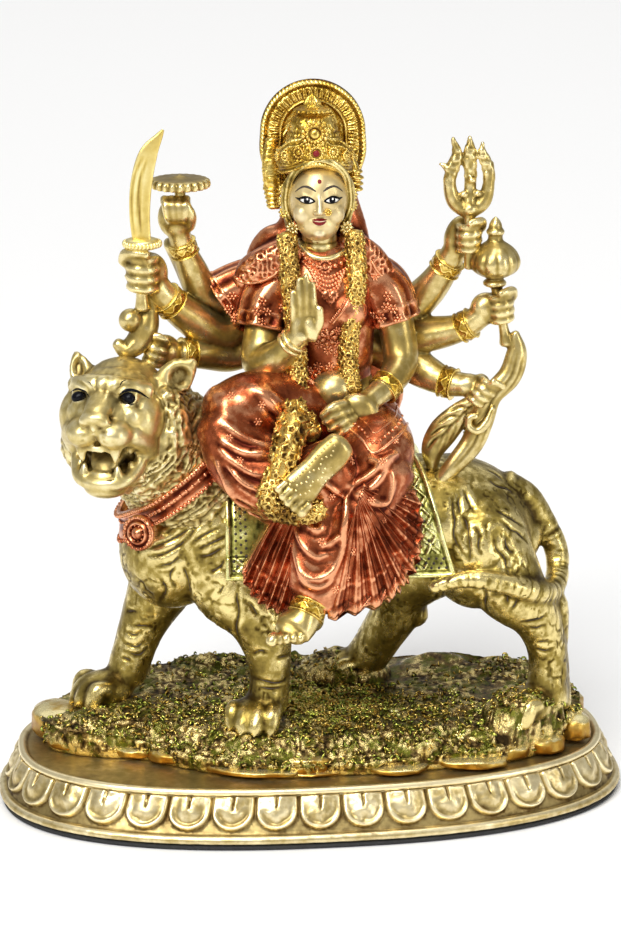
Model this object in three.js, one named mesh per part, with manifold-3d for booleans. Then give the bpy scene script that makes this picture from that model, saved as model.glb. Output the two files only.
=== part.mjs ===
// A cast resin figure of an eight-armed goddess seated side-saddle on a striding lion, in bronze,
// copper and gold paint, on an oval lotus plinth with a felt pad under it.
// Millimetres, +Z up, origin on the table under the middle of the plinth.
// -Y is the front, where the goddess faces, and the lion walks towards -X.
import * as THREE from "three";
import { mergeVertices } from "three/addons/utils/BufferGeometryUtils.js";
import Module from "manifold-3d";

const wasm = await Module();
wasm.setup();

// Driving dimensions
const PLINTH_LENGTH = 160;
const PLINTH_WIDTH = 92;
const PLINTH_HEIGHT = 12.5; // underside of the casting to the top of its lip
const PLINTH_SQUARENESS = 2.4; // exponent of its outline, where 2 is a plain oval
const PLINTH_TURN = 4; // degrees that its left end is turned towards the viewer
const FOOT_HEIGHT = 2.2; // plain band under the petals
const LIP_WIDTH = 2.2;
const LIP_INSET = 5.2; // from the widest line of the plinth to the outside of the lip
const FLOOR_DEPTH = 1; // floor of the plinth below its lip
const BAND_INSET = 2.2; // from the widest line to the foot of the petalled band
const COVE = 2.4; // step between the band and the top of the lip
const PETAL_COUNT = 36;
const PETAL_START = 0.75; // share of a petal's pitch from the right-hand end to the first one
const PETAL_WIDTH = 9.9;
const PETAL_RELIEF = 1.5;
const PETAL_MARGIN = 0.05; // share of the band left plain above and below the petals
const FELT_THICKNESS = 1.2;
const FELT_INSET = 0.8;
const SLIVER = 0.9; // facets narrower than this are drawn together
const FIT_GAP = 0.3; // between pieces that lie on one another
const GROUND_EDGE = 3.8; // height of the ground at the front of its rim
const GROUND_END = 8.2; // and at its two ends
const GROUND_BACK = 9.4; // and at its back
const GROUND_HEIGHT = 9.5; // height of the ground under the paws
const FIGURE_HEIGHT = 159.5; // soles of the paws to the top of the halo

// The figure's lists are written for one height of the figure, and drawn to the height wanted.
const CARVING = { height: 159.5, soles: 8.5 };
const UNIT = FIGURE_HEIGHT / CARVING.height;

// Worked out from the driving dimensions
const PLINTH_TOP = FELT_THICKNESS + FIT_GAP + PLINTH_HEIGHT;
const FLOOR_TOP = PLINTH_TOP - FLOOR_DEPTH;
const FLOOR_INSET = LIP_INSET + LIP_WIDTH;

const DEPTH = new THREE.Vector3(0, 1, 0);
const UPRIGHT = new THREE.Vector3(0, 0, 1);

const BRONZE = new THREE.MeshStandardMaterial({ color: 0xb59b5b, roughness: 0.36, metalness: 0.85 });
const PLINTH_GOLD = new THREE.MeshStandardMaterial({ color: 0xb89f66, roughness: 0.38, metalness: 0.85 });
const FELT = new THREE.MeshStandardMaterial({ color: 0x0c0c0c, roughness: 0.95, metalness: 0 });

const mix = THREE.MathUtils.lerp;
const smooth = THREE.MathUtils.smoothstep;

// A point of the carving, in the frame of the ground's underside.
function carved(x, y, z) {
  return new THREE.Vector3(x * UNIT, y * UNIT, GROUND_HEIGHT + (z - CARVING.soles) * UNIT);
}

// A closed surface over rings of equal length, from a first pole to a last pole.
function skin(rings, first, last) {
  const sides = rings[0].length;
  const points = [first, ...rings.flat(), last];
  const faces = [];
  const at = (ring, side) => 1 + ring * sides + (side % sides);
  for (let side = 0; side < sides; side++) {
    faces.push(0, at(0, side + 1), at(0, side));
    for (let ring = 0; ring + 1 < rings.length; ring++) {
      const [a, b] = [at(ring, side), at(ring, side + 1)];
      const [c, d] = [at(ring + 1, side + 1), at(ring + 1, side)];
      faces.push(a, b, c, a, c, d);
    }
    const top = rings.length - 1;
    faces.push(at(top, side), at(top, side + 1), points.length - 1);
  }
  const geometry = new THREE.BufferGeometry().setFromPoints(points);
  return geometry.setIndex(faces);
}

// The solid inside a closed geometry, turned outside out if its faces point inwards.
function solid(geometry) {
  const bare = geometry.clone();
  bare.deleteAttribute("normal");
  bare.deleteAttribute("uv");
  const merged = mergeVertices(bare, 1e-4);
  const triVerts = new Uint32Array(merged.index.array);
  const vertProperties = merged.attributes.position.array;
  const made = new wasm.Manifold(new wasm.Mesh({ numProp: 3, vertProperties, triVerts }));
  if (made.volume() > 0) return made;
  triVerts.reverse();
  return new wasm.Manifold(new wasm.Mesh({ numProp: 3, vertProperties, triVerts }));
}

const joined = (solids) => solids.reduce((whole, piece) => whole.add(piece));

// A casting's outer skin: pockets shut inside it are filled.
const filled = (body) => joined(body.decompose().filter((shell) => shell.volume() > 0));

// A solid's points and faces, with one set of faces for each point.
function knit(body) {
  const mesh = body.getMesh();
  const points = [];
  for (let i = 0; i < mesh.vertProperties.length; i += 3) {
    points.push(new THREE.Vector3().fromArray(mesh.vertProperties, i));
  }
  const faces = [];
  const around = points.map(() => new Set());
  for (let i = 0; i < mesh.triVerts.length; i += 3) {
    const face = [...mesh.triVerts.slice(i, i + 3)];
    faces.push(face);
    face.forEach((corner) => around[corner].add(face));
  }
  return { points, faces, around };
}

// How far the faces at a point would turn if it moved onto its neighbour: 1 where none would, less than 0
// where one would fold over or the surface would pinch.
function steadiness({ points, around }, moved, kept) {
  const shared = [...around[moved]].filter((face) => face.includes(kept));
  const near = (corner) => new Set([...around[corner]].flat());
  const both = [...near(moved)].filter((corner) => near(kept).has(corner));
  if (shared.length !== 2 || both.length !== 4) return -1;
  const normal = (corners) => {
    const triangle = new THREE.Triangle(...corners.map((i) => points[i]));
    return triangle.getNormal(new THREE.Vector3());
  };
  const moves = (face) => face.map((i) => (i === moved ? kept : i));
  const rest = [...around[moved]].filter((face) => !face.includes(kept));
  return Math.min(...rest.map((face) => normal(face).dot(normal(moves(face)))));
}

// A solid's surface as a three.js geometry, with the slivers that joins leave drawn together: a point moves
// onto its neighbour where they are close or where the surface round it is almost flat.
function surface(body, closeness) {
  const net = knit(body);
  const { points, faces, around } = net;
  const gone = new Set();
  for (let pass = 0; pass < 3; pass++) {
    for (const face of faces) {
      for (let side = 0; side < 3 && !gone.has(face); side++) {
        const ends = [face[side], face[(side + 1) % 3]];
        const limit = points[ends[0]].distanceTo(points[ends[1]]) < closeness ? 0.75 : 0.999;
        const turns = [steadiness(net, ends[0], ends[1]), steadiness(net, ends[1], ends[0])];
        if (Math.max(...turns) < limit) continue;
        const [moved, kept] = turns[0] > turns[1] ? ends : ends.reverse();
        for (const other of around[moved]) {
          if (other.includes(kept)) {
            gone.add(other);
            other.forEach((corner) => around[corner].delete(other));
          } else {
            other[other.indexOf(moved)] = kept;
            around[kept].add(other);
          }
        }
        around[moved].clear();
      }
    }
  }
  const left = faces.filter((face) => !gone.has(face));
  const soup = new THREE.BufferGeometry().setFromPoints(left.flat().map((corner) => points[corner]));
  const geometry = mergeVertices(soup, 1e-5);
  geometry.computeVertexNormals();
  return geometry;
}

// A value of a list of stations at a place between two of them.
function between(stations, place, column, fallback) {
  const low = Math.min(Math.floor(place), stations.length - 2);
  const value = (station) => station[column] ?? station[fallback];
  return mix(value(stations[low]), value(stations[low + 1]), place - low);
}

// A closed limb: an oval section carried along a smooth curve through stations [x, y, z, width, depth],
// both half sizes, with the depth measured along the axis given as across.
function limb(stations, { sides = 6, steps = 1, across = DEPTH, cap = 0.45 } = {}) {
  const points = stations.map(([x, y, z]) => carved(x, y, z));
  const path = new THREE.CatmullRomCurve3(points, false, "centripetal");
  const count = (stations.length - 1) * steps;
  const rings = [];
  for (let step = 0; step <= count; step++) {
    const centre = path.getPoint(step / count);
    const along = path.getTangent(step / count);
    const deep = across.clone().addScaledVector(along, -across.dot(along)).normalize();
    const wide = new THREE.Vector3().crossVectors(deep, along);
    const place = step / steps;
    const width = between(stations, place, 3, 3) * UNIT;
    const depth = between(stations, place, 4, 3) * UNIT;
    rings.push(Array.from({ length: sides }, (_, side) => {
      const turn = ((side + 0.5) / sides) * 2 * Math.PI;
      const aside = centre.clone().addScaledVector(wide, width * Math.cos(turn));
      return aside.addScaledVector(deep, depth * Math.sin(turn));
    }));
  }
  const pole = (t, sign, size) => {
    const end = path.getPoint(t);
    return end.addScaledVector(path.getTangent(t), sign * cap * size * UNIT);
  };
  const first = pole(0, -1, between(stations, 0, 3, 3));
  const last = pole(1, 1, between(stations, stations.length - 1, 3, 3));
  return solid(skin(rings, first, last));
}

// An ellipsoid at [x, y, z] with half sizes, leant by angles in degrees.
function blob([x, y, z], [rx, ry, rz], { lean = [0, 0, 0], sides = 7, rows = 5 } = {}) {
  const ball = new THREE.SphereGeometry(UNIT, sides, rows).rotateX(Math.PI / 2).scale(rx, ry, rz);
  const turn = new THREE.Euler(...lean.map(THREE.MathUtils.degToRad));
  ball.applyMatrix4(new THREE.Matrix4().makeRotationFromEuler(turn));
  const centre = carved(x, y, z);
  return solid(ball.translate(centre.x, centre.y, centre.z));
}

// A closed sheet: shape(u, v) gives [x, y, z] of its front, and its back lies thickness behind, along +Y
// or along the direction that inward(u, v) gives.
function sheet(shape, across, down, thickness, inward = () => [0, 1, 0]) {
  const front = [];
  const back = [];
  for (let row = 0; row <= down; row++) {
    for (let column = 0; column <= across; column++) {
      const [u, v] = [column / across, row / down];
      const [x, y, z] = shape(u, v);
      const [dx, dy, dz] = inward(u, v);
      front.push(carved(x, y, z));
      back.push(carved(x + dx * thickness, y + dy * thickness, z + dz * thickness));
    }
  }
  const faces = [];
  const quad = (a, b, c, d) => faces.push(a, b, c, a, c, d);
  const at = (column, row) => row * (across + 1) + column;
  const far = front.length;
  for (let row = 0; row < down; row++) {
    for (let column = 0; column < across; column++) {
      const [a, b] = [at(column, row), at(column + 1, row)];
      const [c, d] = [at(column + 1, row + 1), at(column, row + 1)];
      quad(a, d, c, b);
      quad(far + a, far + b, far + c, far + d);
    }
  }
  for (let row = 0; row < down; row++) {
    quad(at(0, row), far + at(0, row), far + at(0, row + 1), at(0, row + 1));
    quad(at(across, row), at(across, row + 1), far + at(across, row + 1), far + at(across, row));
  }
  for (let column = 0; column < across; column++) {
    quad(at(column, 0), at(column + 1, 0), far + at(column + 1, 0), far + at(column, 0));
    quad(at(column, down), far + at(column, down), far + at(column + 1, down), at(column + 1, down));
  }
  return solid(new THREE.BufferGeometry().setFromPoints([...front, ...back]).setIndex(faces));
}

// A turned form: a profile of [radius, height] spun round a centre, squeezed front to back by flatten.
function turned([x, y, z], profile, { sides = 12, flatten = 1 } = {}) {
  const points = profile.map(([radius, height]) => new THREE.Vector2(radius * UNIT, height * UNIT));
  const form = new THREE.LatheGeometry(points, sides).rotateX(Math.PI / 2).scale(1, flatten, 1);
  const centre = carved(x, y, z);
  return solid(form.translate(centre.x, centre.y, centre.z));
}

// A fan of pleated cloth: straight pleats from a top edge to a hem, both lists of [x, y, z], with ridges
// that stand out more towards the hem.
function pleats(top, hem, count, relief, thickness) {
  const edge = (list) => {
    const points = list.map((p) => new THREE.Vector3(...p));
    return new THREE.CatmullRomCurve3(points, false, "centripetal");
  };
  const [high, low] = [edge(top), edge(hem)];
  const shape = (u, v) => {
    const point = high.getPoint(u).lerp(low.getPoint(u), v);
    const ridge = Math.round(u * count * 2) % 2 ? relief * (0.25 + 0.75 * v) : 0;
    return [point.x, point.y - ridge, point.z];
  };
  return sheet(shape, count * 2, 2, thickness);
}

// The plinth

// A point of the plinth's own plan, turned with the plinth.
function onPlinth(across, deep, height) {
  const turn = THREE.MathUtils.degToRad(PLINTH_TURN);
  return new THREE.Vector3(across, deep, height).applyAxisAngle(UPRIGHT, turn);
}

// One level ring round the plinth, a given distance in from its widest line.
function plinthRing(inset, height, sides) {
  const squared = (value) => Math.sign(value) * Math.abs(value) ** (2 / PLINTH_SQUARENESS);
  return Array.from({ length: sides }, (_, side) => {
    const turn = (side / sides) * 2 * Math.PI;
    const across = (PLINTH_LENGTH / 2 - inset) * squared(Math.cos(turn));
    const deep = (PLINTH_WIDTH / 2 - inset) * squared(Math.sin(turn));
    return onPlinth(across, deep, height);
  });
}

// A solid stack of level rings, given as [inset, height] from the bottom up.
function oval(profile, sides) {
  const rings = profile.map(([inset, height]) => plinthRing(inset, height, sides));
  const pole = (height) => new THREE.Vector3(0, 0, height);
  return solid(skin(rings, pole(profile[0][1]), pole(profile.at(-1)[1])));
}

// One lotus petal: a tongue that hangs on the sloping band, with its round end down.
function petalShape(length) {
  const half = PETAL_WIDTH / 2;
  const shape = new THREE.Shape();
  shape.moveTo(-half, 0);
  shape.lineTo(-half, half - length);
  shape.absarc(0, half - length, half, Math.PI, 2 * Math.PI, false);
  shape.lineTo(half, 0);
  return shape;
}

function lotusPetals(bandTop, bandFoot) {
  const band = new THREE.Vector2(bandTop.inset - bandFoot.inset, bandTop.height - bandFoot.height);
  const margin = band.length() * PETAL_MARGIN;
  const length = band.length() - 2 * margin;
  const slope = Math.atan2(band.x, band.y);
  const blank = new THREE.ExtrudeGeometry(petalShape(length), {
    depth: PETAL_RELIEF,
    bevelEnabled: false,
    curveSegments: 4,
  });
  const outline = plinthRing(bandTop.inset, bandTop.height, 720);
  const steps = outline.map((point, i) => point.distanceTo(outline[(i + 1) % outline.length]));
  const round = steps.reduce((sum, step) => sum + step, 0);
  const petals = [];
  let travelled = 0;
  let next = (round / PETAL_COUNT) * PETAL_START;
  for (let i = 0; i < outline.length; i++) {
    if (travelled >= next && petals.length < PETAL_COUNT) {
      const onward = outline[(i + 1) % outline.length].clone().sub(outline[i]).normalize();
      const outward = new THREE.Vector3(onward.y, -onward.x, 0);
      const lie = new THREE.Matrix4().makeBasis(onward, UPRIGHT, outward);
      const lean = new THREE.Matrix4().makeRotationX(-slope);
      const place = new THREE.Matrix4().setPosition(outline[i]);
      const set = new THREE.Matrix4().makeTranslation(0, -margin, -PETAL_RELIEF / 2);
      petals.push(solid(blank.clone().applyMatrix4(place.multiply(lie).multiply(lean).multiply(set))));
      next += round / PETAL_COUNT;
    }
    travelled += steps[i];
  }
  return petals;
}

function plinth() {
  const foot = FELT_THICKNESS + FIT_GAP;
  const bandFoot = { inset: BAND_INSET, height: foot + FOOT_HEIGHT };
  const bandTop = { inset: LIP_INSET + COVE / 2, height: PLINTH_TOP - COVE };
  const body = oval([
    [0.5, foot],
    [0, foot + FOOT_HEIGHT * 0.4],
    [0.5, foot + FOOT_HEIGHT * 0.85],
    [bandFoot.inset, bandFoot.height],
    [bandTop.inset, bandTop.height],
    [LIP_INSET, PLINTH_TOP - COVE / 2],
    [LIP_INSET + LIP_WIDTH * 0.4, PLINTH_TOP],
    [FLOOR_INSET, FLOOR_TOP],
  ], 48);
  return joined([body, ...lotusPetals(bandTop, bandFoot)]);
}

function feltPad() {
  return oval([[FELT_INSET, 0], [FELT_INSET, FELT_THICKNESS]], 48);
}

// The floor inside the lip for which the rim below is written.
const GROUND_PLAN = { across: 72.6, deep: 38.6 };

// The rim of the ground as [across, deep] in the plan of the plinth, from its right-hand end round the back.
const GROUND_RIM = [
  [70.2, 2], [65, 16], [52, 26.8], [34, 32.4], [12, 35], [-10, 35], [-32, 33], [-50, 27.4], [-63, 17],
  [-69.6, 5], [-68.6, -3.4], [-60.4, -9.6], [-46, -13.8], [-36, -21.4], [-25, -28.2], [-13, -31.4],
  [2, -32], [18, -31.4], [32, -30], [45, -28.4], [59, -21.6], [68, -11.6],
];

// The ground: a rocky bank, flat below, that rises from its rim to the level of the paws.
function ground() {
  const sides = 36;
  const wide = (PLINTH_LENGTH / 2 - FLOOR_INSET) / GROUND_PLAN.across;
  const far = (PLINTH_WIDTH / 2 - FLOOR_INSET) / GROUND_PLAN.deep;
  const round = GROUND_RIM.map(([across, deep]) => onPlinth(across * wide, deep * far, 0));
  const rim = new THREE.CatmullRomCurve3(round, true).getSpacedPoints(sides).slice(0, sides);
  const height = (share, turn) => {
    const rise = smooth(1 - share, 0, 0.16);
    const lump = 0.6 * Math.sin(3 * turn + 9 * share) + 0.4 * Math.sin(7 * turn - 13 * share);
    const front = mix(GROUND_EDGE, GROUND_END, Math.cos(turn) ** 4);
    const edge = mix(front, GROUND_BACK, smooth(Math.sin(turn), -0.1, 0.5));
    return mix(edge, GROUND_HEIGHT, rise) + lump * share;
  };
  const level = (share, lift) => rim.map((point) => {
    const turn = Math.atan2(point.y / PLINTH_WIDTH, point.x / PLINTH_LENGTH);
    const spot = point.clone().multiplyScalar(share);
    return spot.setZ(lift === undefined ? height(share, turn) : lift);
  });
  const rings = [level(0.985, 0), level(1), level(0.96), level(0.9), level(0.82), level(0.62), level(0.35)];
  return solid(skin(rings, new THREE.Vector3(0, 0, 0), new THREE.Vector3(0, 0, GROUND_HEIGHT)));
}

// The moss that has grown over the hind paws.
function mounds() {
  return [
    blob([53, -15, 10], [10.5, 8.5, 5.6], { lean: [0, 0, 30], sides: 9, rows: 5 }),
    blob([10, 19, 9.6], [12, 8, 4.4], { sides: 9, rows: 5 }),
  ];
}

// The lion

const LION_BARREL = [
  [-40, -1, 50, 12, 12],
  [-31, -1, 54, 18, 17],
  [-16, 0, 57, 17.5, 19],
  [4, 0, 57.5, 16, 19.5],
  [24, 0, 57.5, 15, 19.5],
  [38, 0, 56, 15.6, 18.5],
  [48, 0, 52.5, 12.5, 15],
  [54, 0, 50, 7, 8],
];

// A saddle cloth that lies over the back and hangs straight down both flanks.
function saddleCloth() {
  const arc = 0.72; // share of each side that follows the round of the back
  const around = (v) => (v - 0.5) * 2;
  const turn = (v) => (Math.min(Math.abs(around(v)) / arc, 1) * Math.PI) / 2;
  const shape = (u, v) => {
    const drop = Math.max(0, Math.abs(around(v)) - arc) / (1 - arc);
    const x = mix(-22, mix(25, 35, Math.abs(around(v))), u);
    const y = Math.sign(around(v)) * (20.9 * Math.sin(turn(v)) + 1.6 * drop);
    return [x, y, 57 + 18 * Math.cos(turn(v)) - 9.4 * drop];
  };
  const inward = (u, v) => [0, -Math.sign(around(v)) * Math.sin(turn(v)), -Math.cos(turn(v))];
  return sheet(shape, 3, 14, 3.4, inward);
}

// Four toes side by side in front of a paw, given the way it points in the plan, in degrees.
function paw([x, y, z], heading, size) {
  const turn = THREE.MathUtils.degToRad(heading);
  const [forward, side] = [[Math.cos(turn), Math.sin(turn)], [-Math.sin(turn), Math.cos(turn)]];
  const spot = (ahead, aside) => [
    x + forward[0] * ahead + side[0] * aside,
    y + forward[1] * ahead + side[1] * aside,
  ];
  const toes = [-1.5, -0.5, 0.5, 1.5].map((place) => {
    const [tx, ty] = spot(size * (0.62 - 0.1 * place * place), place * size * 0.46);
    const half = [size * 0.42, size * 0.36, size * 0.42];
    return blob([tx, ty, z - 0.9], half, { lean: [0, 0, heading], sides: 5, rows: 4 });
  });
  return [blob([x, y, z], [size, size * 0.86, size * 0.62], { lean: [0, 0, heading] }), ...toes];
}

function lionLegs() {
  return [
    limb([[-26, -10, 55, 12, 8], [-19, -12.5, 43, 11.2, 8], [-13.2, -14.5, 34, 7.9, 7],
      [-11, -15, 22, 5.2, 6], [-11.6, -15.5, 13, 5.2, 6]]),
    ...paw([-14.2, -17.5, 11.2], 250, 7.6),
    limb([[-31, 8, 52, 12, 9], [-37, 10, 38, 9, 8], [-43, 10, 25, 6, 6.4], [-47, 9, 13, 5.2, 5.8]]),
    ...paw([-52.5, 6.5, 10], 200, 7.8),
    limb([[44, -11, 50, 11.5, 9.6], [50, -13, 41, 9, 8.6], [56, -11, 33.5, 6.4, 7],
      [59.4, -9.4, 24, 5, 6], [59.6, -10, 11, 5.2, 6]]),
    limb([[55, -9, 36, 3.4], [61, -8, 35, 3.2], [61.8, -8, 24, 3], [62.8, -8, 9, 3.4]]),
    ...paw([54, -14, 10.8], 215, 7.8),
    limb([[36, 10, 45, 11, 9], [25, 14, 34, 8, 8], [23.2, 15.6, 27, 6.6, 7],
      [19.4, 17.6, 19.6, 5.8, 6.4], [15.4, 19, 12.6, 5.6, 6]]),
    ...paw([12, 20, 10.6], 190, 7.4),
  ];
}

function lionTail() {
  return limb([[50, 0, 62, 6.5], [54.4, 0, 61, 4.2], [58.9, 1, 55, 3.2], [62.3, 1, 48, 3],
    [62.7, 0, 42.4, 3], [59.6, -6, 39, 3], [54.5, -13, 40.8, 2.9], [47.5, -19.4, 44.4, 2.7],
    [37.1, -23, 47, 2.3], [29, -22.6, 45, 1.8]], { sides: 7 });
}

// The lion's head is carved looking along its own -Y, then turned towards the viewer's left.
const HEAD_CENTRE = [-46.5, -21, 92];
const HEAD_TURN = -14;

// A place on the lion's head: across to the viewer's right, out of the face, and up.
function onHead(across, out, up) {
  const turn = THREE.MathUtils.degToRad(HEAD_TURN);
  return [
    HEAD_CENTRE[0] + across * Math.cos(turn) + out * Math.sin(turn),
    HEAD_CENTRE[1] + across * Math.sin(turn) - out * Math.cos(turn),
    HEAD_CENTRE[2] + up,
  ];
}

function lionHead() {
  const lump = (place, size, lean = [0, 0, 0], detail = {}) => {
    const [pitch, roll, yaw] = lean;
    return blob(onHead(...place), size, { lean: [pitch, roll, yaw + HEAD_TURN], ...detail });
  };
  const small = { sides: 6, rows: 4 };
  const both = (make) => [make(-1), make(1)];
  return [
    limb([[-22, 0, 60, 17, 15], [-31, -5, 71, 16.4, 15.5], [-38.6, -12, 81, 14.6, 14.6],
      [-43, -17, 87, 12.6, 13]], { sides: 9 }),
    lump([0, -3, -1.4], [14, 13, 12.4], [0, 0, 0], { sides: 9, rows: 7 }),
    lump([0, 9, -1], [5.6, 9, 5.4], [18, 0, 0]),
    lump([0, 16.4, -3.4], [4.2, 3, 2.6], [10, 0, 0], small),
    lump([-0.6, 4, -16.5], [9.4, 9, 4.4], [8, 0, 0]),
    lump([0, 11.5, -16.4], [6, 5, 3.8]),
    lump([0, 4, -9.5], [8, 8, 5]),
    ...both((side) => lump([side * 4.8, 12.8, -7], [5.6, 5.6, 4.6], [0, 0, side * -14])),
    ...both((side) => lump([side * 10, 0, -7.6], [7.8, 9, 10])),
    ...both((side) => lump([side * 13.2, -4, 8], [3.6, 2.6, 4.8], [0, side * 32, 0])),
    ...both((side) => limb([[...onHead(side * 4.4, 14.4, -8), 1.5],
      [...onHead(side * 4.4, 15, -13), 0.6]], { sides: 4 })),
    ...both((side) => limb([[...onHead(side * 4, 13, -14.5), 1.3],
      [...onHead(side * 4, 13.6, -10.6), 0.6]], { sides: 4 })),
  ];
}

// The collar: a band round the neck with a round medallion on the chest.
function lionCollar() {
  const [round, lean] = [17.4, THREE.MathUtils.degToRad(40)];
  const stations = Array.from({ length: 17 }, (_, i) => {
    const turn = (i / 16) * 2 * Math.PI;
    const across = Math.cos(turn) * round;
    const [x, z] = [-34.5 + across * Math.cos(lean), 68.5 + across * Math.sin(lean)];
    return [x, -7.5 + Math.sin(turn) * round, z, 2.9, 1.5];
  });
  const level = new THREE.Vector3(-Math.sin(lean), 0, Math.cos(lean));
  return [
    limb(stations.slice(0, 9), { sides: 6, across: level }),
    limb(stations.slice(8), { sides: 6, across: level }),
    blob([-46, -20, 58], [4.4, 2.4, 4.8], { lean: [-12, 0, -40] }),
  ];
}

function lion() {
  return [
    limb(LION_BARREL, { sides: 12 }),
    blob([-35.2, -3, 51], [13.2, 15, 16], { sides: 9, rows: 6 }),
    blob([41.5, -9, 51], [13.4, 12, 15.6], { sides: 9, rows: 6 }),
    blob([39, 9, 50], [13.4, 12, 15], { sides: 9, rows: 6 }),
    saddleCloth(),
    ...lionLegs(),
    lionTail(),
    ...lionHead(),
    ...lionCollar(),
  ];
}

// The goddess

function goddessBody() {
  return [
    limb([[8, -2, 70, 14, 12], [8, -3, 80, 15.5, 12], [6, -5, 90, 11.5, 9], [5, -6, 97, 9.8, 8],
      [3.6, -6, 107, 11.5, 8.8], [2.6, -6, 114, 12.6, 9], [2.4, -5, 121, 12, 7.4],
      [2.2, -4.5, 125.5, 6, 5.4]], { sides: 9 }),
    limb([[2.1, -5, 122, 4.4], [1.6, -6.5, 133, 4.2]]),
    ...[-1, 1].map((side) => blob([3.2 + side * 5.2, -12, 113], [5, 4.6, 5])),
    blob([4.8, -19, 94], [4.6, 4.4, 4.4]),
  ];
}

// The veil: cloth that falls from the halo over both shoulders and down the back.
function veil() {
  return [
    limb([[1.2, 3, 150, 8.4, 2.6], [2.4, 3, 138, 9.4, 4], [2.8, 2.5, 131, 11.6, 4.6],
      [1.4, 2.5, 123, 17.4, 5.4], [2.6, 4, 112, 18.6, 5], [6, 5, 94, 17.6, 5], [7, 9.5, 76, 15, 6],
      [8, 10, 70, 14, 6]], { sides: 10 }),
    limb([[-3, -5, 128, 3.4, 3], [-10, -5, 124, 4.6, 4], [-16, -5.5, 120, 5, 3.4],
      [-19, -6, 117, 3, 2]]),
    limb([[8, -3, 129, 3.4, 3], [14, -2, 124, 4.2, 4], [20, -1, 117.5, 3, 3]]),
  ];
}

function goddessHead() {
  const small = { sides: 5, rows: 4 };
  return [
    blob([1.4, -7, 139.5], [8.4, 8.8, 10.4], { sides: 10, rows: 8 }),
    blob([1.4, -11.5, 134], [5.2, 4.4, 4.6]),
    limb([[1.4, -14.8, 143, 1], [1.4, -16.2, 138, 1.4]], { sides: 5 }),
    blob([-6.6, -9, 135], [1.9, 1.4, 2.2], small),
    blob([9.4, -8, 135], [1.9, 1.4, 2.2], small),
    blob([-9.6, -3, 142.5], [2.6, 2.4, 5], small),
    blob([11.2, -2, 144.2], [2.8, 2.6, 3.8], small),
  ];
}

function crown() {
  const tiers = [[0, -2], [9.4, -2], [10, 1], [9.6, 5.4], [7.8, 9.8], [6, 11.8], [4.4, 14.8],
    [2.4, 16.6], [0, 19.6]];
  return turned([0.8, -6, 147], tiers, { flatten: 0.94 });
}

// The halo: an upright arch behind the crown, stepped like a rim, a band and a sunk middle.
function halo() {
  const arch = (radius, foot, thickness, back) => {
    const shape = new THREE.Shape();
    shape.moveTo(-radius * 0.72, foot);
    shape.lineTo(-radius, foot + 9);
    shape.absarc(0, 0, radius, Math.PI, 0, true);
    shape.lineTo(radius, foot + 9);
    shape.lineTo(radius * 0.72, foot);
    const detail = { depth: thickness, bevelEnabled: false, curveSegments: 10 };
    const plate = new THREE.ExtrudeGeometry(shape, detail);
    const centre = carved(0.7, 3 + back, 154.8);
    plate.rotateX(Math.PI / 2).scale(UNIT, UNIT, UNIT);
    return solid(plate.translate(centre.x, centre.y, centre.z));
  };
  return [arch(12.9, -15, 2.6, 1.2), arch(10.2, -14, 3.6, 1.2)];
}

// Four fingers bent round a shaft through centre, that lies along the unit direction held, with the
// knuckles turned to the unit direction shown.
function grip(centre, held, shown, size = 1) {
  const axis = new THREE.Vector3(...held).normalize();
  const front = new THREE.Vector3(...shown).normalize();
  const side = new THREE.Vector3().crossVectors(axis, front);
  const spot = (along, out, aside) => new THREE.Vector3(...centre)
    .addScaledVector(axis, along * size)
    .addScaledVector(front, out * size)
    .addScaledVector(side, aside * size)
    .toArray();
  return [-1.5, -0.5, 0.5, 1.5].map((place) => limb([
    [...spot(place * 1.9, 1.4, -2.6), 1.1 * size],
    [...spot(place * 1.9, 1.9, 2.2), 0.95 * size],
  ], { sides: 4, across: axis }));
}

// The four arms on the viewer's left, from the highest to the raised palm in front.
function rightArms() {
  return [
    limb([[-10, 3, 117, 4.6], [-19, 3, 114.5, 4.4], [-25.5, 1, 113.5, 4.2], [-29, -2, 121, 3.8],
      [-31.6, -4, 128, 2.9], [-32.6, -5, 132, 2.8]]),
    blob([-33.2, -5.5, 135.6], [4.6, 4, 5.4]),
    ...[-2.2, -0.7, 0.8, 2.2].map((x) => limb([[-33.2 + x, -8.4, 138.8, 1],
      [-33.2 + x * 0.8, -8.8, 134.4, 0.8]], { sides: 4 })),
    limb([[-30, 2, 115, 1.3, 2.6], [-32.5, 0, 122, 1.3, 2.6], [-35, -3, 128.4, 1.4, 2.4]]),
    limb([[-10, 2, 112, 5], [-17, 2, 107, 5], [-22.5, 0, 104.8, 5], [-29.5, -4, 109.8, 4.6],
      [-35.6, -8, 115.6, 3.6], [-38.4, -9.4, 119.4, 3.4]]),
    blob([-40.6, -10, 123], [5.2, 4.2, 5.6]),
    ...grip([-43, -12, 123.4], [0, 0, 1], [0, -1, 0], 1.15),
    limb([[-10, 2, 107, 5], [-16, 2, 101, 4.8], [-20, 1, 99.5, 4.6], [-26, -3, 100.5, 4],
      [-32, -6, 101.3, 3.2]]),
    blob([-37, -8, 102.6], [4.6, 4, 4.6]),
    ...grip([-38.6, -9.5, 103], [0.3, 0, 1], [0.2, -1, 0], 0.9),
    limb([[-11, -4, 118, 5.4], [-14.5, -9, 108, 5.4], [-15.4, -13.5, 100, 5.4],
      [-11.6, -17.5, 102.6, 4.4], [-6.8, -20, 107.4, 2.8]], { sides: 7 }),
    blob([-3.4, -21, 112.6], [4.2, 2.6, 5.6], { lean: [0, 20, 0] }),
    ...[[-5.4, 121], [-3.6, 123.6], [-1.8, 123.2], [-0.2, 121.4]].map(([x, top]) => limb(
      [[x * 0.9 - 0.4, -21.6, 115.6, 1.2], [x, -21.4, top, 0.85]], { sides: 4 })),
    limb([[-0.4, -22, 111.6, 1.4], [1, -23, 118.4, 0.9]], { sides: 4 }),
  ];
}

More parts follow.
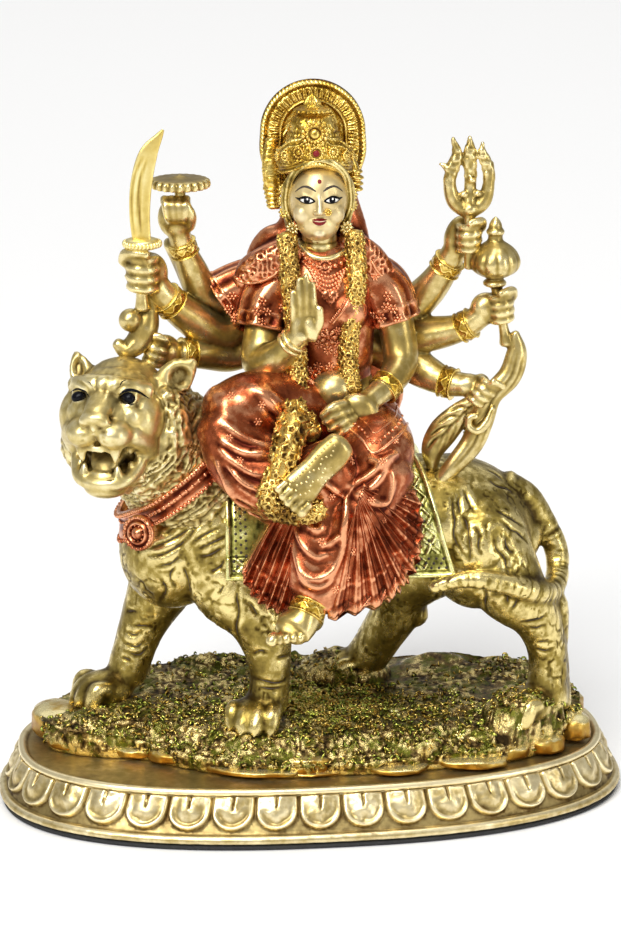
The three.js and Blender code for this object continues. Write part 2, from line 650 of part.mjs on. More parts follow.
// The four arms on the viewer's right, from the highest to the hand that rests on the lap.
function leftArms() {
  return [
    limb([[14, 3, 112, 5], [23, 3, 109.6, 4.8], [29, 1, 114.6, 4.3], [33.6, -2, 122, 3.4],
      [36, -3.6, 127.4, 3]]),
    blob([36.6, -4.4, 129.8], [4, 3.8, 5], { lean: [0, 25, 0] }),
    ...grip([37.8, -6.6, 129.8], [0, 0, 1], [0.3, -1, 0], 0.96),
    limb([[12, 3, 105.6, 5], [22, 3, 103.2, 5], [30, -1, 104.4, 4.4], [38, -5, 107.2, 3.3],
      [42, -6.4, 110.4, 3]]),
    blob([43.4, -6.6, 112], [4.6, 3.8, 4.6]),
    ...grip([46.8, -7.4, 112.4], [-0.1, 0, 1], [0.3, -1, 0]),
    limb([[14, 2, 102, 5], [23, 2, 97.6, 5], [29, -2, 94.6, 4.3], [34, -5, 92.8, 3.4],
      [37.6, -6.6, 92.6, 3]]),
    blob([38.6, -7, 92.6], [4, 3.4, 3.2]),
    ...grip([42.6, -8.6, 91.4], [0.6, 0, 0.8], [0.2, -1, -0.1], 0.95),
    limb([[18.5, -4, 117, 5.6], [20.8, -5.5, 108, 4.6], [21.8, -8.5, 99.5, 4.3],
      [18.8, -14.5, 95.6, 3.6], [15.4, -20, 94, 2.9]], { sides: 7 }),
    blob([10.6, -24.6, 91.4], [4.6, 3, 3.2], { lean: [0, 28, 0] }),
    ...[-1.5, -0.5, 0.5, 1.5].map((place) => limb([[9 + place * 0.7, -27, 91.8 - place * 1.4, 1.15],
      [4 + place * 0.9, -28.4, 89.4 - place * 1.2, 0.9]], { sides: 4 })),
  ];
}

// Short bell sleeves.
function sleeves() {
  return [
    limb([[-6, -3, 121, 7, 7], [-12, -3, 116, 8.4, 7.4], [-15.5, -5, 109.5, 9.4, 7.6]],
      { sides: 8, cap: 0.1 }),
    limb([[-8, 0, 120, 6, 6], [-17, 1, 115.5, 7.4, 6.4], [-21.6, 1, 112.4, 8, 6.6]],
      { sides: 8, cap: 0.1 }),
    limb([[12, -3, 121, 6, 6.6], [17.4, -4, 117, 6.8, 7], [20.2, -5, 108.6, 6.6, 6.6]],
      { sides: 8, cap: 0.1 }),
  ];
}

// The clothed legs: the right one folded across the saddle, the left one hanging, and both bare feet.
function goddessLegs() {
  return [
    limb([[6, -6, 80, 12, 12], [-6, -15, 87, 11.5, 10], [-16, -21, 90.6, 9.8, 9],
      [-23.2, -24, 91, 6.8, 7]], { sides: 8 }),
    limb([[-23, -25, 88.5, 6.8, 7], [-17, -28, 80, 9.4, 7.5], [-6, -31, 74, 9, 7],
      [5, -33, 79, 8, 6]], { sides: 8 }),
    limb([[-21, -23, 84, 5, 5], [-17.5, -24, 76, 6, 5], [-10, -26, 67.5, 5, 5],
      [-2, -29, 66, 4.5, 5]], { sides: 8 }),
    limb([[5.6, -37.5, 85.4, 2.2, 3.4], [3.4, -39, 83, 2.4, 4.6], [-0.6, -40.5, 79, 2.4, 4.8],
      [-4, -41.5, 74.6, 2, 4.6]],
      { across: new THREE.Vector3(-0.7, 0, 0.7), cap: 0.6 }),
    limb([[9, -4, 78, 12.5, 12], [13, -14, 80, 11.6, 11], [16, -25, 80.5, 10.5, 10],
      [15, -31, 76, 8.6, 8]], { sides: 8 }),
    limb([[15.5, -30, 78, 8.8, 8.5], [11, -33, 68, 7.6, 7.4], [6, -34, 58, 7.4, 6.6],
      [1.5, -35, 47, 7, 6]], { sides: 8 }),
    limb([[1.5, -36, 50, 4], [-0.6, -38, 44, 3.9], [-3, -40.5, 40.6, 4.4, 4.2],
      [-7.4, -43, 39, 3.6, 3.4], [-9.8, -44, 38.8, 2.4, 2.6]], { sides: 8 }),
    limb([[-6, -37, 46.2, 1.5], [-1, -42.8, 43.6, 1.7], [5.4, -39, 46, 1.5]]),
  ];
}

// The pleated cloth that fans out on both sides of the hanging leg, and the looped fold at its knee.
function sariPleats() {
  return [
    pleats([[-9.5, -31, 68.4], [-6, -33, 67.6], [-2.4, -35, 67.6], [1, -36, 66]],
      [[-18.4, -29, 51.4], [-14, -31.5, 45], [-7, -34.5, 42.4], [2.4, -37.5, 41.6]], 7, 1.2, 5),
    pleats([[11.6, -33, 77], [10.6, -35.5, 74.6], [8.4, -37.5, 71], [6.6, -38, 66]],
      [[24.6, -24.5, 62], [24, -26.5, 52], [17.6, -30, 44.4], [4, -36.5, 41.6]], 9, 1.2, 5),
    limb([[9, -35, 78, 1.6], [15, -33, 75.4, 2.2], [19.6, -29.6, 76.6, 2.4], [20.6, -27, 81.6, 2]]),
  ];
}

// The two flower garlands: one from the neck to the lap, one looped over the folded leg.
function garlands() {
  return [
    limb([[-6.4, -11, 131.6, 2.3], [-5.6, -13.8, 121, 2.5], [-4.6, -15.8, 110, 2.4],
      [-4.2, -17.8, 99, 2.6], [-3.2, -20.6, 90.4, 2.8], [-1, -26, 85.6, 2.6]]),
    limb([[10.2, -9.4, 131.6, 2.3], [10.6, -12.6, 121, 2.5], [9, -14.2, 110, 2.4],
      [8.4, -16, 99, 2.4], [9.4, -18, 94, 2.2]]),
    limb([[-4.9, -28, 92.8, 3.8, 3], [-6.4, -34.5, 88.7, 4.4, 3.2], [-8.4, -38, 83.3, 3.8, 3],
      [-10.3, -39.5, 77.6, 3], [-11.6, -40, 73.3, 3.2], [-8.2, -40.5, 70.7, 3], [-3.4, -40.5, 70.1, 2.6],
      [0.6, -39.5, 70.9, 2.2]], { sides: 7 }),
  ];
}

// The jewelled cluster at the waist, and the pendants of the necklaces.
function jewels() {
  return [
    blob([3.8, -15.4, 100.4], [6.2, 2.8, 3.4]),
    blob([4, -15.2, 107.4], [2.8, 2.4, 3]),
    blob([4.4, -14.6, 117.4], [3, 1.6, 2.8], { sides: 6, rows: 5 }),
  ];
}

// What the eight hands hold, apart from the two in front.
function attributes() {
  const flat = new THREE.Vector3(0, 1, 0);
  const prong = (stations) => limb(stations, { across: flat });
  return [
    turned([-32.1, -6, 144], [[0, -6.4], [1.5, -6], [1.5, -1.2], [7.2, -1.1], [7.2, 1.1], [0, 1.2]],
      { sides: 14 }),
    limb([[-41.4, -13, 130, 1.9, 0.8], [-41.9, -13, 138, 2.3, 0.9], [-41.3, -13, 146, 2.5, 0.9],
      [-39.4, -13, 152.8, 2.2, 0.8], [-35.8, -13, 158, 0.5, 0.4]], { across: flat }),
    turned([-41.5, -13, 130.8], [[0, -1.1], [4.2, -1], [4.2, 1], [0, 1.1]], { sides: 9 }),
    limb([[-41.6, -12.4, 114.6, 1.9], [-41.7, -12.6, 117.2, 1.5], [-41.6, -13, 130.6, 1.5]]),
    limb([[-40.4, -10, 117, 0.9], [-40.2, -10, 114, 2.2], [-41, -10.6, 109.6, 3.8],
      [-43, -11.2, 105.6, 3.2], [-45.8, -11.8, 104, 2.4], [-48, -12, 105.6, 1.4]], { sides: 8 }),
    blob([-44.6, -12.2, 111.4], [2.7, 2.6, 2.8]),
    limb([[38.6, -7, 122.6, 1.3], [38.6, -7, 134, 1.3], [38.5, -6.4, 140, 1.5],
      [38.6, -6, 147, 1.9, 1.1], [38.6, -6, 150.4, 2.3, 1.1], [38.6, -6, 154.6, 0.4]],
      { across: flat }),
    prong([[38.5, -6.2, 135, 1.8], [34.2, -6, 138, 1.9], [33, -6, 143, 2],
      [33.6, -6, 148, 1.9, 1.2], [35, -6, 154.4, 0.5]]),
    prong([[38.5, -6.2, 135, 1.8], [42.6, -6, 138, 1.9], [43.6, -6, 143, 2],
      [42.8, -6, 148, 1.9, 1.2], [41.4, -6, 153, 0.5]]),
    prong([[33.4, -6, 144.6, 1.5], [32.6, -6, 147.4, 0.8], [31, -6, 149, 0.4]]),
    limb([[48.2, -7, 103.4, 1.9], [47.6, -7, 106, 1.3], [45.3, -7, 118.4, 1.5]]),
    turned([45, -7, 117.2], [[0, 0], [2.8, 1], [1.9, 2.4], [5.6, 4.4], [6.4, 6.6], [5.6, 8.8],
      [2.2, 11], [3.4, 13], [1.6, 15], [0, 18]], { sides: 9 }),
    limb([[50.2, -8, 106, 1], [50.6, -8, 101, 2.6, 1.8], [49, -8.4, 95.4, 3, 2],
      [44.2, -9, 90.2, 2.8, 2], [42, -9, 84.4, 3.2, 2.2], [39.8, -9, 78.4, 3, 2],
      [34.8, -9.8, 72.4, 2.4, 2], [31.8, -10, 69.2, 1.8]], { sides: 7 }),
    limb([[40.6, -8.6, 88, 1.8], [35.4, -7.6, 83.4, 2.6, 1.6], [31.2, -6.8, 78, 3, 1.6],
      [29.6, -6.4, 72, 2.2, 1.6]],
      { across: flat }),
  ];
}

function goddess() {
  return [
    ...goddessBody(),
    ...veil(),
    ...goddessHead(),
    crown(),
    ...halo(),
    ...rightArms(),
    ...leftArms(),
    ...sleeves(),
    ...goddessLegs(),
    ...sariPleats(),
    ...garlands(),
    ...jewels(),
    ...attributes(),
  ];
}

const group = new THREE.Group();

// A mesh for a solid, set down on what is below it.
function place(name, body, material, height = 0) {
  const mesh = new THREE.Mesh(surface(body.translate(0, 0, height), SLIVER), material);
  mesh.name = name;
  group.add(mesh);
}

place("felt_pad", feltPad(), FELT);
place("plinth", plinth(), PLINTH_GOLD);
const FIGURE = filled(joined([ground(), ...mounds(), ...lion(), ...goddess()]));
place("durga_on_lion", FIGURE, BRONZE, FLOOR_TOP + FIT_GAP);

export default group;
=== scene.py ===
"""The painted surface of a cast figure: a goddess with eight arms, seated on a striding lion.

Every list is in millimetres in the frame of the figure: x to the viewer's right, y away from the viewer,
z up from a level just over the underside of the rocky ground. A piece becomes metres when it is made.
"""

import bpy
import numpy as np
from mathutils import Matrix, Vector
from mathutils.bvhtree import BVHTree


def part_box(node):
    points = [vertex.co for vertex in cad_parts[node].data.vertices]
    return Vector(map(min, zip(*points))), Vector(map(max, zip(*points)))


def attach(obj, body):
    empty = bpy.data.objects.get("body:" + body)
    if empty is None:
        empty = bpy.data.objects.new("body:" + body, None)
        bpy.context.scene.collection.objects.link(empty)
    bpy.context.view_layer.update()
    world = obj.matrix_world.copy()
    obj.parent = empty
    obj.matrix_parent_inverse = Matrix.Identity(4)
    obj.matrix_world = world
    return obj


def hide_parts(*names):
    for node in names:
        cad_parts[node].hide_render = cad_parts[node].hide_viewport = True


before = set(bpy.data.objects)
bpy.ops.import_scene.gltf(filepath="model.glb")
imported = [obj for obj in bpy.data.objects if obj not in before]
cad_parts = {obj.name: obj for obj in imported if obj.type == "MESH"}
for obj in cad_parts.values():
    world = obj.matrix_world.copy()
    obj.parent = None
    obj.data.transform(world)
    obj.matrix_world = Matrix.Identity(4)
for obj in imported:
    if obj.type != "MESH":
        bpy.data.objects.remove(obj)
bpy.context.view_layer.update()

MM = 0.001
UNDERSIDE = -1.0
IN_FRONT = -60.0

FIGURE_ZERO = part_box("durga_on_lion")[0].z / MM - UNDERSIDE
PLINTH_LOW, PLINTH_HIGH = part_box("plinth")
FELT_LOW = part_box("felt_pad")[0]

# The camera, in millimetres over the table
IMAGE_WIDTH, IMAGE_HEIGHT = 621, 931
CAMERA_PLACE = np.array([-43.4, -828.9, 318.0])
CAMERA_AIM = np.array([0.0, 0.0, 84.8])
FOCAL_PIXELS = 3434.0


# Shapes

def unit(vectors):
    """Vectors brought to a length of 1."""
    return vectors / np.maximum(np.linalg.norm(vectors, axis=-1, keepdims=True), 1e-9)


def ease(value, low, high):
    """0 below low, 1 above high, and 3t^2 - 2t^3 between them."""
    t = np.clip((value - low) / (high - low), 0, 1)
    return t * t * (3 - 2 * t)


def angles(count):
    """Evenly spaced angles round a full turn."""
    return np.arange(count) / count * 2 * np.pi


def bump(value, width):
    """A bell: 1 at 0, falling off as e to the minus square of value over width."""
    return np.exp(-np.square(value / width))


def grain(points, size, seed):
    """Soft noise from -1 to 1: random numbers at the corners of cells of a size, blended by 3t^2 - 2t^3."""
    place = np.asarray(points) / size + 31.7 * seed
    low = np.floor(place).astype(np.int64)
    t = place - low
    t = t * t * (3 - 2 * t)
    table = np.random.default_rng(seed).uniform(-1, 1, 4096)
    total = 0
    for corner in np.ndindex(2, 2, 2):
        cell = low + corner
        key = (cell[..., 0] * 73856093) ^ (cell[..., 1] * 19349663) ^ (cell[..., 2] * 83492791)
        share = np.prod(np.where(np.array(corner) == 1, t, 1 - t), axis=-1)
        total = total + share * table[key & 4095]
    return total


def smooth_line(stations, count):
    """Rows along the centripetal Catmull-Rom curve through the stations: on each stretch, the cubic whose
    slopes come from the four nearest stations, weighted by the square roots of the gaps between them."""
    rows = np.asarray(stations, float)
    rows = np.vstack([2 * rows[0] - rows[1], rows, 2 * rows[-1] - rows[-2]])
    place = np.linspace(0, len(rows) - 3, count)
    low = np.minimum(place.astype(int), len(rows) - 4)
    t = (place - low)[:, None]
    a, b, c, d = (rows[low + step] for step in range(4))
    gaps = [np.linalg.norm(v[:, :3] - u[:, :3], axis=1) for u, v in ((a, b), (b, c), (c, d))]
    first, middle, last = (np.maximum(gap, 1e-6)[:, None] ** 0.5 for gap in gaps)
    leave = ((b - a) / first - (c - a) / (first + middle) + (c - b) / middle) * middle
    arrive = ((c - b) / middle - (d - b) / (middle + last) + (d - c) / last) * middle
    start = (2 * t**3 - 3 * t**2 + 1) * b + (t**3 - 2 * t**2 + t) * leave
    return start + (3 * t**2 - 2 * t**3) * c + (t**3 - t**2) * arrive


def grid_faces(rows, columns, round_columns=False):
    """The four-cornered faces of a grid of points kept row after row."""
    row, column = np.meshgrid(np.arange(rows - 1), np.arange(columns - (not round_columns)), indexing="ij")
    beside = (column + 1) % columns
    corners = [row * columns + column, row * columns + beside]
    corners += [(row + 1) * columns + beside, (row + 1) * columns + column]
    return np.stack(corners, -1).reshape(-1, 4)


def outwards(points, faces):
    """The faces turned to look out: they are turned over where the volume inside them comes out negative."""
    last = np.where(faces[:, 3] < 0, faces[:, 2], faces[:, 3])
    a, b, c, d = (points[corner] for corner in (faces[:, 0], faces[:, 1], faces[:, 2], last))
    volume = np.sum(a * np.cross(b, c)) + np.sum(a * np.cross(c, d))
    return points, (faces[:, [2, 1, 0, 3]] if volume < 0 else faces)


def closed(rings):
    """A closed skin over rings of points, each end shut by a fan to the middle of its ring."""
    count, sides, _ = rings.shape
    points = np.vstack([rings.reshape(-1, 3), rings[0].mean(0), rings[-1].mean(0)])
    foot = np.arange(sides)
    head = foot + (count - 1) * sides
    none = np.full(sides, -1)
    low = np.stack([np.roll(foot, -1), foot, none + 1 + count * sides, none], 1)
    high = np.stack([head, np.roll(head, -1), none + 2 + count * sides, none], 1)
    return outwards(points, np.vstack([grid_faces(count, sides, True), low, high]))


def hooped(rings):
    """A closed ring of closed rings, such as a bangle."""
    count, across = rings.shape[:2]
    return outwards(rings.reshape(-1, 3), grid_faces(count + 1, across, True) % (count * across))


def square_to(along, across):
    """For each way along a line: the way nearest to across that is square to it, and the third way."""
    across = np.asarray(across, float)
    deep = unit(across - along * (along @ across)[:, None])
    return deep, np.cross(deep, along)


def travelled(line):
    """How far each place of a line is from its start, along the line."""
    return np.concatenate([[0], np.cumsum(np.linalg.norm(np.diff(line, axis=0), axis=1))])


def joined(forms):
    """Several forms as one list of points and one of faces."""
    starts = np.cumsum([0] + [len(points) for points, _ in forms])
    faces = [np.where(f < 0, -1, f + start) for (_, f), start in zip(forms, starts)]
    return np.vstack([points for points, _ in forms]), np.vstack(faces)


def limb(stations, sides=20, rings=0, across=(0, 1, 0), cap=0.6):
    """A closed oval tube along a smooth curve through stations [x, y, z, half width, half depth]. The depth
    is measured along across, and each end is rounded off as half an ellipsoid, cap times as long as wide."""
    full = np.array([list(s) + [s[3]] * (5 - len(s)) for s in stations], float)
    count = rings or 6 * (len(full) - 1) + 1
    line = smooth_line(full, count)
    line[:, 3:] = np.maximum(line[:, 3:], 0.05)
    along = unit(np.gradient(line[:, :3], axis=0))
    tips = np.radians([82, 62, 40, 18])
    order = np.concatenate([np.zeros(4, int), np.arange(count), np.full(4, count - 1)])
    rise = np.concatenate([-np.sin(tips), np.zeros(count), np.sin(tips[::-1])])
    shrink = np.concatenate([np.cos(tips), np.ones(count), np.cos(tips[::-1])])
    along, line = along[order], line[order]
    centre = line[:, :3] + along * (rise * cap * line[:, 3])[:, None]
    deep, wide = square_to(along, across)
    turn = angles(sides)
    aside = np.cos(turn)[None, :, None] * (wide * (shrink * line[:, 3])[:, None])[:, None]
    ahead = np.sin(turn)[None, :, None] * (deep * (shrink * line[:, 4])[:, None])[:, None]
    return closed(centre[:, None] + aside + ahead)


def leant(lean):
    """The turn about x, after the one about y, after the one about z, in degrees."""
    (cx, cy, cz), (sx, sy, sz) = np.cos(np.radians(lean)), np.sin(np.radians(lean))
    about_x = np.array([[1, 0, 0], [0, cx, -sx], [0, sx, cx]])
    about_y = np.array([[cy, 0, sy], [0, 1, 0], [-sy, 0, cy]])
    about_z = np.array([[cz, -sz, 0], [sz, cz, 0], [0, 0, 1]])
    return about_x @ about_y @ about_z


def blob(centre, half, lean=(0, 0, 0), sides=20, rows=12):
    """An ellipsoid: the point of a unit ball at each longitude and latitude, stretched, leant and placed."""
    latitude = np.radians(np.linspace(-88, 88, rows))[:, None]
    longitude = angles(sides)[None]
    up = np.broadcast_to(np.sin(latitude), (rows, sides))
    ball = np.stack([np.cos(latitude) * np.cos(longitude), np.cos(latitude) * np.sin(longitude), up], -1)
    return closed(ball * half @ leant(lean).T + centre)


def sheet(shape, across, down, thickness, inward=(0, 1, 0), spare=8):
    """A closed sheet: its front is shape(u, v) on a grid, and its back lies thickness behind along inward,
    on only a few of the columns."""
    rows = np.linspace(0, 1, down + 1) if np.isscalar(down) else np.asarray(down)
    u, v = np.meshgrid(np.linspace(0, 1, across + 1), rows)
    front = np.stack(np.broadcast_arrays(*shape(u, v)), -1)
    behind = np.stack(np.broadcast_arrays(*inward(u, v)), -1) if callable(inward) else np.array(inward)
    kept = np.linspace(across, 0, min(spare, across) + 1).astype(int)
    back = (front + behind * thickness)[:, kept]
    return closed(np.concatenate([front, back], axis=1))


def turned(centre, profile, sides=48, flatten=1.0, rows=0):
    """A turned form: a profile of [radius, height] spun round a centre, squeezed front to back."""
    line = np.array(profile, float)
    if rows:
        line = smooth_line(np.column_stack([line, np.zeros(len(line))]), rows)[:, :2]
    radius = np.maximum(line[:, :1], 0.01)
    turn = angles(sides)[None]
    up = np.broadcast_to(line[:, 1:], (len(line), sides))
    return closed(np.stack([radius * np.cos(turn), radius * np.sin(turn) * flatten, up], -1) + centre)


def steps_between(faces):
    """Every step from a corner of a face to the next one, as two lists of points."""
    fourth = np.where(faces[:, 3] < 0, faces[:, 0], faces[:, 3])
    ring = np.column_stack([faces[:, :3], fourth, faces[:, 0]])
    start, end = ring[:, :-1].ravel(), ring[:, 1:].ravel()
    return start[start != end], end[start != end]


def relaxed(points, faces, passes, share=0.5):
    """The points after a number of passes that each move every point towards its neighbours' middle."""
    start, end = steps_between(faces)
    count = np.maximum(np.bincount(start, minlength=len(points)), 1)
    for _ in range(passes):
        middle = [np.bincount(start, points[end, axis], len(points)) / count for axis in range(3)]
        points = points + share * (np.stack(middle, -1) - points)
    return points


def outlook(points, faces):
    """The direction that the surface faces at each point: the sum of its faces' normals, brought to 1."""
    fourth = points[np.where(faces[:, 3] < 0, faces[:, 2], faces[:, 3])]
    first, second, third = (points[faces[:, corner]] for corner in range(3))
    normal = np.cross(third - first, fourth - second)
    corner, owner = faces.ravel(), np.repeat(np.arange(len(faces)), 4)
    corner, owner = corner[corner >= 0], owner[corner >= 0]
    sums = [np.bincount(corner, normal[owner, axis], len(points)) for axis in range(3)]
    return unit(np.stack(sums, -1))


def mesh_of(name, points, faces):
    """A mesh from points and faces, where a face's fourth corner of -1 makes it three-cornered."""
    mesh = bpy.data.meshes.new(name)
    sizes = (faces >= 0).sum(1)
    corners = faces[faces >= 0]
    mesh.vertices.add(len(points))
    mesh.vertices.foreach_set("co", np.ascontiguousarray(points, dtype=np.float32).ravel())
    mesh.loops.add(len(corners))
    mesh.loops.foreach_set("vertex_index", corners.astype(np.int32))
    mesh.polygons.add(len(faces))
    mesh.polygons.foreach_set("loop_start", (np.cumsum(sizes) - sizes).astype(np.int32))
    mesh.polygons.foreach_set("use_smooth", np.ones(len(faces), bool))
    mesh.update(calc_edges=True)
    return mesh


def arrays_of(mesh):
    """A mesh's points and faces as two arrays."""
    points = np.empty(len(mesh.vertices) * 3)
    mesh.vertices.foreach_get("co", points)
    corners = np.empty(len(mesh.loops), np.int32)
    mesh.loops.foreach_get("vertex_index", corners)
    sizes = np.empty(len(mesh.polygons), np.int32)
    mesh.polygons.foreach_get("loop_total", sizes)
    starts = np.cumsum(sizes) - sizes
    columns = np.arange(4)[None] + starts[:, None]
    faces = np.where(np.arange(4)[None] < sizes[:, None], corners[np.minimum(columns, len(corners) - 1)], -1)
    return points.reshape(-1, 3), faces.astype(np.int64)


def finished(points, faces, kind, **settings):
    """Points and faces after one modifier of the given kind."""
    holder = bpy.data.objects.new("blank", mesh_of("blank", points, faces))
    bpy.context.collection.objects.link(holder)
    modifier = holder.modifiers.new("finish", kind)
    for setting, value in settings.items():
        setattr(modifier, setting, value)
    shown = holder.evaluated_get(bpy.context.evaluated_depsgraph_get())
    result = arrays_of(shown.to_mesh())
    shown.to_mesh_clear()
    bpy.data.objects.remove(holder)
    return result


def fused(forms, cell, passes=2):
    """One skin round several closed forms, drawn on a lattice of small cells and then relaxed."""
    skin = finished(*joined(forms), "REMESH", mode="VOXEL", voxel_size=cell, adaptivity=0)
    return relaxed(*skin, passes), skin[1]


def laid_on(forms, ground, lift):
    """Forms dropped along +y onto a ground of points and faces, and lifted off it a little."""
    target = bpy.data.objects.new("ground", mesh_of("ground", *ground))
    bpy.context.collection.objects.link(target)
    settings = {"wrap_method": "PROJECT", "target": target, "offset": lift, "use_project_y": True}
    settings |= {"use_positive_direction": True, "use_negative_direction": False,
        "wrap_mode": "ABOVE_SURFACE"}
    result = finished(*forms, "SHRINKWRAP", **settings)
    bpy.data.objects.remove(target)
    return result


def tree_of(form):
    """A form ready to be met by lines of sight."""
    return BVHTree.FromPolygons(form[0].tolist(), [[i for i in face if i >= 0] for face in form[1].tolist()])


def sight(columns, rows):
    """The directions from the camera through places of the image, and where the camera is."""
    ahead = unit(CAMERA_AIM - CAMERA_PLACE)
    right = unit(np.cross(ahead, [0, 0, 1]))
    up = np.cross(right, ahead)
    across = np.asarray(columns, float)[..., None] - IMAGE_WIDTH / 2
    above = IMAGE_HEIGHT / 2 - np.asarray(rows, float)[..., None]
    eye = CAMERA_PLACE - [0, 0, FIGURE_ZERO]
    return unit(ahead * FOCAL_PIXELS + right * across + up * above), eye


def met(tree, places, past=0.0):
    """Where lines of sight through places [column, row] of the image meet a form, and how it faces there."""
    places = np.asarray(places, float)
    directions, eye = sight(places[:, 0], places[:, 1])
    found = [tree.ray_cast(Vector(eye), Vector(d)) for d in directions]
    kept = [(hit, normal) for hit, normal, _, _ in found if hit is not None]
    if not kept:
        return np.zeros((0, 3)), np.zeros((0, 3))
    spots = np.array([hit[:] for hit, _ in kept])
    facing = np.array([normal[:] for _, normal in kept])
    return spots + facing * past, facing


def drawn(tree, places, spacing=2.0):
    """A smooth line through places of the image, laid on a form, with its normals."""
    places = np.column_stack([np.array(places, float), np.zeros(len(places))])
    length = np.linalg.norm(np.diff(places, axis=0), axis=1).sum()
    return met(tree, smooth_line(places, max(3, int(length / spacing)))[:, :2])


def gap_to(points, line):
    """How far each point is from a broken line, and at which share of the line its nearest place is."""
    best, place = np.full(len(points), np.inf), np.zeros(len(points))
    for step, (a, b) in enumerate(zip(line[:-1], line[1:])):
        run = b - a
        share = np.clip((points - a) @ run / max(run @ run, 1e-9), 0, 1)
        gap = np.linalg.norm(points - a - share[:, None] * run, axis=1)
        place = np.where(gap < best, (step + share) / (len(line) - 1), place)
        best = np.minimum(best, gap)
    return best, place


def carved(points, facing, lines, width, height, tapered=True):
    """The points raised along their normals by a bell of the given width round each line; a height below 0
    cuts a groove. A tapered line fades out towards both ends as the sine of the share of its length."""
    lift = np.zeros(len(points))
    for line in lines:
        if len(line) < 2:
            continue
        reach = 2.6 * width
        close = np.all((points > line.min(0) - reach) & (points < line.max(0) + reach), axis=1)
        gap, place = gap_to(points[close], line)
        fade = np.sqrt(np.sin(np.pi * np.clip(place, 0.01, 0.99))) if tapered else 1.0
        lift[close] += height * bump(gap, width) * fade
    return points + facing * lift[:, None]


def recess(points, faces, passes=6, depth=0.1):
    """How hollow the surface is at each point, from -1 on a ridge to 1 in a groove: how far its neighbours'
    middle stands out from it, after a few passes, over depth."""
    away = relaxed(points, faces, passes) - points
    return np.clip(np.sum(away * outlook(points, faces), axis=1) / depth, -1, 1)


def set_out(form, spots, facing, size=1.0, spin=None, up=(0, 0, 1)):
    """Copies of a small form: its z turned to each normal, its y to up, spun, scaled and moved to a spot."""
    points, faces = form
    count = len(spots)
    size = np.broadcast_to(np.asarray(size, float), (count,))
    normal = unit(np.asarray(facing, float))
    side = unit(np.cross(np.asarray(up, float) + 1e-3, normal))
    top = np.cross(normal, side)
    spin = np.zeros(count) if spin is None else np.asarray(spin, float)
    c, s = np.cos(spin)[:, None], np.sin(spin)[:, None]
    frames = np.stack([side * c + top * s, top * c - side * s, normal], 1)
    placed = np.einsum("ni,kij->knj", points, frames) * size[:, None, None] + np.asarray(spots)[:, None]
    moved = np.arange(count)[:, None, None] * len(points) + np.maximum(faces, 0)[None]
    moved = np.where(faces[None] < 0, -1, moved)
    return placed.reshape(-1, 3), moved.reshape(-1, 4)


def looped(outline, count):
    """Evenly spaced places on the closed smooth curve through the places of an outline."""
    rows = np.column_stack([np.array(outline, float), np.zeros(len(outline))])
    fine, spare = 40 * len(rows), 80
    line = smooth_line(np.vstack([rows[-2:], rows, rows[:3]]), fine + 2 * spare + 1)[spare:spare + fine + 1]
    length = travelled(line)
    at = np.arange(count) / count * length[-1]
    return np.stack([np.interp(at, length, line[:, 0]), np.interp(at, length, line[:, 1])], -1)


def patch(outline, ground, lift, count=44, rings=5):
    """A thin closed patch of paint: an outline of [x, z] places filled by rings round its middle, dropped on
    a form from the front, with a back inside it."""
    edge = looped(outline, count)
    share = np.linspace(0.05, 1, rings)[:, None, None]
    flat = edge.mean(0) + share * (edge - edge.mean(0))
    places = np.stack([flat[..., 0], np.full(flat.shape[:2], IN_FRONT), flat[..., 1]], -1)
    points, _ = laid_on((places.reshape(-1, 3), grid_faces(rings, count, True)), ground, lift)
    front = points.reshape(rings, count, 3)
    return closed(np.concatenate([front, front[::-1] + [0, 0.4, 0]]))


def beaded(radius, height, count, half, sides=8, rows=5):
    """Beads in a level ring."""
    return [blob((radius * np.cos(t), radius * np.sin(t), height), half, sides=sides, rows=rows)
        for t in angles(count)]


def rosette(radius, beads):
    """A boss with a dome in the middle, a ring round it and beads round the ring."""
    dome = turned((0, 0, 0), [[0.02, -0.5], [0.9 * radius, -0.5], [0.92 * radius, 0.05],
        [0.72 * radius, 0.18], [0.66 * radius, 0.08], [0.5 * radius, 0.1], [0.42 * radius, 0.34],
        [0.2 * radius, 0.5], [0.02, 0.54]], 24)
    size = 0.9 * np.pi * radius / beads
    return joined([dome, *beaded(0.86 * radius, 0.14, beads, (size, size, size), 6)])


# Paint

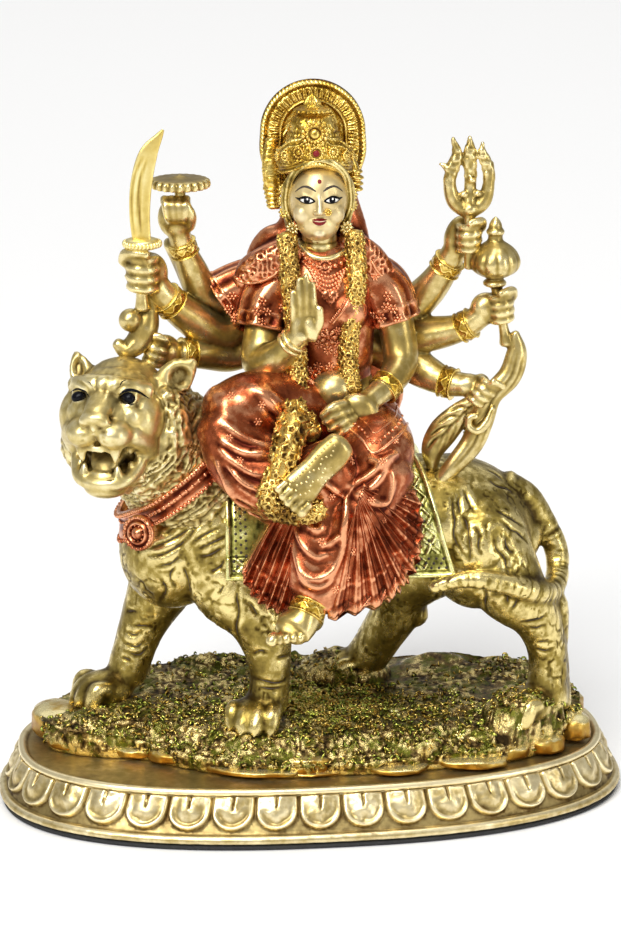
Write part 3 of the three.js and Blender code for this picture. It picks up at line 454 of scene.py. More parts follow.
def paint(name, ridge, body, hollow, roughness, metallic=0.9, relief=0.12, mottling=0.3, size=1.0, tint=None):
    """A metallic paint: pale on ridges, a painted highlight, and dark in hollows, a dark wash together with
    painted shade, by the piece's own recess attribute, mottled by two noises and broken by a fine one. With a
    tint, patches of a second colour lie over it."""
    material = bpy.data.materials.new(name)
    material.use_nodes = True
    nodes, links = material.node_tree.nodes, material.node_tree.links
    shader = nodes["Principled BSDF"]
    shader.inputs["Metallic"].default_value = metallic
    place = nodes.new("ShaderNodeTexCoord")

    def noise(scale, detail, rough=0.6):
        node = nodes.new("ShaderNodeTexNoise")
        node.inputs["Scale"].default_value = scale / size
        node.inputs["Detail"].default_value = detail
        node.inputs["Roughness"].default_value = rough
        links.new(place.outputs["Object"], node.inputs["Vector"])
        return node.outputs["Fac"]

    def spread(value, low, high, out_low, out_high):
        node = nodes.new("ShaderNodeMapRange")
        links.new(value, node.inputs["Value"])
        for socket, number in zip(("From Min", "From Max", "To Min", "To Max"),
                (low, high, out_low, out_high)):
            node.inputs[socket].default_value = number
        return node.outputs["Result"]

    def sum_of(first, second):
        node = nodes.new("ShaderNodeMath")
        node.operation = "ADD"
        links.new(first, node.inputs[0])
        links.new(second, node.inputs[1])
        return node.outputs["Value"]

    broad, middling, fine = noise(110, 3), noise(520, 4), noise(2600, 3, 0.7)
    depth = nodes.new("ShaderNodeAttribute")
    depth.attribute_name = "recess"
    # The recess darkens hollows and pales ridges: dark wash with painted shade, and a painted highlight.
    shade = sum_of(spread(depth.outputs["Fac"], -1, 1, 0.1, 0.9),
        spread(broad, 0.3, 0.7, -mottling, mottling))
    shade = sum_of(shade, spread(middling, 0.3, 0.7, -0.6 * mottling, 0.6 * mottling))
    colours = nodes.new("ShaderNodeValToRGB")
    links.new(shade, colours.inputs["Fac"])
    stops = colours.color_ramp.elements
    stops[0].position, stops[0].color = 0.12, (*ridge, 1)
    stops[1].position, stops[1].color = 0.95, (*hollow, 1)
    middle = stops.new(0.46)
    middle.color = (*body, 1)
    colour = colours.outputs["Color"]
    if tint:
        over = nodes.new("ShaderNodeMix")
        over.data_type = "RGBA"
        links.new(spread(noise(170, 3), 0.47, 0.62, 0, 0.85), over.inputs["Factor"])
        links.new(colour, over.inputs["A"])
        over.inputs["B"].default_value = (*tint, 1)
        colour = over.outputs["Result"]
    links.new(colour, shader.inputs["Base Color"])
    low, high = roughness
    links.new(spread(sum_of(middling, shade), 0.6, 1.5, low, high), shader.inputs["Roughness"])
    bumps = nodes.new("ShaderNodeBump")
    bumps.inputs["Strength"].default_value = 1.0
    bumps.inputs["Distance"].default_value = relief * MM
    links.new(sum_of(middling, spread(fine, 0, 1, 0, 0.4)), bumps.inputs["Height"])
    links.new(bumps.outputs["Normal"], shader.inputs["Normal"])
    return material


def flat_paint(name, colour, roughness, metallic=0.0, speck=0.08, gloss=0.5):
    """An even paint whose brightness and gloss wander a little with fine noise."""
    material = bpy.data.materials.new(name)
    material.use_nodes = True
    nodes, links = material.node_tree.nodes, material.node_tree.links
    shader = nodes["Principled BSDF"]
    place = nodes.new("ShaderNodeTexCoord")
    noise = nodes.new("ShaderNodeTexNoise")
    noise.inputs["Scale"].default_value = 900
    noise.inputs["Detail"].default_value = 3
    links.new(place.outputs["Object"], noise.inputs["Vector"])
    mixed = nodes.new("ShaderNodeMix")
    mixed.data_type = "RGBA"
    links.new(noise.outputs["Fac"], mixed.inputs["Factor"])
    mixed.inputs["A"].default_value = (*(np.array(colour) * (1 - speck)), 1)
    mixed.inputs["B"].default_value = (*np.minimum(np.array(colour) * (1 + speck) + 0.3 * speck, 1), 1)
    links.new(mixed.outputs["Result"], shader.inputs["Base Color"])
    shader.inputs["Roughness"].default_value = roughness
    shader.inputs["Metallic"].default_value = metallic
    shader.inputs["Specular IOR Level"].default_value = gloss
    return material


LIGHT_PIECE = 9000
SHARE_KEPT = 0.45


def thinned(made):
    """A heavy piece loses the triangles that its flatter places can spare, and keeps its recess."""
    made.modifiers.new("thin", "DECIMATE").ratio = SHARE_KEPT
    shown = made.evaluated_get(bpy.context.evaluated_depsgraph_get())
    light = bpy.data.meshes.new_from_object(shown)
    made.modifiers.clear()
    heavy, made.data = made.data, light
    bpy.data.meshes.remove(heavy)
    light.name = made.name


def piece(name, form, material, node, hollow=None, base=FIGURE_ZERO, whole=False):
    """A finished piece in metres that rides on the root, takes the place of a solid and keeps its recess."""
    points, faces = form
    hollow = recess(points, faces) if hollow is None else hollow
    mesh = mesh_of(name, (points + [0, 0, base]) * MM, faces)
    mesh.attributes.new("recess", "FLOAT", "POINT").data.foreach_set("value", hollow.astype(np.float32))
    mesh.materials.append(material)
    made = bpy.data.objects.new(name, mesh)
    bpy.context.collection.objects.link(made)
    if not whole and ((faces >= 0).sum(1) - 2).sum() > LIGHT_PIECE:
        thinned(made)
    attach(made, "root")
    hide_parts(node)
    return made


def figure_piece(name, form, material, hollow=None, whole=False):
    """A piece of the figure's own solid."""
    return piece(name, form, material, "durga_on_lion", hollow, whole=whole)


BRONZE = paint("bronze paint", (0.85, 0.69, 0.29), (0.34, 0.25, 0.056), (0.07, 0.042, 0.006), (0.22, 0.42))
SKIN = paint("skin bronze", (0.9, 0.75, 0.37), (0.46, 0.335, 0.1), (0.08, 0.05, 0.008), (0.26, 0.4),
    relief=0.02, mottling=0.18)
COPPER = paint("copper paint", (0.85, 0.38, 0.19), (0.37, 0.09, 0.03), (0.06, 0.006, 0.001), (0.2, 0.36),
    relief=0.06)
GOLD = paint("bright gold", (0.94, 0.7, 0.2), (0.5, 0.3, 0.032), (0.1, 0.04, 0.004), (0.2, 0.36), relief=0.06)
PLINTH_GOLD = paint("plinth gold", (0.95, 0.82, 0.5), (0.5, 0.38, 0.15), (0.09, 0.05, 0.012), (0.32, 0.46),
    relief=0.03, mottling=0.16)
LIME_GOLD = paint("green gold", (1.0, 0.96, 0.44), (0.5, 0.47, 0.11), (0.05, 0.045, 0.005), (0.22, 0.4),
    mottling=0.45)
BLADE_GOLD = paint("blade gold", (1.0, 0.86, 0.4), (0.74, 0.56, 0.16), (0.2, 0.1, 0.01), (0.3, 0.42),
    relief=0.03, mottling=0.12)
MOSS_GOLD = paint("moss gold", (0.9, 0.68, 0.2), (0.42, 0.26, 0.04), (0.05, 0.025, 0.003), (0.22, 0.4),
    mottling=0.5, tint=(0.2, 0.2, 0.03))
GARLAND_GOLD = paint("garland gold", (0.8, 0.55, 0.15), (0.25, 0.13, 0.02), (0.04, 0.016, 0.003),
    (0.24, 0.42), mottling=0.5)
FACE_GOLD = paint("face gold", (0.96, 0.86, 0.6), (0.72, 0.56, 0.27), (0.1, 0.055, 0.014), (0.34, 0.44), 0.78,
    relief=0.0, mottling=0.08)
LION_GOLD = paint("lion head gold", (0.95, 0.83, 0.48), (0.62, 0.49, 0.19), (0.1, 0.06, 0.012), (0.3, 0.44),
    relief=0.05, mottling=0.2)
MOSS = paint("mossy ground", (0.9, 0.72, 0.3), (0.22, 0.14, 0.045), (0.025, 0.014, 0.003), (0.2, 0.4),
    relief=0.4, mottling=0.5, size=0.6, tint=(0.13, 0.14, 0.012))
MOSS_GREEN = paint("green moss", (0.72, 0.74, 0.14), (0.2, 0.24, 0.03), (0.02, 0.03, 0.002), (0.22, 0.42),
    0.8)
STONE = paint("stone gold", (0.9, 0.78, 0.4), (0.56, 0.36, 0.07), (0.32, 0.14, 0.012), (0.26, 0.42), 0.85)
FELT = flat_paint("black felt", (0.012, 0.012, 0.012), 0.95)
# On the hide's creases this dark is dark wash with painted shade; on brows and cloth pattern it is paint.
DARK = flat_paint("dark wash", (0.035, 0.02, 0.01), 0.5)
EYE_DARK = flat_paint("eye black", (0.003, 0.003, 0.005), 0.25, speck=0.0, gloss=0.12)
EYE_WHITE = flat_paint("eye white", (0.8, 0.78, 0.72), 0.35, speck=0.02)
RED = flat_paint("lip red", (0.2, 0.008, 0.01), 0.35, speck=0.03, gloss=0.2)


# Camera and light

def set_up_camera():
    """A long lens, a little above the figure and a few degrees to its right, as in the photograph."""
    data = bpy.data.cameras.new("camera")
    data.sensor_width = 36
    data.lens = FOCAL_PIXELS / IMAGE_HEIGHT * data.sensor_width
    data.clip_end = 20
    camera = bpy.data.objects.new("camera", data)
    bpy.context.collection.objects.link(camera)
    camera.location = CAMERA_PLACE * MM
    camera.rotation_euler = Vector(CAMERA_AIM - CAMERA_PLACE).to_track_quat("-Z", "Y").to_euler()
    bpy.context.scene.camera = camera


def softbox(name, place, width, height, power, aim=(0, 0, 0.09)):
    """A soft rectangular light that looks at the figure."""
    data = bpy.data.lights.new(name, "AREA")
    data.shape = "RECTANGLE"
    data.size, data.size_y, data.energy = width, height, power
    light = bpy.data.objects.new(name, data)
    bpy.context.collection.objects.link(light)
    light.location = place
    light.rotation_euler = (Vector(aim) - Vector(place)).to_track_quat("-Z", "Y").to_euler()


def light_the_scene():
    """A pale room with a broad soft sun, a large light from the left front, a tall one from the right, one
    from above and one that keeps the floor behind the figure white."""
    world = bpy.data.worlds.new("pale room")
    world.use_nodes = True
    world.node_tree.nodes["Background"].inputs["Color"].default_value = (1, 0.99, 0.97, 1)
    world.node_tree.nodes["Background"].inputs["Strength"].default_value = 0.36
    bpy.context.scene.world = world
    data = bpy.data.lights.new("sun", "SUN")
    data.energy, data.angle = 2.2, np.radians(30)
    sun = bpy.data.objects.new("sun", data)
    bpy.context.collection.objects.link(sun)
    sun.rotation_euler = np.radians([38, -14, 0])
    softbox("key", (-0.5, -0.7, 0.6), 0.22, 0.4, 3.0)
    softbox("fill", (0.75, -0.6, 0.3), 0.16, 0.6, 1.6)
    softbox("top", (0.1, -0.1, 1.1), 0.5, 0.3, 1.6)
    softbox("backdrop", (0.0, 1.3, 1.5), 2.0, 1.2, 5.0, (0.0, 1.0, 0.0))
    bpy.context.scene.view_settings.view_transform = "Standard"


def lay_floor():
    """A wide plain floor, a little below the felt so that the two faces don't meet."""
    side = 6.0
    u, v = np.meshgrid(np.linspace(-side, side, 25), np.linspace(-side, side, 25))
    points = np.stack([u, v, np.full_like(u, FELT_LOW.z - 0.0002)], -1).reshape(-1, 3)
    floor = bpy.data.objects.new("floor", mesh_of("floor", points, grid_faces(25, 25)))
    floor.data.materials.append(flat_paint("pale floor", (0.92, 0.92, 0.92), 0.6, speck=0.01))
    bpy.context.collection.objects.link(floor)


# Plinth

HALF_LENGTH, HALF_WIDTH = 80.0, 46.0
SQUARENESS = 2.4
PLINTH_TURN = 4.0
PLINTH_FOOT = PLINTH_LOW.z / MM
PETAL_COUNT = 36
PETAL_START = 0.75
PETAL_HALF = 4.98
BAND_FOOT = np.array([2.2, PLINTH_FOOT + 2.2])
BAND_TOP = np.array([6.4, PLINTH_FOOT + 10.1])


def on_plinth(across, deep):
    """A place of the plinth's own plan, turned with the plinth."""
    c, s = np.cos(np.radians(PLINTH_TURN)), np.sin(np.radians(PLINTH_TURN))
    return across * c - deep * s, across * s + deep * c


def plinth_place(inset, turn):
    """A place of the plinth's outline, drawn in by an inset: a superellipse, where the cosine and the sine
    are raised to 2 over the squareness."""
    squared = lambda value: np.sign(value) * np.abs(value) ** (2 / SQUARENESS)
    return on_plinth((HALF_LENGTH - inset) * squared(np.cos(turn)),
        (HALF_WIDTH - inset) * squared(np.sin(turn)))


def outline_turns(inset, shares):
    """The angles at which given shares of the outline's length have been travelled, and that length."""
    turn = np.linspace(0, 2 * np.pi, 20001)
    x, y = plinth_place(inset, turn)
    travelled = np.concatenate([[0], np.cumsum(np.hypot(np.diff(x), np.diff(y)))])
    return np.interp(shares * travelled[-1], travelled, turn), travelled[-1]


def petal_relief(across, down, length, seed):
    """How far a petal stands out. Inside a tongue with a round lower end, the edge distance is the radius
    less the distance from its middle line or from its round's middle. The rim rises as a quarter circle,
    curls out at the bottom, and the petal sinks behind it, swells above and has a nick from its top."""
    radius = PETAL_HALF
    tip = length - 0.75
    round_part = np.hypot(across, np.maximum(down - (tip - 0.94 * radius), 0) / 0.94)
    edge = radius - round_part
    low = ease(down, 0.22 * length, 0.6 * length)
    rise = 1.2 * np.sqrt(np.clip(1 - np.square(1 - np.clip(edge / 0.75, 0, 1)), 0, 1))
    curl = 0.3 * low * bump(edge - 0.6, 0.6)
    curl = curl - (0.42 + 0.16 * np.sin(seed * 5.3)) * low * bump(edge - 1.8, 1.0)
    swell = 0.55 * ease(edge, 0.8, 4.6)
    hollow = -0.32 * bump(down - 0.6 * length, 0.9) * bump(across - 1.2 * np.sin(seed * 7.1), 1.3)
    reach = (0.4 + 0.05 * np.sin(seed * 3.7)) * length
    narrow = 0.62 - 0.4 * np.clip(down / reach, 0, 1)
    nick = -0.8 * np.clip(1 - np.abs(across - 0.1 * np.sin(seed * 3)) / narrow, 0, 1)
    nick = nick * (1 - ease(down, 0.6 * reach, reach))
    spots = np.stack(np.broadcast_arrays(across, down, seed * 11.0), -1)
    lump = 0.14 * grain(spots, 1.5, 3) + 0.05 * grain(spots, 0.6, 9)
    return rise + (curl + swell + hollow + nick) * ease(edge, 0.1, 0.7) + lump * ease(edge, 0.4, 1.6)


def plinth_form():
    """Level rings up a profile of [inset, height]; on the sloping band each point stands out by its petal's
    relief, measured along the outline and down the slope. The columns lie closest at the gaps and nicks.
    Beside the form it returns painted light and shade for each point."""
    around = 34
    steps = PETAL_COUNT * around
    share = (np.arange(around) / around)[None]
    share = share - 0.03 * np.sin(2 * np.pi * share) - 0.04 * np.sin(4 * np.pi * share)
    number = np.repeat(np.arange(PETAL_COUNT), around)
    place = (np.arange(PETAL_COUNT)[:, None] + share - 0.5 + PETAL_START).ravel() / PETAL_COUNT
    turn, outline = outline_turns(BAND_TOP[0], place)
    across = (share - 0.5).ravel().reshape(1, -1) * outline / PETAL_COUNT
    across = np.tile(across, PETAL_COUNT)
    foot = [[24, 0], [0.9, 0], [0.35, 0.25], [0.12, 0.7], [0.1, 1.1], [0.3, 1.6], [0.6, 1.95], [1.0, 2.1],
        [1.5, 2.0], [1.9, 2.0]]
    top = [[6.55, 10.3], [6.2, 10.35], [6.0, 10.5], [6.1, 10.68], [6.3, 10.72], [5.75, 10.85], [5.35, 11.1],
        [5.2, 11.45], [5.3, 11.9], [5.55, 12.25], [5.95, 12.48], [6.4, 12.49], [6.85, 12.3], [7.15, 11.95],
        [7.35, 11.55], [8.0, 11.46], [16, 11.45], [30, 11.45]]
    rise = np.linspace(0, 1, 34)[:, None]
    band = BAND_FOOT + rise * (BAND_TOP - BAND_FOOT)
    profile = np.vstack([np.array(foot) + [0, PLINTH_FOOT], band, np.array(top) + [0, PLINTH_FOOT]])
    inset = np.repeat(profile[:, :1], steps, 1)
    height = np.repeat(profile[:, 1:], steps, 1)
    length = np.linalg.norm(BAND_TOP - BAND_FOOT)
    down = (1 - rise) * length
    relief = petal_relief(across, down, length, number[None])
    out = np.array([BAND_TOP[1] - BAND_FOOT[1], BAND_TOP[0] - BAND_FOOT[0]]) / length
    rows = slice(len(foot), len(foot) + len(rise))
    inset[rows] -= relief * out[0]
    height[rows] += relief * out[1]
    x, y = plinth_place(inset, turn)
    points = np.stack([x, y, height], -1)
    worn = 0.16 * ease(inset, 3, 1) * grain(points, 2.6, 8) + 0.05 * grain(points, 1.1, 9)
    away = unit(points * [1, 1, 0])
    points = points - away * np.where(inset < 12, np.abs(worn), 0)[..., None]
    low, high = np.array(PLINTH_LOW[:2]) / MM, np.array(PLINTH_HIGH[:2]) / MM
    points[..., :2] = np.clip(points[..., :2], low, high)
    # Painted light and shade, added to the recess: raised petals paler than the band, painted shade in the
    # gaps between the petals' upper halves, in the nicks and just under the lip, the foot paler on top and
    # darker below, and the lip paler towards its top with a painted shadow line in the groove under its bead.
    dark = np.zeros_like(height)
    gap = ease(np.abs(across), PETAL_HALF - 0.25, PETAL_HALF + 0.1)
    dark[rows] = 0.4 - 0.8 * ease(relief, 0.3, 1.1) + 1.3 * gap * (1 - ease(down, 4.6, 6.6))
    dark[rows] += 1.2 * bump(across, 0.4) * (1 - ease(down, 2.4, 3.6)) + 0.6 * (1 - ease(down, 0.1, 0.5))
    dark[: len(foot)] = 0.5 - 1.0 * ease(height[: len(foot)], PLINTH_FOOT + 1.3, PLINTH_FOOT + 1.9)
    rim = height[rows.stop:] - PLINTH_FOOT
    dark[rows.stop:] = -0.28 - 0.3 * ease(rim, 11.3, 12.0) + 0.6 * bump(rim - 10.7, 0.14)
    form = closed(points)
    return form, np.concatenate([dark.ravel(), [0.3, 0.3]])


def felt_form():
    """A thin sole with a rounded edge, level above and below."""
    turn = outline_turns(0.8, np.arange(360) / 360)[0]
    inset = np.array([30, 1.6, 1.0, 0.82, 0.82, 1.0, 1.6, 30])[:, None]
    height = np.array([0, 0, 0.15, 0.4, 0.8, 1.05, 1.2, 1.2])[:, None] + 0 * turn[None]
    return closed(np.stack([*plinth_place(inset, turn), height], -1))


def make_plinth():
    """The plinth and its felt."""
    form, dark = plinth_form()
    # The plinth's recess together with its painted light and shade.
    hollow = np.clip(recess(*form, passes=5, depth=0.2) + dark, -1, 1)
    piece("lotus_plinth", form, PLINTH_GOLD, "plinth", hollow, base=0)
    piece("felt_sole", felt_form(), FELT, "felt_pad", base=0)


# Ground

GROUND_RIM = [
    [70.2, 2], [65, 16], [52, 26.8], [34, 32.4], [12, 35], [-10, 35], [-32, 33], [-50, 27.4], [-63, 17],
    [-69.6, 5], [-68.6, -3.4], [-60.4, -9.6], [-46, -13.8], [-36, -21.4], [-25, -28.2], [-13, -31.4],
    [2, -32], [18, -31.4], [32, -30], [45, -28.4], [59, -21.6], [68, -11.6],
]
GROUND_EDGE, GROUND_END, GROUND_BACK, GROUND_HEIGHT = 2.8, 7.2, 8.4, 8.5
MOUNDS = (
    (53, -15, 10.0, 10.5, 8.5, 5.6, 30), (10, 19, 9.6, 12, 8, 4.4, 0), (-24.5, 30, 7.0, 6, 3.4, 3.4, 0),
    (-31, 29.5, 6.0, 5, 3, 2.4, 0), (35.5, 29, 6.0, 8, 3.4, 3.6, -8), (46, 26, 5.0, 6, 3, 2.4, -20),
    (17.5, 31, 4.6, 7, 3, 2.6, 0), (24, -22, 5.0, 9, 7, 4.4, 0),
)
STONES = (
    (-61.5, -7.4, 5.6, 4.4, 2.4, -12), (-37.0, -18.4, 5.0, 4.0, 2.6, -34),
    (-16.5, -27.2, 13.4, 5.2, 1.4, -14), (-18, -24.6, 9.0, 4.8, 3.8, -16), (-2.8, -27.0, 7.8, 4.8, 4.3, -4),
    (-0.5, -29.0, 6.4, 3.0, 0.2, 0), (19.8, -28.0, 8.4, 4.6, 1.3, -2), (39.5, -25.8, 8.4, 4.4, 1.9, 4),
    (49.6, -19.8, 4.8, 4.0, 3.0, 14), (59, -16.2, 5.2, 4.0, 3.4, 24), (66.4, -6.4, 4.6, 6.4, 6.2, 24),
    (-65.4, 2.0, 6.6, 8.4, 7.6, 0), (-45, -14.2, 5.0, 3.6, 2.0, -14), (66.8, 7, 4.6, 7.6, 6.0, -14),
)
WALL = (0.0, 0.14, 0.28, 0.42, 0.56, 0.7, 0.84, 0.94)


def ground_form():
    """Rings from the rim to the middle. The bank rises by an ease from the height of the rim, low in front
    and high behind, to that of the paws. Mounds are half ellipsoids merged into it by the logarithm of a sum
    of exponentials, and noise of three sizes makes the moss."""
    rim_x, rim_y = looped(np.column_stack(on_plinth(*np.array(GROUND_RIM).T)), 640).T
    low = 0.972 + 0.028 * np.array(WALL)
    share = np.concatenate([low, np.linspace(1, 0.84, 26), np.linspace(0.83, 0.02, 60)])[:, None]
    ragged = np.stack([rim_x, rim_y, 0 * rim_x], -1)
    inward = 1 - 0.02 * np.abs(grain(ragged, 5.5, 14)) - 0.012 * np.abs(grain(ragged, 2.2, 15))
    x, y = share * inward * rim_x, share * inward * rim_y
    turn = np.arctan2(y / HALF_WIDTH, x / HALF_LENGTH)
    front = GROUND_EDGE + (GROUND_END - GROUND_EDGE) * np.cos(turn) ** 4
    edge = front + (GROUND_BACK - front) * ease(np.sin(turn), -0.1, 0.5)
    z = edge + (GROUND_HEIGHT - edge) * ease(1 - share, 0, 0.16)
    flat = np.stack([x, y, 0 * z], -1)
    z = z + share * 0.6 * grain(flat, 12, 16)
    for px, py, pz, rx, ry, rz, lean in MOUNDS:
        c, s = np.cos(np.radians(lean)), np.sin(np.radians(lean))
        along, aside = (x - px) * c + (y - py) * s, (y - py) * c - (x - px) * s
        top = pz + rz * np.sqrt(np.clip(1 - np.square(along / rx) - np.square(aside / ry), 0, 1))
        inside = np.square(along / rx) + np.square(aside / ry) < 1
        z = np.where(inside, 0.8 * np.logaddexp(z / 0.8, top / 0.8), z)
    z = z + 1.5 * ease(y, 16, 27) * ease(grain(flat, 6, 12), -0.5, 0.5) - 0.4
    z = z - 1.6 * ease(x, -55, -60) * ease(y, -6, -3)
    wall = len(WALL)
    z[:wall] = UNDERSIDE + np.array(WALL)[:, None] * (z[wall] - UNDERSIDE)
    points, faces = closed(np.stack([x, y, z], -1))
    moss = ease(grain(points * [1, 1, 0], 15, 4) + 0.9 * ease(-points[:, 1], -2, 8), -0.3, 0.2)
    rough = 0.6 * grain(points, 4.2, 5) + 0.6 * np.abs(grain(points, 2.1, 6))
    rough = rough + 0.8 * np.abs(grain(points, 1.2, 7))
    lift = ease(points[:, 2], UNDERSIDE, 1.0) * (moss * rough + 0.2 * grain(points, 2.5, 17))
    points = points + outlook(points, faces) * (lift - 0.35 * ease(points[:, 2], UNDERSIDE, 1.0))[:, None]
    points[:, 2] = np.maximum(points[:, 2], UNDERSIDE)
    return points, faces


def curl_form(length, width):
    """A curl of moss: rings of three points along three quarters of a circle that rises out of the ground."""
    turn = np.linspace(-0.4, 3.6, 6)[:, None]
    half = np.array([0.5, 0.9, 1.0, 0.9, 0.7, 0.2])[:, None] * width
    spin = angles(3)[None]
    reach = length / 2 + half * np.cos(spin)
    return closed(np.stack([-reach * np.cos(turn), half * np.sin(spin) + 0.2 * width * turn,
        reach * np.sin(turn)], -1))


def blossom_form(petals, radius, sides=5):
    """A flower: a low dome in the middle and petals round it, each a small leaning ellipsoid."""
    turns = angles(petals)
    forms = [blob((0, 0, 0.16 * radius), np.array([0.3, 0.3, 0.24]) * radius, sides=6, rows=4)]
    size = np.array([0.42, 1.5 / petals + 0.05, 0.17]) * radius
    forms += [blob((0.6 * radius * np.cos(t), 0.6 * radius * np.sin(t), 0.12 * radius), size,
        (0, 0, np.degrees(t)), sides, 4) for t in turns]
    return joined(forms)


PAW_PLACES = np.array([[-14.2, -18.5], [-52.5, 6.5]])


def scatter_growth(form, facing, draws):
    """Curls of moss at seeded places of the ground, leaning every way, none of them on a paw."""
    points, _ = form
    top = (points[:, 2] > 0.6) & (facing[:, 2] > -0.3)
    from_paws = np.linalg.norm(points[:, None, :2] - PAW_PLACES[None], axis=2).min(1)
    mossy = (grain(points * [1, 1, 0], 15, 4) + 0.9 * ease(-points[:, 1], -2, 8)) > -0.2
    steep = np.linalg.norm(points[:, :2], axis=1) > 20
    on_ledge = (points[:, 0] < -58.5) & (points[:, 1] > -5)
    ground = np.flatnonzero(top & (from_paws > 8.5) & mossy & ~on_ledge)
    weight = np.where(points[ground, 1] < 4, 1.0, 0.4) * np.where(steep[ground], 0.6, 1.0)
    for name, material, count, curl, size in (
            ("moss_gold", MOSS_GOLD, 2600, curl_form(1.0, 0.24), (0.8, 1.5)),
            ("moss_green", MOSS_GREEN, 1300, curl_form(1.0, 0.26), (0.8, 1.5)),
    ):
        spots = draws.choice(ground, count, replace=False, p=weight / weight.sum())
        tilt = draws.normal(0, 0.45, (count, 3))
        leaves = set_out(curl, points[spots], facing[spots] + tilt, draws.uniform(*size, count),
            draws.uniform(0, 6.28, count))
        height = np.tile(curl[0][:, 2] / curl[0][:, 2].max(), count)
        # Each curl is darker at its foot and paler at its tip: painted shade near the ground and a painted
        # highlight, with random tone on top.
        figure_piece(name, leaves, material, 0.6 - 1.5 * height + 0.5 * draws.uniform(-1, 1, len(height)))


def stone_form(x, y, long, deep, high, turn, seed):
    """A slab: a ball whose height is raised to a small power, so that its top is flat, made uneven by noise
    and set down on the underside of the ground."""
    ball = blob((0, 0, 0), (1, 1, 1), sides=40, rows=26)
    spots = ball[0]
    rough = 1.04 + 0.14 * grain(spots + seed, 0.9, 21) - 0.16 * np.abs(grain(spots + seed, 0.55, 22))
    level = np.sign(spots[:, 2]) * np.abs(spots[:, 2]) ** 0.55
    middle, half = (high + UNDERSIDE) / 2, (high - UNDERSIDE) / 2
    shaped = np.column_stack([spots[:, 0] * rough * long, spots[:, 1] * rough * deep,
        level * half * (0.7 + 0.3 * rough)])
    shaped = shaped @ leant((0, 0, turn)).T + [x, y, middle]
    shaped[:, 2] = np.maximum(shaped[:, 2], UNDERSIDE + 0.02)
    return shaped, ball[1]


def make_ground():
    """The rocky, mossy ground with its stones and flowers."""
    form = ground_form()
    facing = outlook(*form)
    figure_piece("mossy_ground", form, MOSS, recess(*form, passes=5, depth=0.14))
    scatter_growth(form, facing, np.random.default_rng(11))
    points, faces = joined([stone_form(*stone, seed) for seed, stone in enumerate(STONES)])
    facing = outlook(points, faces)
    # Stones are paler on their tops and darker down their sides: painted light from above.
    figure_piece("flat_stones", (points, faces), STONE, np.clip(0.75 - 1.7 * facing[:, 2], -1, 1))
    tree = tree_of(form)
    spots, normals = met(tree, ((394, 715), (452, 692), (460, 735), (480, 712), (120, 735), (520, 727)))
    daisies = set_out(blossom_form(6, 1.9), spots, normals + [0, -0.8, 0.2], [1.0, 0.8, 0.8, 0.6, 0.7, 0.6])
    figure_piece("ground_flowers", daisies, LIME_GOLD)


# Lion

LION_BARREL = [[-40, -1, 50, 12, 12], [-31, -1, 54, 18, 17], [-16, 0, 57, 17.5, 19], [4, 0, 57.5, 16, 19.5],
    [24, 0, 57.5, 15, 19.5], [38, 0, 56, 15.6, 18.5], [48, 0, 52.5, 12.5, 15], [54, 0, 50, 7, 8]]
LION_TAIL = [[50, 0, 62, 6.5], [54.4, 0, 61, 4.2], [58.9, 1, 55, 3.3], [62.3, 0.4, 48, 3.1],
    [62.6, -2.4, 42.8, 3], [60.4, -9.5, 39.9, 3], [55.4, -18.2, 42.2, 2.9], [47.5, -22.8, 45.6, 2.7],
    [37.1, -24.2, 47.5, 2.3], [29, -22.8, 45.2, 1.8]]
NECK = [[-22, 0, 60, 17, 15], [-31, -5, 71, 16.4, 15.5], [-38.6, -12, 81, 14.6, 14.6],
    [-43, -17, 87, 12.6, 13]]

HEAD_CENTRE = np.array([-48.0, -20.0, 91.0])
HEAD_TURN = -19
COLLAR_HALF = 2.9
FUR_CELL = 0.62

FACE_CELL = 0.4


def paw(place, heading, size):
    """A broad pad and four toes, each a short limb that arches forward and down to a claw."""
    turn = np.radians(heading)
    ahead, aside = np.array([np.cos(turn), np.sin(turn), 0]), np.array([-np.sin(turn), np.cos(turn), 0])
    forms = [blob(place, (size, size * 0.84, size * 0.62), (0, 0, heading))]
    for toe in (-1.5, -0.5, 0.5, 1.5):
        reach = 0.98 - 0.1 * toe * toe
        spots = [(0.1, 0.2, 0.24), (0.5, 0.22, 0.3), (reach - 0.12, -0.12, 0.3), (reach, -0.36, 0.24)]
        path = [np.array(place) + ahead * a * size + aside * toe * 0.46 * size + [0, 0, b * size]
            for a, b, _ in spots]
        forms.append(limb([[*p, c * size * 0.92, c * size] for p, (_, _, c) in zip(path, spots)],
            14, across=(0, 0, 1)))
        tip = path[-1] + ahead * 0.2 * size
        forms.append(limb([[*(tip + [0, 0, -0.04 * size]), 0.07 * size],
            [*(tip + ahead * 0.14 * size + [0, 0, -0.16 * size]), 0.03 * size]], 8))
    return forms


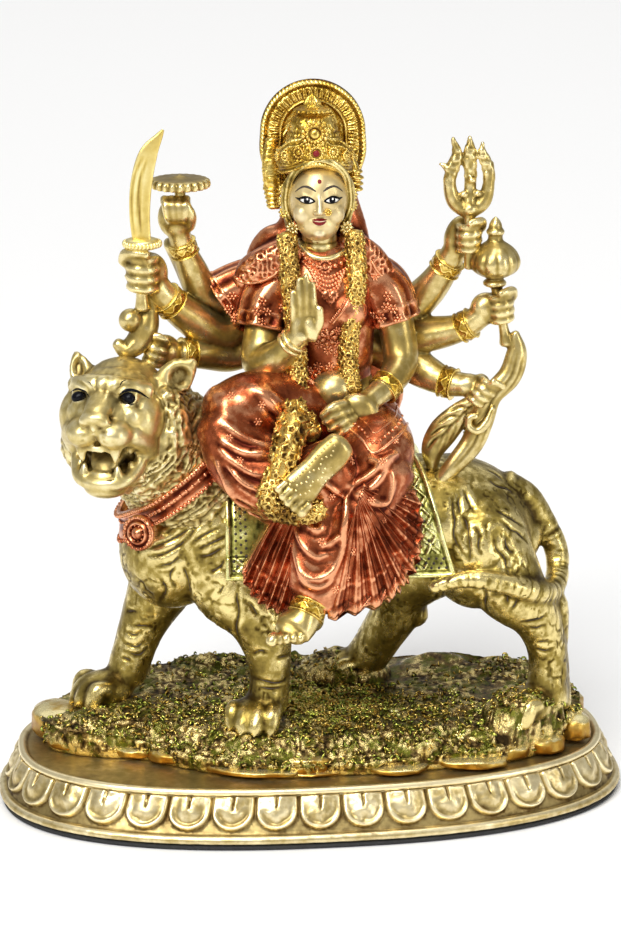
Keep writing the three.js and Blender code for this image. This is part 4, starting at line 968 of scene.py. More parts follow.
def lion_legs():
    """The four striding legs, each a limb that ends in a paw."""
    return [
        limb([[-26, -10, 55, 12, 8], [-19, -12.5, 43, 11.2, 8], [-13.2, -14.5, 34, 7.9, 7],
            [-11, -15, 22, 5.2, 6], [-11.6, -15.5, 13, 5.2, 6]], 28),
        *paw((-14.2, -17.5, 11.2), 250, 7.6),
        limb([[-31, 8, 52, 12, 9], [-37, 10, 38, 9, 8], [-43, 10, 25, 6, 6.4], [-47, 9, 13, 5.2, 5.8]], 28),
        *paw((-52.5, 6.5, 10), 200, 7.8),
        limb([[44, -11, 50, 11.5, 9.6], [50, -13, 41, 9, 8.6], [56, -11, 33.5, 6.4, 7],
            [59.4, -9.4, 24, 5, 6], [59.6, -10, 11, 5.4, 6]], 28),
        limb([[54, -9, 38, 3.4], [60.6, -8, 36.4, 3.6], [62, -8, 24, 3], [62.8, -8, 9, 3.4]], 20),
        *paw((54, -14, 10.8), 215, 7.8),
        limb([[36, 10, 45, 11, 9], [25, 14, 34, 8, 8], [23.2, 15.6, 27, 6.6, 7],
            [19.4, 17.6, 19.6, 5.8, 6.4], [15.4, 19, 12.6, 5.6, 6]], 28),
        blob((27.8, 13, 27), (3.4, 3, 4), (0, -20, 0)),
        *paw((12, 20, 10.6), 190, 7.4),
    ]


# Creases of the hide, as places of the image
FLANK_CREASES = [
    [(453.6, 496), (453, 508), (455, 521), (454, 535), (458, 546), (464, 552)],
    [(460, 495), (458.5, 502), (459.6, 510), (458, 516)],
    [(462, 515), (466, 521), (467.5, 528), (469, 539), (470.4, 561)],
    [(464.5, 490), (467, 497), (472, 508), (475, 513)],
    [(489, 479), (496, 484.5), (507, 488), (515.5, 494)],
    [(496, 510), (504, 514), (513, 519), (524, 527)],
    [(500, 519), (511, 529), (520, 534), (527.6, 543)],
    [(494.5, 537), (496, 548), (504, 557), (507, 568), (510, 575.5)],
    [(505.5, 532), (507, 546), (514.5, 555.5)],
    [(481, 584.5), (485.5, 593.6), (484.5, 604.5), (487, 612)], [(507, 595.5), (508, 604.5)],
    [(511, 610), (515.5, 604.5), (517, 599)],
    [(520, 622.7), (531, 621), (542, 618), (547, 613.6)],
    [(536, 642.7), (543.6, 642), (552.7, 641)],
    [(529, 628), (538, 628), (544.5, 624.5)],
    [(534.5, 648), (543.6, 651), (554.5, 648)], [(487, 470), (495, 473), (503, 480)],
    [(476, 528), (480, 536), (478, 545), (483, 556)],
]
SHOULDER_CREASES = [
    [(200, 513), (208, 505), (218, 495)], [(188, 539), (196, 527), (212, 513), (220, 509)],
    [(192, 543), (204, 535), (220, 527)], [(198, 549), (212, 543), (228, 535)],
    [(200, 557), (210, 555), (226, 545)], [(208, 573), (220, 567), (225, 559)],
    [(148, 549), (164, 543), (180, 535), (196, 523)], [(146, 555), (160, 555), (180, 545), (190, 535)],
    [(156, 567), (172, 563), (184, 551)], [(184, 567), (188, 579), (190, 595)],
    [(238, 583), (237, 599), (239, 611), (236, 629), (240, 641)], [(218, 595), (224, 585)],
    [(126, 631), (134, 635), (144, 629)], [(122, 641), (136, 647), (146, 641)],
    [(124, 651), (140, 655), (148, 647)], [(126, 611), (136, 611)], [(132, 625), (154, 627)],
    [(122, 657), (132, 661)], [(252, 655), (260, 651), (268, 653)],
    [(252, 677), (264, 681), (280, 683), (288, 677)], [(258, 687), (272, 689), (284, 687)],
    [(276, 659), (290, 655)], [(160, 578), (166, 590), (160, 602)], [(228, 628), (231, 640), (226, 652)],
    [(176, 566), (170, 576), (176, 588)], [(244, 600), (252, 606), (258, 616)],
]


def hide_strokes(points, facing):
    """Short strokes of hair, each a ridge of noise stretched along the way the coat lies: back along the
    flanks and down the legs and chest."""
    down = np.stack([points[:, 0] / 0.9, points[:, 1] / 0.9, points[:, 2] / 5.0], -1)
    back = np.stack([(points[:, 0] + points[:, 2]) / 7.0, points[:, 1] / 1.1,
        (points[:, 0] - points[:, 2]) / 1.3], -1)
    on_leg = ease(points[:, 2], 46, 34)[:, None]
    field = np.where(on_leg > 0.5, grain(down, 1.0, 31)[:, None], grain(back, 1.0, 32)[:, None])[:, 0]
    patches = ease(grain(points, 9, 33), -0.4, 0.6)
    dimples = grain(points, 2.2, 34) * ease(grain(points, 12, 35), -0.2, 0.7)
    above_paws = ease(points[:, 2], 13, 18) * (1 - 0.75 * ease(points[:, 0], 52, 56)
        * ease(points[:, 2], 34, 40))
    cracks = bump(grain(points * [1, 1, 0.8], 2.0, 36), 0.07) * ease(grain(points, 7, 37), -0.5, 0.3)
    return points + facing * (above_paws * (0.17 * field * patches + 0.2 * dimples - 0.24 * cracks))[:, None]


def tail_rings():
    """Grooves across the tail: short arcs square to its middle line at seeded spacings."""
    line = smooth_line(LION_TAIL, 260)
    draws = np.random.default_rng(5)
    along = unit(np.gradient(line[:, :3], axis=0))
    rings = []
    for step in range(60, 256, 6):
        step += draws.integers(-2, 3)
        side = unit(np.cross(along[step], [0, 1, 0.2]))
        front = np.cross(side, along[step])
        sweep = np.linspace(draws.uniform(-0.4, 1.6), draws.uniform(1.9, 3.6), 8)[:, None]
        reach = line[step, 3] * 1.02
        rings.append(line[step, :3] + reach * (np.cos(sweep) * side - np.sin(sweep) * front))
        if draws.random() < 0.5:
            rings.append(rings[-1] + along[step] * 0.8)
    return rings


def lion_body():
    """The barrel, neck, tail and legs as one skin, with strokes, creases and rings in the hide."""
    forms = [
        limb(LION_BARREL, 40, 60),
        blob((-35.2, -3, 51), (13.2, 15, 16), sides=32, rows=20),
        blob((-21, -11.5, 53), (8.6, 8, 15), (0, 14, 0), 28, 18),
        blob((41.5, -9, 51), (13.4, 12, 15.6), sides=32, rows=20),
        blob((39, 9, 50), (13.4, 12, 15), sides=32, rows=20),
        blob((47, -14, 45), (6.5, 6, 11), (0, -26, 0)),
        limb(NECK[:3], 40),
        limb(LION_TAIL, 24, 90),
        *lion_legs(),
    ]
    points, faces = fused(forms, FUR_CELL, 4)
    tree = tree_of((points, faces))
    creases = [drawn(tree, line)[0] for line in FLANK_CREASES + SHOULDER_CREASES]
    facing = outlook(points, faces)
    points = hide_strokes(points, facing)
    points = carved(points, facing, creases, 0.5, -0.5)
    points = carved(points, facing, [c + [0.8, -0.3, 0.4] for c in creases], 0.9, 0.1)
    points = carved(points, facing, tail_rings(), 0.4, -0.28)
    return (points, faces), tree


def crease_ribbons(tree):
    """Dark wash with painted shade in the deepest creases: flat-sided threads that narrow to both ends."""
    threads = []
    for line in FLANK_CREASES + SHOULDER_CREASES:
        spots, facing = drawn(tree, line, 1.2)
        if len(spots) > 3:
            share = np.linspace(0, 1, len(spots))
            half = 0.03 + 0.13 * np.sin(np.pi * share) * (0.7 + 0.3 * np.sin(9 * share + spots[0, 0]))
            sunk = spots - facing * 0.32
            threads.append(limb(np.column_stack([sunk, half, half * 0.9]), 6, 2 * len(spots)))
    return joined(threads)


def on_head(across, out, up):
    """A place on the lion's head: across to the viewer's right, out of the face, and up."""
    c, s = np.cos(np.radians(HEAD_TURN)), np.sin(np.radians(HEAD_TURN))
    return HEAD_CENTRE + [across * c + out * s, across * s - out * c, up]


def head_places(points):
    """The same three numbers, worked out for points of the casting."""
    c, s = np.cos(np.radians(HEAD_TURN)), np.sin(np.radians(HEAD_TURN))
    x, y, z = (points - HEAD_CENTRE).T
    return x * c + y * s, x * s - y * c, z


def head_lumps():
    """Lumps and strips for skull, brow, muzzle, cheeks, open jaw, tongue, teeth, mane and ears."""
    lump = lambda place, half, lean=(0, 0, 0), detail=(22, 14): blob(
        on_head(*place), half, (lean[0], lean[1], lean[2] + HEAD_TURN), *detail)
    strip = lambda stations, sides=14, across=(0, 0, 1): limb(
        [[*on_head(*station[:3]), *station[3:]] for station in stations], sides, across=across)
    both = lambda make: [make(-1), make(1)]
    return [
        limb(NECK, 40), lump((0, -4, 0.2), (11.6, 12.6, 11.8), detail=(36, 24)),
        lump((0.6, 2.6, 5.8), (9.2, 6.2, 5.4), detail=(32, 22)),
        strip([(-9.2, 4.4, 6.6, 2.2), (-5.2, 8.4, 8.2, 2.3), (0, 9.4, 8.4, 2.6), (5.2, 8.4, 8.2, 2.3),
            (9.2, 4.4, 6.6, 2.2)], 18),
        strip([(0, 6, 6.6, 4.4, 3.4), (0, 11, 4.8, 3.9, 3.0), (0, 15.2, 3.0, 3.3, 2.4)], 20),
        *both(lambda s: lump((s * 3.6, 10.4, 1.4), (3.2, 3.4, 3.4))),
        *both(lambda s: lump((s * 6.4, 9.0, 0.8), (3.4, 3.6, 4.0))),
        lump((0, 16.6, 2.2), (3.6, 2.2, 1.6)), *both(lambda s: lump((s * 2.2, 16.8, 1.3), (1.8, 1.7, 1.3))),
        lump((0, 16.6, -0.4), (1.1, 1.8, 1.8)),
        *both(lambda s: lump((s * 4.0, 13.6, -2.4), (4.4, 4.9, 3.7), (0, s * 8, s * -16))),
        *both(lambda s: strip([(s * 6.6, 11.0, -3.0, 3.4, 3.0), (s * 9.0, 7, -5.4, 3.0, 2.8),
            (s * 9.2, 4.4, -9, 2.4, 2.2)])),
        *both(lambda s: lump((s * 7.8, 4.6, -0.8), (5.2, 6.6, 7.0), detail=(30, 20))),
        *both(lambda s: lump((s * 6.2, 8.2, 5.6), (2.3, 2.3, 1.9))),
        lump((0, 2, -9), (7.4, 6, 6)),
        strip([(8.4, 4.2, -8.4, 1.7, 2.2), (7.6, 8, -12.4, 1.8, 1.9), (5.0, 12, -14.6, 2.0, 1.8),
            (0, 13.6, -15.2, 1.9, 1.8), (-5.0, 12, -14.6, 2.0, 1.8), (-7.6, 8, -12.4, 1.8, 1.9),
            (-8.4, 4.2, -8.4, 1.7, 2.2)], 16),
        lump((0, 8.8, -16.9), (5.6, 6.0, 2.8)), lump((0, 3, -15.2), (8.0, 8, 4.6)),
        strip([(0, 2, -8.6, 4.8, 2.6), (0, 7, -9.6, 4.4, 2.4), (0, 10.6, -11.4, 3.4, 1.8),
            (0, 12.2, -12.6, 2.2, 1.0)], 20),
        *both(lambda s: strip([(s * 4.4, 13.8, -5, 1.7), (s * 4.3, 14.2, -7.4, 1.2),
            (s * 4.1, 13.8, -9.6, 0.45)], 12)),
        *both(lambda s: strip([(s * 4.2, 12.4, -14.2, 1.5), (s * 4.3, 12.8, -12.0, 1.1),
            (s * 4.1, 12.6, -10.2, 0.4)], 12)),
        *[lump((a, 15.2 - 0.12 * a * a, -6.1), (0.66, 0.6, 1.1), detail=(8, 6)) for a in (-2.3, -1.1, 0, 1.1,
            2.3)],
        *[lump((a, 13.6 - 0.12 * a * a, -13.0), (0.62, 0.6, 1.0), detail=(8, 6)) for a in (-2.2, -1.1, 0, 1.1,
            2.2)],
        *[lump((s * a, o, u), (1.0, 1.2, 1.6), detail=(10, 8)) for s in (-1, 1)
            for a, o, u in ((6.4, 9.8, -6.8), (7.2, 7.2, -7.6), (6.4, 9, -11.6))],
        strip([(11.5, -2, 4, 3, 3.4), (13.4, -2, -4, 4.2, 4.4), (11.6, -1, -12, 4.2, 4.6),
            (5, -1, -17.4, 4, 4.4)], 22, (0, 1, 0)),
        strip([(-10.4, -2, 4, 2.6, 3), (-11.4, -2, -4, 3.4, 4), (-10.4, -1, -11.4, 3.6, 4.2),
            (-5, -1, -16.8, 3.8, 4.2)], 22, (0, 1, 0)),
        strip([(11.6, -4.6, 5.4, 4.4, 2.2), (13.6, -5.4, 8.2, 4.3, 1.9), (16.2, -6.2, 10.4, 2.8, 1.4),
            (17.6, -6.6, 11.6, 1.1, 0.9)], 22, (0, 1, 0)),
        strip([(-9.8, -4.6, 5.8, 3.8, 2.2), (-11.2, -5, 8.6, 3.0, 1.8), (-12.2, -5.6, 10.8, 1.7, 1.2),
            (-12.7, -6, 12, 0.7, 0.7)], 22, (0, 1, 0)),
    ]


def both_sides(lines):
    """Lines of places on the lion's head, on the viewer's left and mirrored on the right."""
    return [np.array([on_head(s * a, o, u) for a, o, u in line]) for s in (-1, 1) for line in lines]


def lion_head():
    """The head as one skin, with the hollows of the ears, the locks of the mane, the coat, and the lines
    round mouth and eyes."""
    points, faces = fused(head_lumps(), FACE_CELL, 5)
    across, out, up = head_places(points)
    facing = outlook(points, faces)
    ear = np.minimum(np.hypot((across - 14.6) / 3.0, (up - 8.0) / 3.2),
        np.hypot((across + 11.3) / 1.8, (up - 8.8) / 2.6))
    front = ease(facing @ (on_head(0, 1, 0) - HEAD_CENTRE), 0.0, 0.5)
    points = points - facing * (1.3 * ease(ear, 1.1, 0.5) * front * ease(out, -8, -5))[:, None]
    ring = np.hypot(across, up + 2.5)
    turn = np.arctan2(across, up + 2.5)
    curls = np.stack([ring / 0.72 + 1.4 * grain(points, 3.6, 41), turn * 5.5, 0 * ring], -1)
    mane = ease(ring - 0.12 * out, 12, 14.5) * ease(out, 7.5, 3.5) * ease(up, 7.5, 3.5)
    mane = mane * (1 - 0.85 * ease(across, -4, -8) * ease(up, -11, -6))
    locks = 1 - 2 * np.abs(grain(curls, 1.0, 42))
    points = points + facing * (mane * (0.85 * locks + 0.35 * grain(points, 0.9, 43)))[:, None]
    coat = np.stack([across / 0.8, out / 3.0, up / 3.0], -1)
    coat = 0.12 * grain(coat, 1.0, 44) * ease(ring, 5, 10) * (1 - mane) * ease(up, -8, -3)
    points = points + facing * coat[:, None]
    lines = both_sides((
        ((1.6, 18.0, -0.9), (5, 17.0, -1.3), (8, 13, -2.2)),
        ((1.8, 18.2, -2.1), (5, 17.2, -2.5), (8, 13, -3.4)),
        ((2.2, 18.0, -3.3), (5, 17.0, -3.8), (7.6, 13, -4.8)),
        ((3.6, 12.6, 3.2), (6.2, 11.6, 2.7), (9.2, 9, 4.0)),
        ((0.5, 17.8, -0.6), (0.3, 18.4, -2.6), (0.5, 17.6, -5))))
    points = carved(points, facing, lines, 0.42, -0.42)
    lids = both_sides((
        ((3.6, 10.2, 5.4), (5, 11, 7.4), (6.6, 10.9, 7.7), (8.6, 9.2, 6.6)),
        ((3.6, 10.2, 5.2), (5, 10.9, 4.2), (6.8, 10.7, 4.2), (8.6, 9.2, 5.8))))
    points = carved(points, facing, [smooth_line(line, 14) for line in lids], 0.55, 0.5)
    furrows = both_sides((
        ((1.0, 12.4, 7.4), (1.5, 11.6, 9.4), (1.2, 10, 11)),
        ((3.0, 11.8, 7.0), (4.4, 11.2, 8.6), (7.4, 9.4, 9.2)), ((4.6, 9.4, 10.4), (8.2, 7, 10.2)),
        ((5.2, 6.4, 11.8), (9, 4.4, 11.0))))
    points = carved(points, facing, [smooth_line(line, 14) for line in furrows], 0.5, -0.3)
    return points, faces


def collar_parts(tree):
    """A band round the neck that follows the fur, beaded along both edges, and its round medallion."""
    centre, lean = np.array([-34.5, -7.5, 68.5]), np.radians(40)
    edge = np.array([-np.sin(lean), 0, np.cos(lean)]) * COLLAR_HALF
    turn = np.linspace(0, 2 * np.pi, 161)[:-1]
    radial = np.stack([np.cos(turn) * np.cos(lean), np.sin(turn), np.cos(turn) * np.sin(lean)], -1)
    across = np.linspace(-1, 1, 9)
    reach = np.zeros((len(turn), len(across)))
    for row, out in enumerate(radial):
        for column, share in enumerate(across):
            start = centre + edge * share + out * 40
            hit = tree.ray_cast(Vector(start), Vector(-out))[0]
            reach[row, column] = 15 if hit is None else (np.array(hit) - centre) @ out
    reach = np.clip(reach, 12, 19.6)
    kernel = bump(np.arange(-9, 10), 5)
    wrapped = np.vstack([reach[-9:], reach, reach[:9]])
    reach = np.stack([np.convolve(wrapped[:, i], kernel / kernel.sum(), "valid") for i in range(9)], 1)
    reach = np.maximum(reach, reach.mean(1, keepdims=True))
    body = np.concatenate([reach + 0.75 + 0.15 * np.cos(across * 9), reach[:, ::-1] - 0.6], 1)
    shares = np.concatenate([across, across[::-1]])
    rings = centre + radial[:, None] * body[..., None] + edge * shares[None, :, None]
    rings = np.concatenate([rings, rings[:1]])
    band = rings.reshape(-1, 3), grid_faces(len(rings), 18, True)
    beads, small = blob((0, 0, 0.15), (0.62, 0.62, 0.55), sides=8, rows=5), []
    for share, column in ((-0.88, 0), (0.88, 8)):
        row = centre + radial * (reach[:, [column]] + 0.8) + edge * share
        small.append(set_out(beads, row[::2], radial[::2]))
    squares = blob((0, 0, 0), (0.75, 0.75, 0.35), sides=4, rows=4)
    middle = centre + radial * (reach[:, [4]] + 0.85)
    small.append(set_out(squares, middle[::3], radial[::3]))
    face = unit(np.array([-0.55, -0.78, 0.1]))
    disc = turned((0, 0, 0), [[0.3, -2.4], [4.3, -2.2], [4.5, -0.4], [4.1, 0.35], [3.6, 0.3], [3.4, -0.1],
        [3, -0.1], [2.7, 0.6], [2.3, 0.6], [2.1, 0.1], [1.7, 0.1], [1.2, 0.9], [0.6, 1.3], [0.1, 1.4]], 40)
    pearls = beaded(3.95, 0.2, 20, (0.5, 0.5, 0.45)) + beaded(1.95, 0.45, 10, (0.28, 0.28, 0.3), 6, 4)
    medallion = set_out(joined([disc, *pearls]), [(-43.6, -22.4, 60.2)], [face])
    return outwards(*band), joined(small), medallion


CLOTH_LEFT, CLOTH_RIGHT_TOP, CLOTH_RIGHT_HEM = -22.0, 25.0, 35.0
CLOTH_ARC = 0.72
CLOTH_DROP, CLOTH_CURVE = 9.4, 30.6
LOZENGE_PITCH = 5.2
PIT_PITCH, PIT_SHIFT = 1.9, 0.9


def cloth_places(u, v):
    """The saddle cloth: v runs from the near hem over the back to the far hem. On each side the first share
    follows a quarter of an oval and the rest hangs down; the right edge slants out towards the hems."""
    away = np.abs(v - 0.5) * 2
    turn = np.minimum(away / CLOTH_ARC, 1) * np.pi / 2
    drop = np.maximum(0, away - CLOTH_ARC) / (1 - CLOTH_ARC)
    right = CLOTH_RIGHT_TOP + (CLOTH_RIGHT_HEM - CLOTH_RIGHT_TOP) * away
    x = CLOTH_LEFT + (right - CLOTH_LEFT) * u
    side = np.sign(v - 0.5)
    out = np.stack(np.broadcast_arrays(0 * x, side * np.sin(turn), np.cos(turn)), -1)
    deep, up = 20.9 * np.sin(turn) + 1.6 * drop, 57 + 18 * np.cos(turn) - CLOTH_DROP * drop
    place = np.stack([x, side * deep, up], -1)
    hem = np.where(away > CLOTH_ARC, (1 - away) / (1 - CLOTH_ARC) * CLOTH_DROP,
        CLOTH_DROP + (1 - away / CLOTH_ARC) * CLOTH_CURVE)
    return place, out, right - x, x - CLOTH_LEFT, hem


def cloth_front(u, v):
    """The cloth with its pattern: rims, grooves and thin lines at set distances from the edges, and crossed
    lines that make lozenges along the right border."""
    place, out, right, left, hem = cloth_places(u, v)
    edge = np.minimum(np.minimum(right, left), hem)
    relief = 0.45 * bump(edge - 0.6, 0.5) - 0.35 * bump(edge - 1.55, 0.28)
    for line in (6.7, 7.6, 8.5):
        on_side = np.where(right <= hem, right, hem + 0.4)
        relief = relief + 0.3 * bump(on_side - line, 0.3) * (right < 12)
    relief = relief - 0.3 * bump(np.minimum(right, hem + 0.4) - 6.2, 0.25)
    slant = 1.25 * (right - 4.1)
    inside = (np.abs(right - 4.0) < 2.0) * (hem > 6)
    for way in (-1, 1):
        gap = (hem + way * slant) % LOZENGE_PITCH - LOZENGE_PITCH / 2
        relief = relief + (0.42 * bump(gap, 0.42) - 0.3 * bump(np.abs(gap) - 0.85, 0.3)) * inside
    along_hem = (hem > 2.0) * (hem < 5.6) * (right > 6.4) * (left > 2)
    for way in (-1, 1):
        gap = (right + way * 1.1 * (hem - 3.8)) % 3.8 - 1.9
        relief = relief + (0.36 * bump(gap, 0.36) - 0.24 * bump(np.abs(gap) - 0.7, 0.26)) * along_hem
    return np.moveaxis(place + out * relief[..., None], -1, 0)


def saddle_cloth():
    """The cloth over the lion's back and the pits of its pattern: rows along the hem and the
    left edge, and four in each lozenge of the right border."""
    rows = np.concatenate([np.linspace(0, 0.5, 112), np.linspace(0.5, 1, 66)[1:]])
    form = sheet(cloth_front, 148, rows, 1.6, lambda u, v: np.moveaxis(-cloth_places(u, v)[1], -1, 0), 10)
    near = lambda hem: np.where(hem < CLOTH_DROP, 1 - hem / CLOTH_DROP * (1 - CLOTH_ARC),
        (1 - (hem - CLOTH_DROP) / CLOTH_CURVE) * CLOTH_ARC)
    spots = []
    for hem in np.arange(8, 38, LOZENGE_PITCH):
        for right, up in ((4.1, 0.75), (4.1, -0.75), (3.4, 0), (4.8, 0)):
            away = near(hem + up + 0.4)
            spots.append((1 - right / (CLOTH_RIGHT_TOP + 10 * away - CLOTH_LEFT), away))
    for hem, shift in ((2.4, 0), (3.5, PIT_SHIFT), (4.7, 0)):
        for x in np.arange(-20, 34, PIT_PITCH):
            spots.append(((x - CLOTH_LEFT + shift) / (CLOTH_RIGHT_HEM - CLOTH_LEFT), near(hem)))
    for left, shift in ((2.4, 0), (3.6, PIT_SHIFT), (4.8, 0)):
        for hem in np.arange(6, 38, PIT_PITCH):
            spots.append((left / (CLOTH_RIGHT_TOP + 5 - CLOTH_LEFT), near(hem + shift)))
    spots = np.array(spots)
    both = np.concatenate([0.5 - spots[:, 1] / 2, 0.5 + spots[:, 1] / 2])
    place, out, _, _, _ = cloth_places(np.tile(spots[:, 0], 2), both)
    pits = set_out(blob((0, 0, 0), (0.42, 0.42, 0.2), sides=7, rows=4), place + out * 0.05, out)
    return form, pits


LID_LINES = (
    (((69, 393), (77, 389), (85, 391.5), (90, 398)), 0.3),
    (((119, 395), (126, 390.5), (136, 391), (150, 399)), 0.42),
    # The last two lines darken the furrows above the eyes: painted shade.
    (((122, 401), (130, 404.5), (140, 401.5)), 0.16), (((119, 388), (122, 382), (128, 379)), 0.2),
    (((92, 388), (90, 383), (86, 381)), 0.15),
)


def lion_eyes(head):
    """Dark almonds under the brows, and the painted lines over and under them that narrow to both ends."""
    forms = [blob(on_head(s * 6.2, 10.0, 5.5 + 0.35 * s), (1.95, 1.5, 1.5), (0, s * 10, HEAD_TURN - s * 20),
        24, 14)
        for s in (-1, 1)]
    tree = tree_of(head)
    for places, thick in LID_LINES:
        spots, facing = drawn(tree, places, 1.0)
        share = np.linspace(0.04, 0.96, len(spots))
        half = thick * np.sin(np.pi * share) ** 0.7
        forms.append(limb(np.column_stack([spots - facing * 0.1, half, half]), 8, 2 * len(spots)))
    return joined(forms)


def make_lion():
    """The lion and what it wears."""
    body, tree = lion_body()
    head = lion_head()
    # The legs are painted darker below the belly: painted shade under the body.
    low = 0.3 * ease(body[0][:, 2], 52, 30)
    figure_piece("lion_body", body, BRONZE, np.clip(recess(*body) + low, -1, 1))
    across, out, up = head_places(head[0])
    # Darker inside the open mouth, painted shade, and darker over the mane.
    inside = ease(up, -4.6, -6) * ease(up, -13.6, -12.4) * ease(np.abs(across), 7.4, 5.4)
    inside = inside * ease(out, 13.2, 11.4) * ease(out, 2, 4)
    fur = ease(np.hypot(across, up + 2.5) - 0.12 * out, 12, 14.5) * ease(out, 6, 2)
    hollow = np.clip(recess(*head, 6, 0.12) + 0.55 * inside + 0.4 * fur, -1, 1)
    figure_piece("lion_head", head, LION_GOLD, hollow)
    figure_piece("lion_eyes", lion_eyes(head), EYE_DARK)
    # Threads of dark wash with painted shade along the creases of the hide.
    figure_piece("hide_cracks", crease_ribbons(tree), DARK)
    band, beads, medallion = collar_parts(tree_of(joined([body, head])))
    figure_piece("collar", band, COPPER)
    figure_piece("collar_beads", beads, COPPER)
    figure_piece("medallion", medallion, COPPER)
    cloth, pits = saddle_cloth()
    figure_piece("saddle_cloth", cloth, LIME_GOLD)
    figure_piece("cloth_pattern", pits, DARK)


# Goddess: arms, body and dress

SKIN_CELL = 0.45
CLOTH_CELL = 0.5

FAR_LEFT_ARM = [[-10, 3, 117, 4.6], [-19, 3, 114.5, 4.4], [-25.5, 1, 113.5, 4.2], [-29, -2, 121, 3.8],
    [-31.6, -4, 128, 2.9], [-32.6, -5, 132, 2.8]]
UPPER_LEFT_ARM = [[-10, 2, 112, 5], [-17, 2, 107, 5], [-22.5, 0, 104.8, 5], [-29.5, -4, 109.8, 4.6],
    [-35.6, -8, 115.6, 3.6], [-38.4, -9.4, 119.4, 3.4]]
LOWER_LEFT_ARM = [[-10, 2, 107, 5], [-16, 2, 101, 4.8], [-20, 1, 99.5, 4.6], [-26, -3, 100.5, 4],
    [-32, -6, 101.3, 3.2]]
BLESSING_ARM = [[-9, -4, 118, 5.0], [-11.8, -9, 108, 4.9], [-12.6, -13.5, 100.6, 4.9],
    [-9.4, -17.5, 102.8, 4.1], [-5.6, -20, 107.2, 2.9], [-3.4, -20.6, 109.6, 2.8]]
FAR_RIGHT_ARM = [[14, 3, 112, 5], [23, 3, 109.6, 4.8], [29, 1, 114.6, 4.3], [33.6, -2, 122, 3.4],
    [36, -3.6, 127.4, 3]]
UPPER_RIGHT_ARM = [[12, 3, 105.6, 5], [22, 3, 103.2, 5], [30, -1, 104.4, 4.4], [38, -5, 107.2, 3.3],
    [42, -6.4, 110.4, 3]]
LOWER_RIGHT_ARM = [[14, 2, 102, 5], [23, 2, 97.6, 5], [29, -2, 94.6, 4.3], [34, -5, 92.8, 3.4],
    [37.6, -6.6, 92.6, 3]]
RESTING_ARM = [[18.5, -4, 117, 5.6], [20.8, -5.5, 108, 4.6], [21.8, -8.5, 99.5, 4.3],
    [18.8, -14.5, 95.6, 3.6], [15.4, -19.6, 94, 3.0], [12.0, -23.0, 92.2, 2.9]]


def fist(centre, shaft, front, size=1.0, way=1, thumb=True):
    """A hand closed round a shaft. Each finger is an arc about the shaft, from the knuckle on the side of
    the palm over the front to the tip; the palm is a blob behind, and the thumb lies over the fingers."""
    axis, front = unit(np.array(shaft, float)), unit(np.array(front, float))
    front = unit(front - axis * (axis @ front))
    side = np.cross(axis, front) * way
    at = lambda along, out, aside: np.array(centre) + size * (axis * along + front * out + side * aside)
    forms = [blob(at(0, -1.6, 0.2), (2.9 * size, 2.3 * size, 4.3 * size), sides=16, rows=10)]
    for place in (-1.5, -0.5, 0.5, 1.5):
        stations = []
        reach = 2.75 - 0.14 * abs(place - 0.2)
        for turn in (-78, -38, 0, 38, 74, 108):
            angle = np.radians(turn)
            thick = 1.12 - 0.06 * abs(place) - 0.0016 * abs(turn - 10)
            along = place * 2.0 - 0.25 * np.sin(angle)
            stations.append([*at(along, reach * np.cos(angle), reach * np.sin(angle)), thick * size])
        forms.append(limb(stations, 14, across=axis, cap=0.9))
    if thumb:
        forms.append(limb([[*at(2.2, -0.4, -3.4), 1.5 * size], [*at(4.0, 1.6, -2.9), 1.25 * size],
            [*at(4.5, 3.0, -0.8), 1.05 * size], [*at(4.2, 3.3, 1.4), 0.9 * size]], 14))
    return forms


def open_hand():
    """The raised palm: a flat blob with a full heel, four straight fingers side by side, and the thumb."""
    forms = [blob((-2.9, -21, 112.0), (3.4, 1.7, 5.0), (0, 8, 0), 28, 18),
        blob((-1.0, -22.2, 110.8), (1.6, 1.2, 3.4), (0, -12, 0), 16, 10),
        blob((-4.5, -22.0, 110.8), (1.4, 1.0, 3.6), (0, 8, 0), 16, 10)]
    for x, top, thick in ((-5.5, 120.0, 0.92), (-3.9, 123.0, 0.98), (-2.2, 124.0, 1.0), (-0.6, 122.0, 0.96)):
        foot = -2.9 + (x + 3.05) * 0.98
        forms.append(limb([[foot, -21.4, 113.4, thick * 1.05],
            [(foot + x) / 2 + 0.1, -22.1, (113.4 + top) / 2, thick], [x, -21.9, top, thick * 0.8]], 16,
            cap=1.1))
    forms.append(limb([[-0.5, -21.6, 109.8, 1.5], [1.0, -22.2, 112.8, 1.2], [1.1, -22.6, 116.0, 0.88]], 16,
        cap=1.1))
    return forms


def disc_hand():
    """The hand under the disc, with the fingertips curled in towards the palm."""
    forms = [blob((-33.2, -5.5, 135.4), (4.5, 3.4, 5.2), sides=24, rows=16)]
    for x in (-2.4, -0.8, 0.8, 2.3):
        forms.append(limb([[-33.2 + x * 1.15, -6.4, 140.2, 1.15], [-33.2 + x * 1.05, -9.2, 139.4, 1.12],
            [-33.2 + x * 0.9, -9.6, 136.6, 0.95], [-33.2 + x * 0.7, -8.6, 135, 0.8]], 12))
    forms.append(limb([[-30, -6, 133.4, 1.7], [-29.6, -8.6, 136.4, 1.5], [-30.6, -9.4, 139, 1.2]], 12))
    return forms


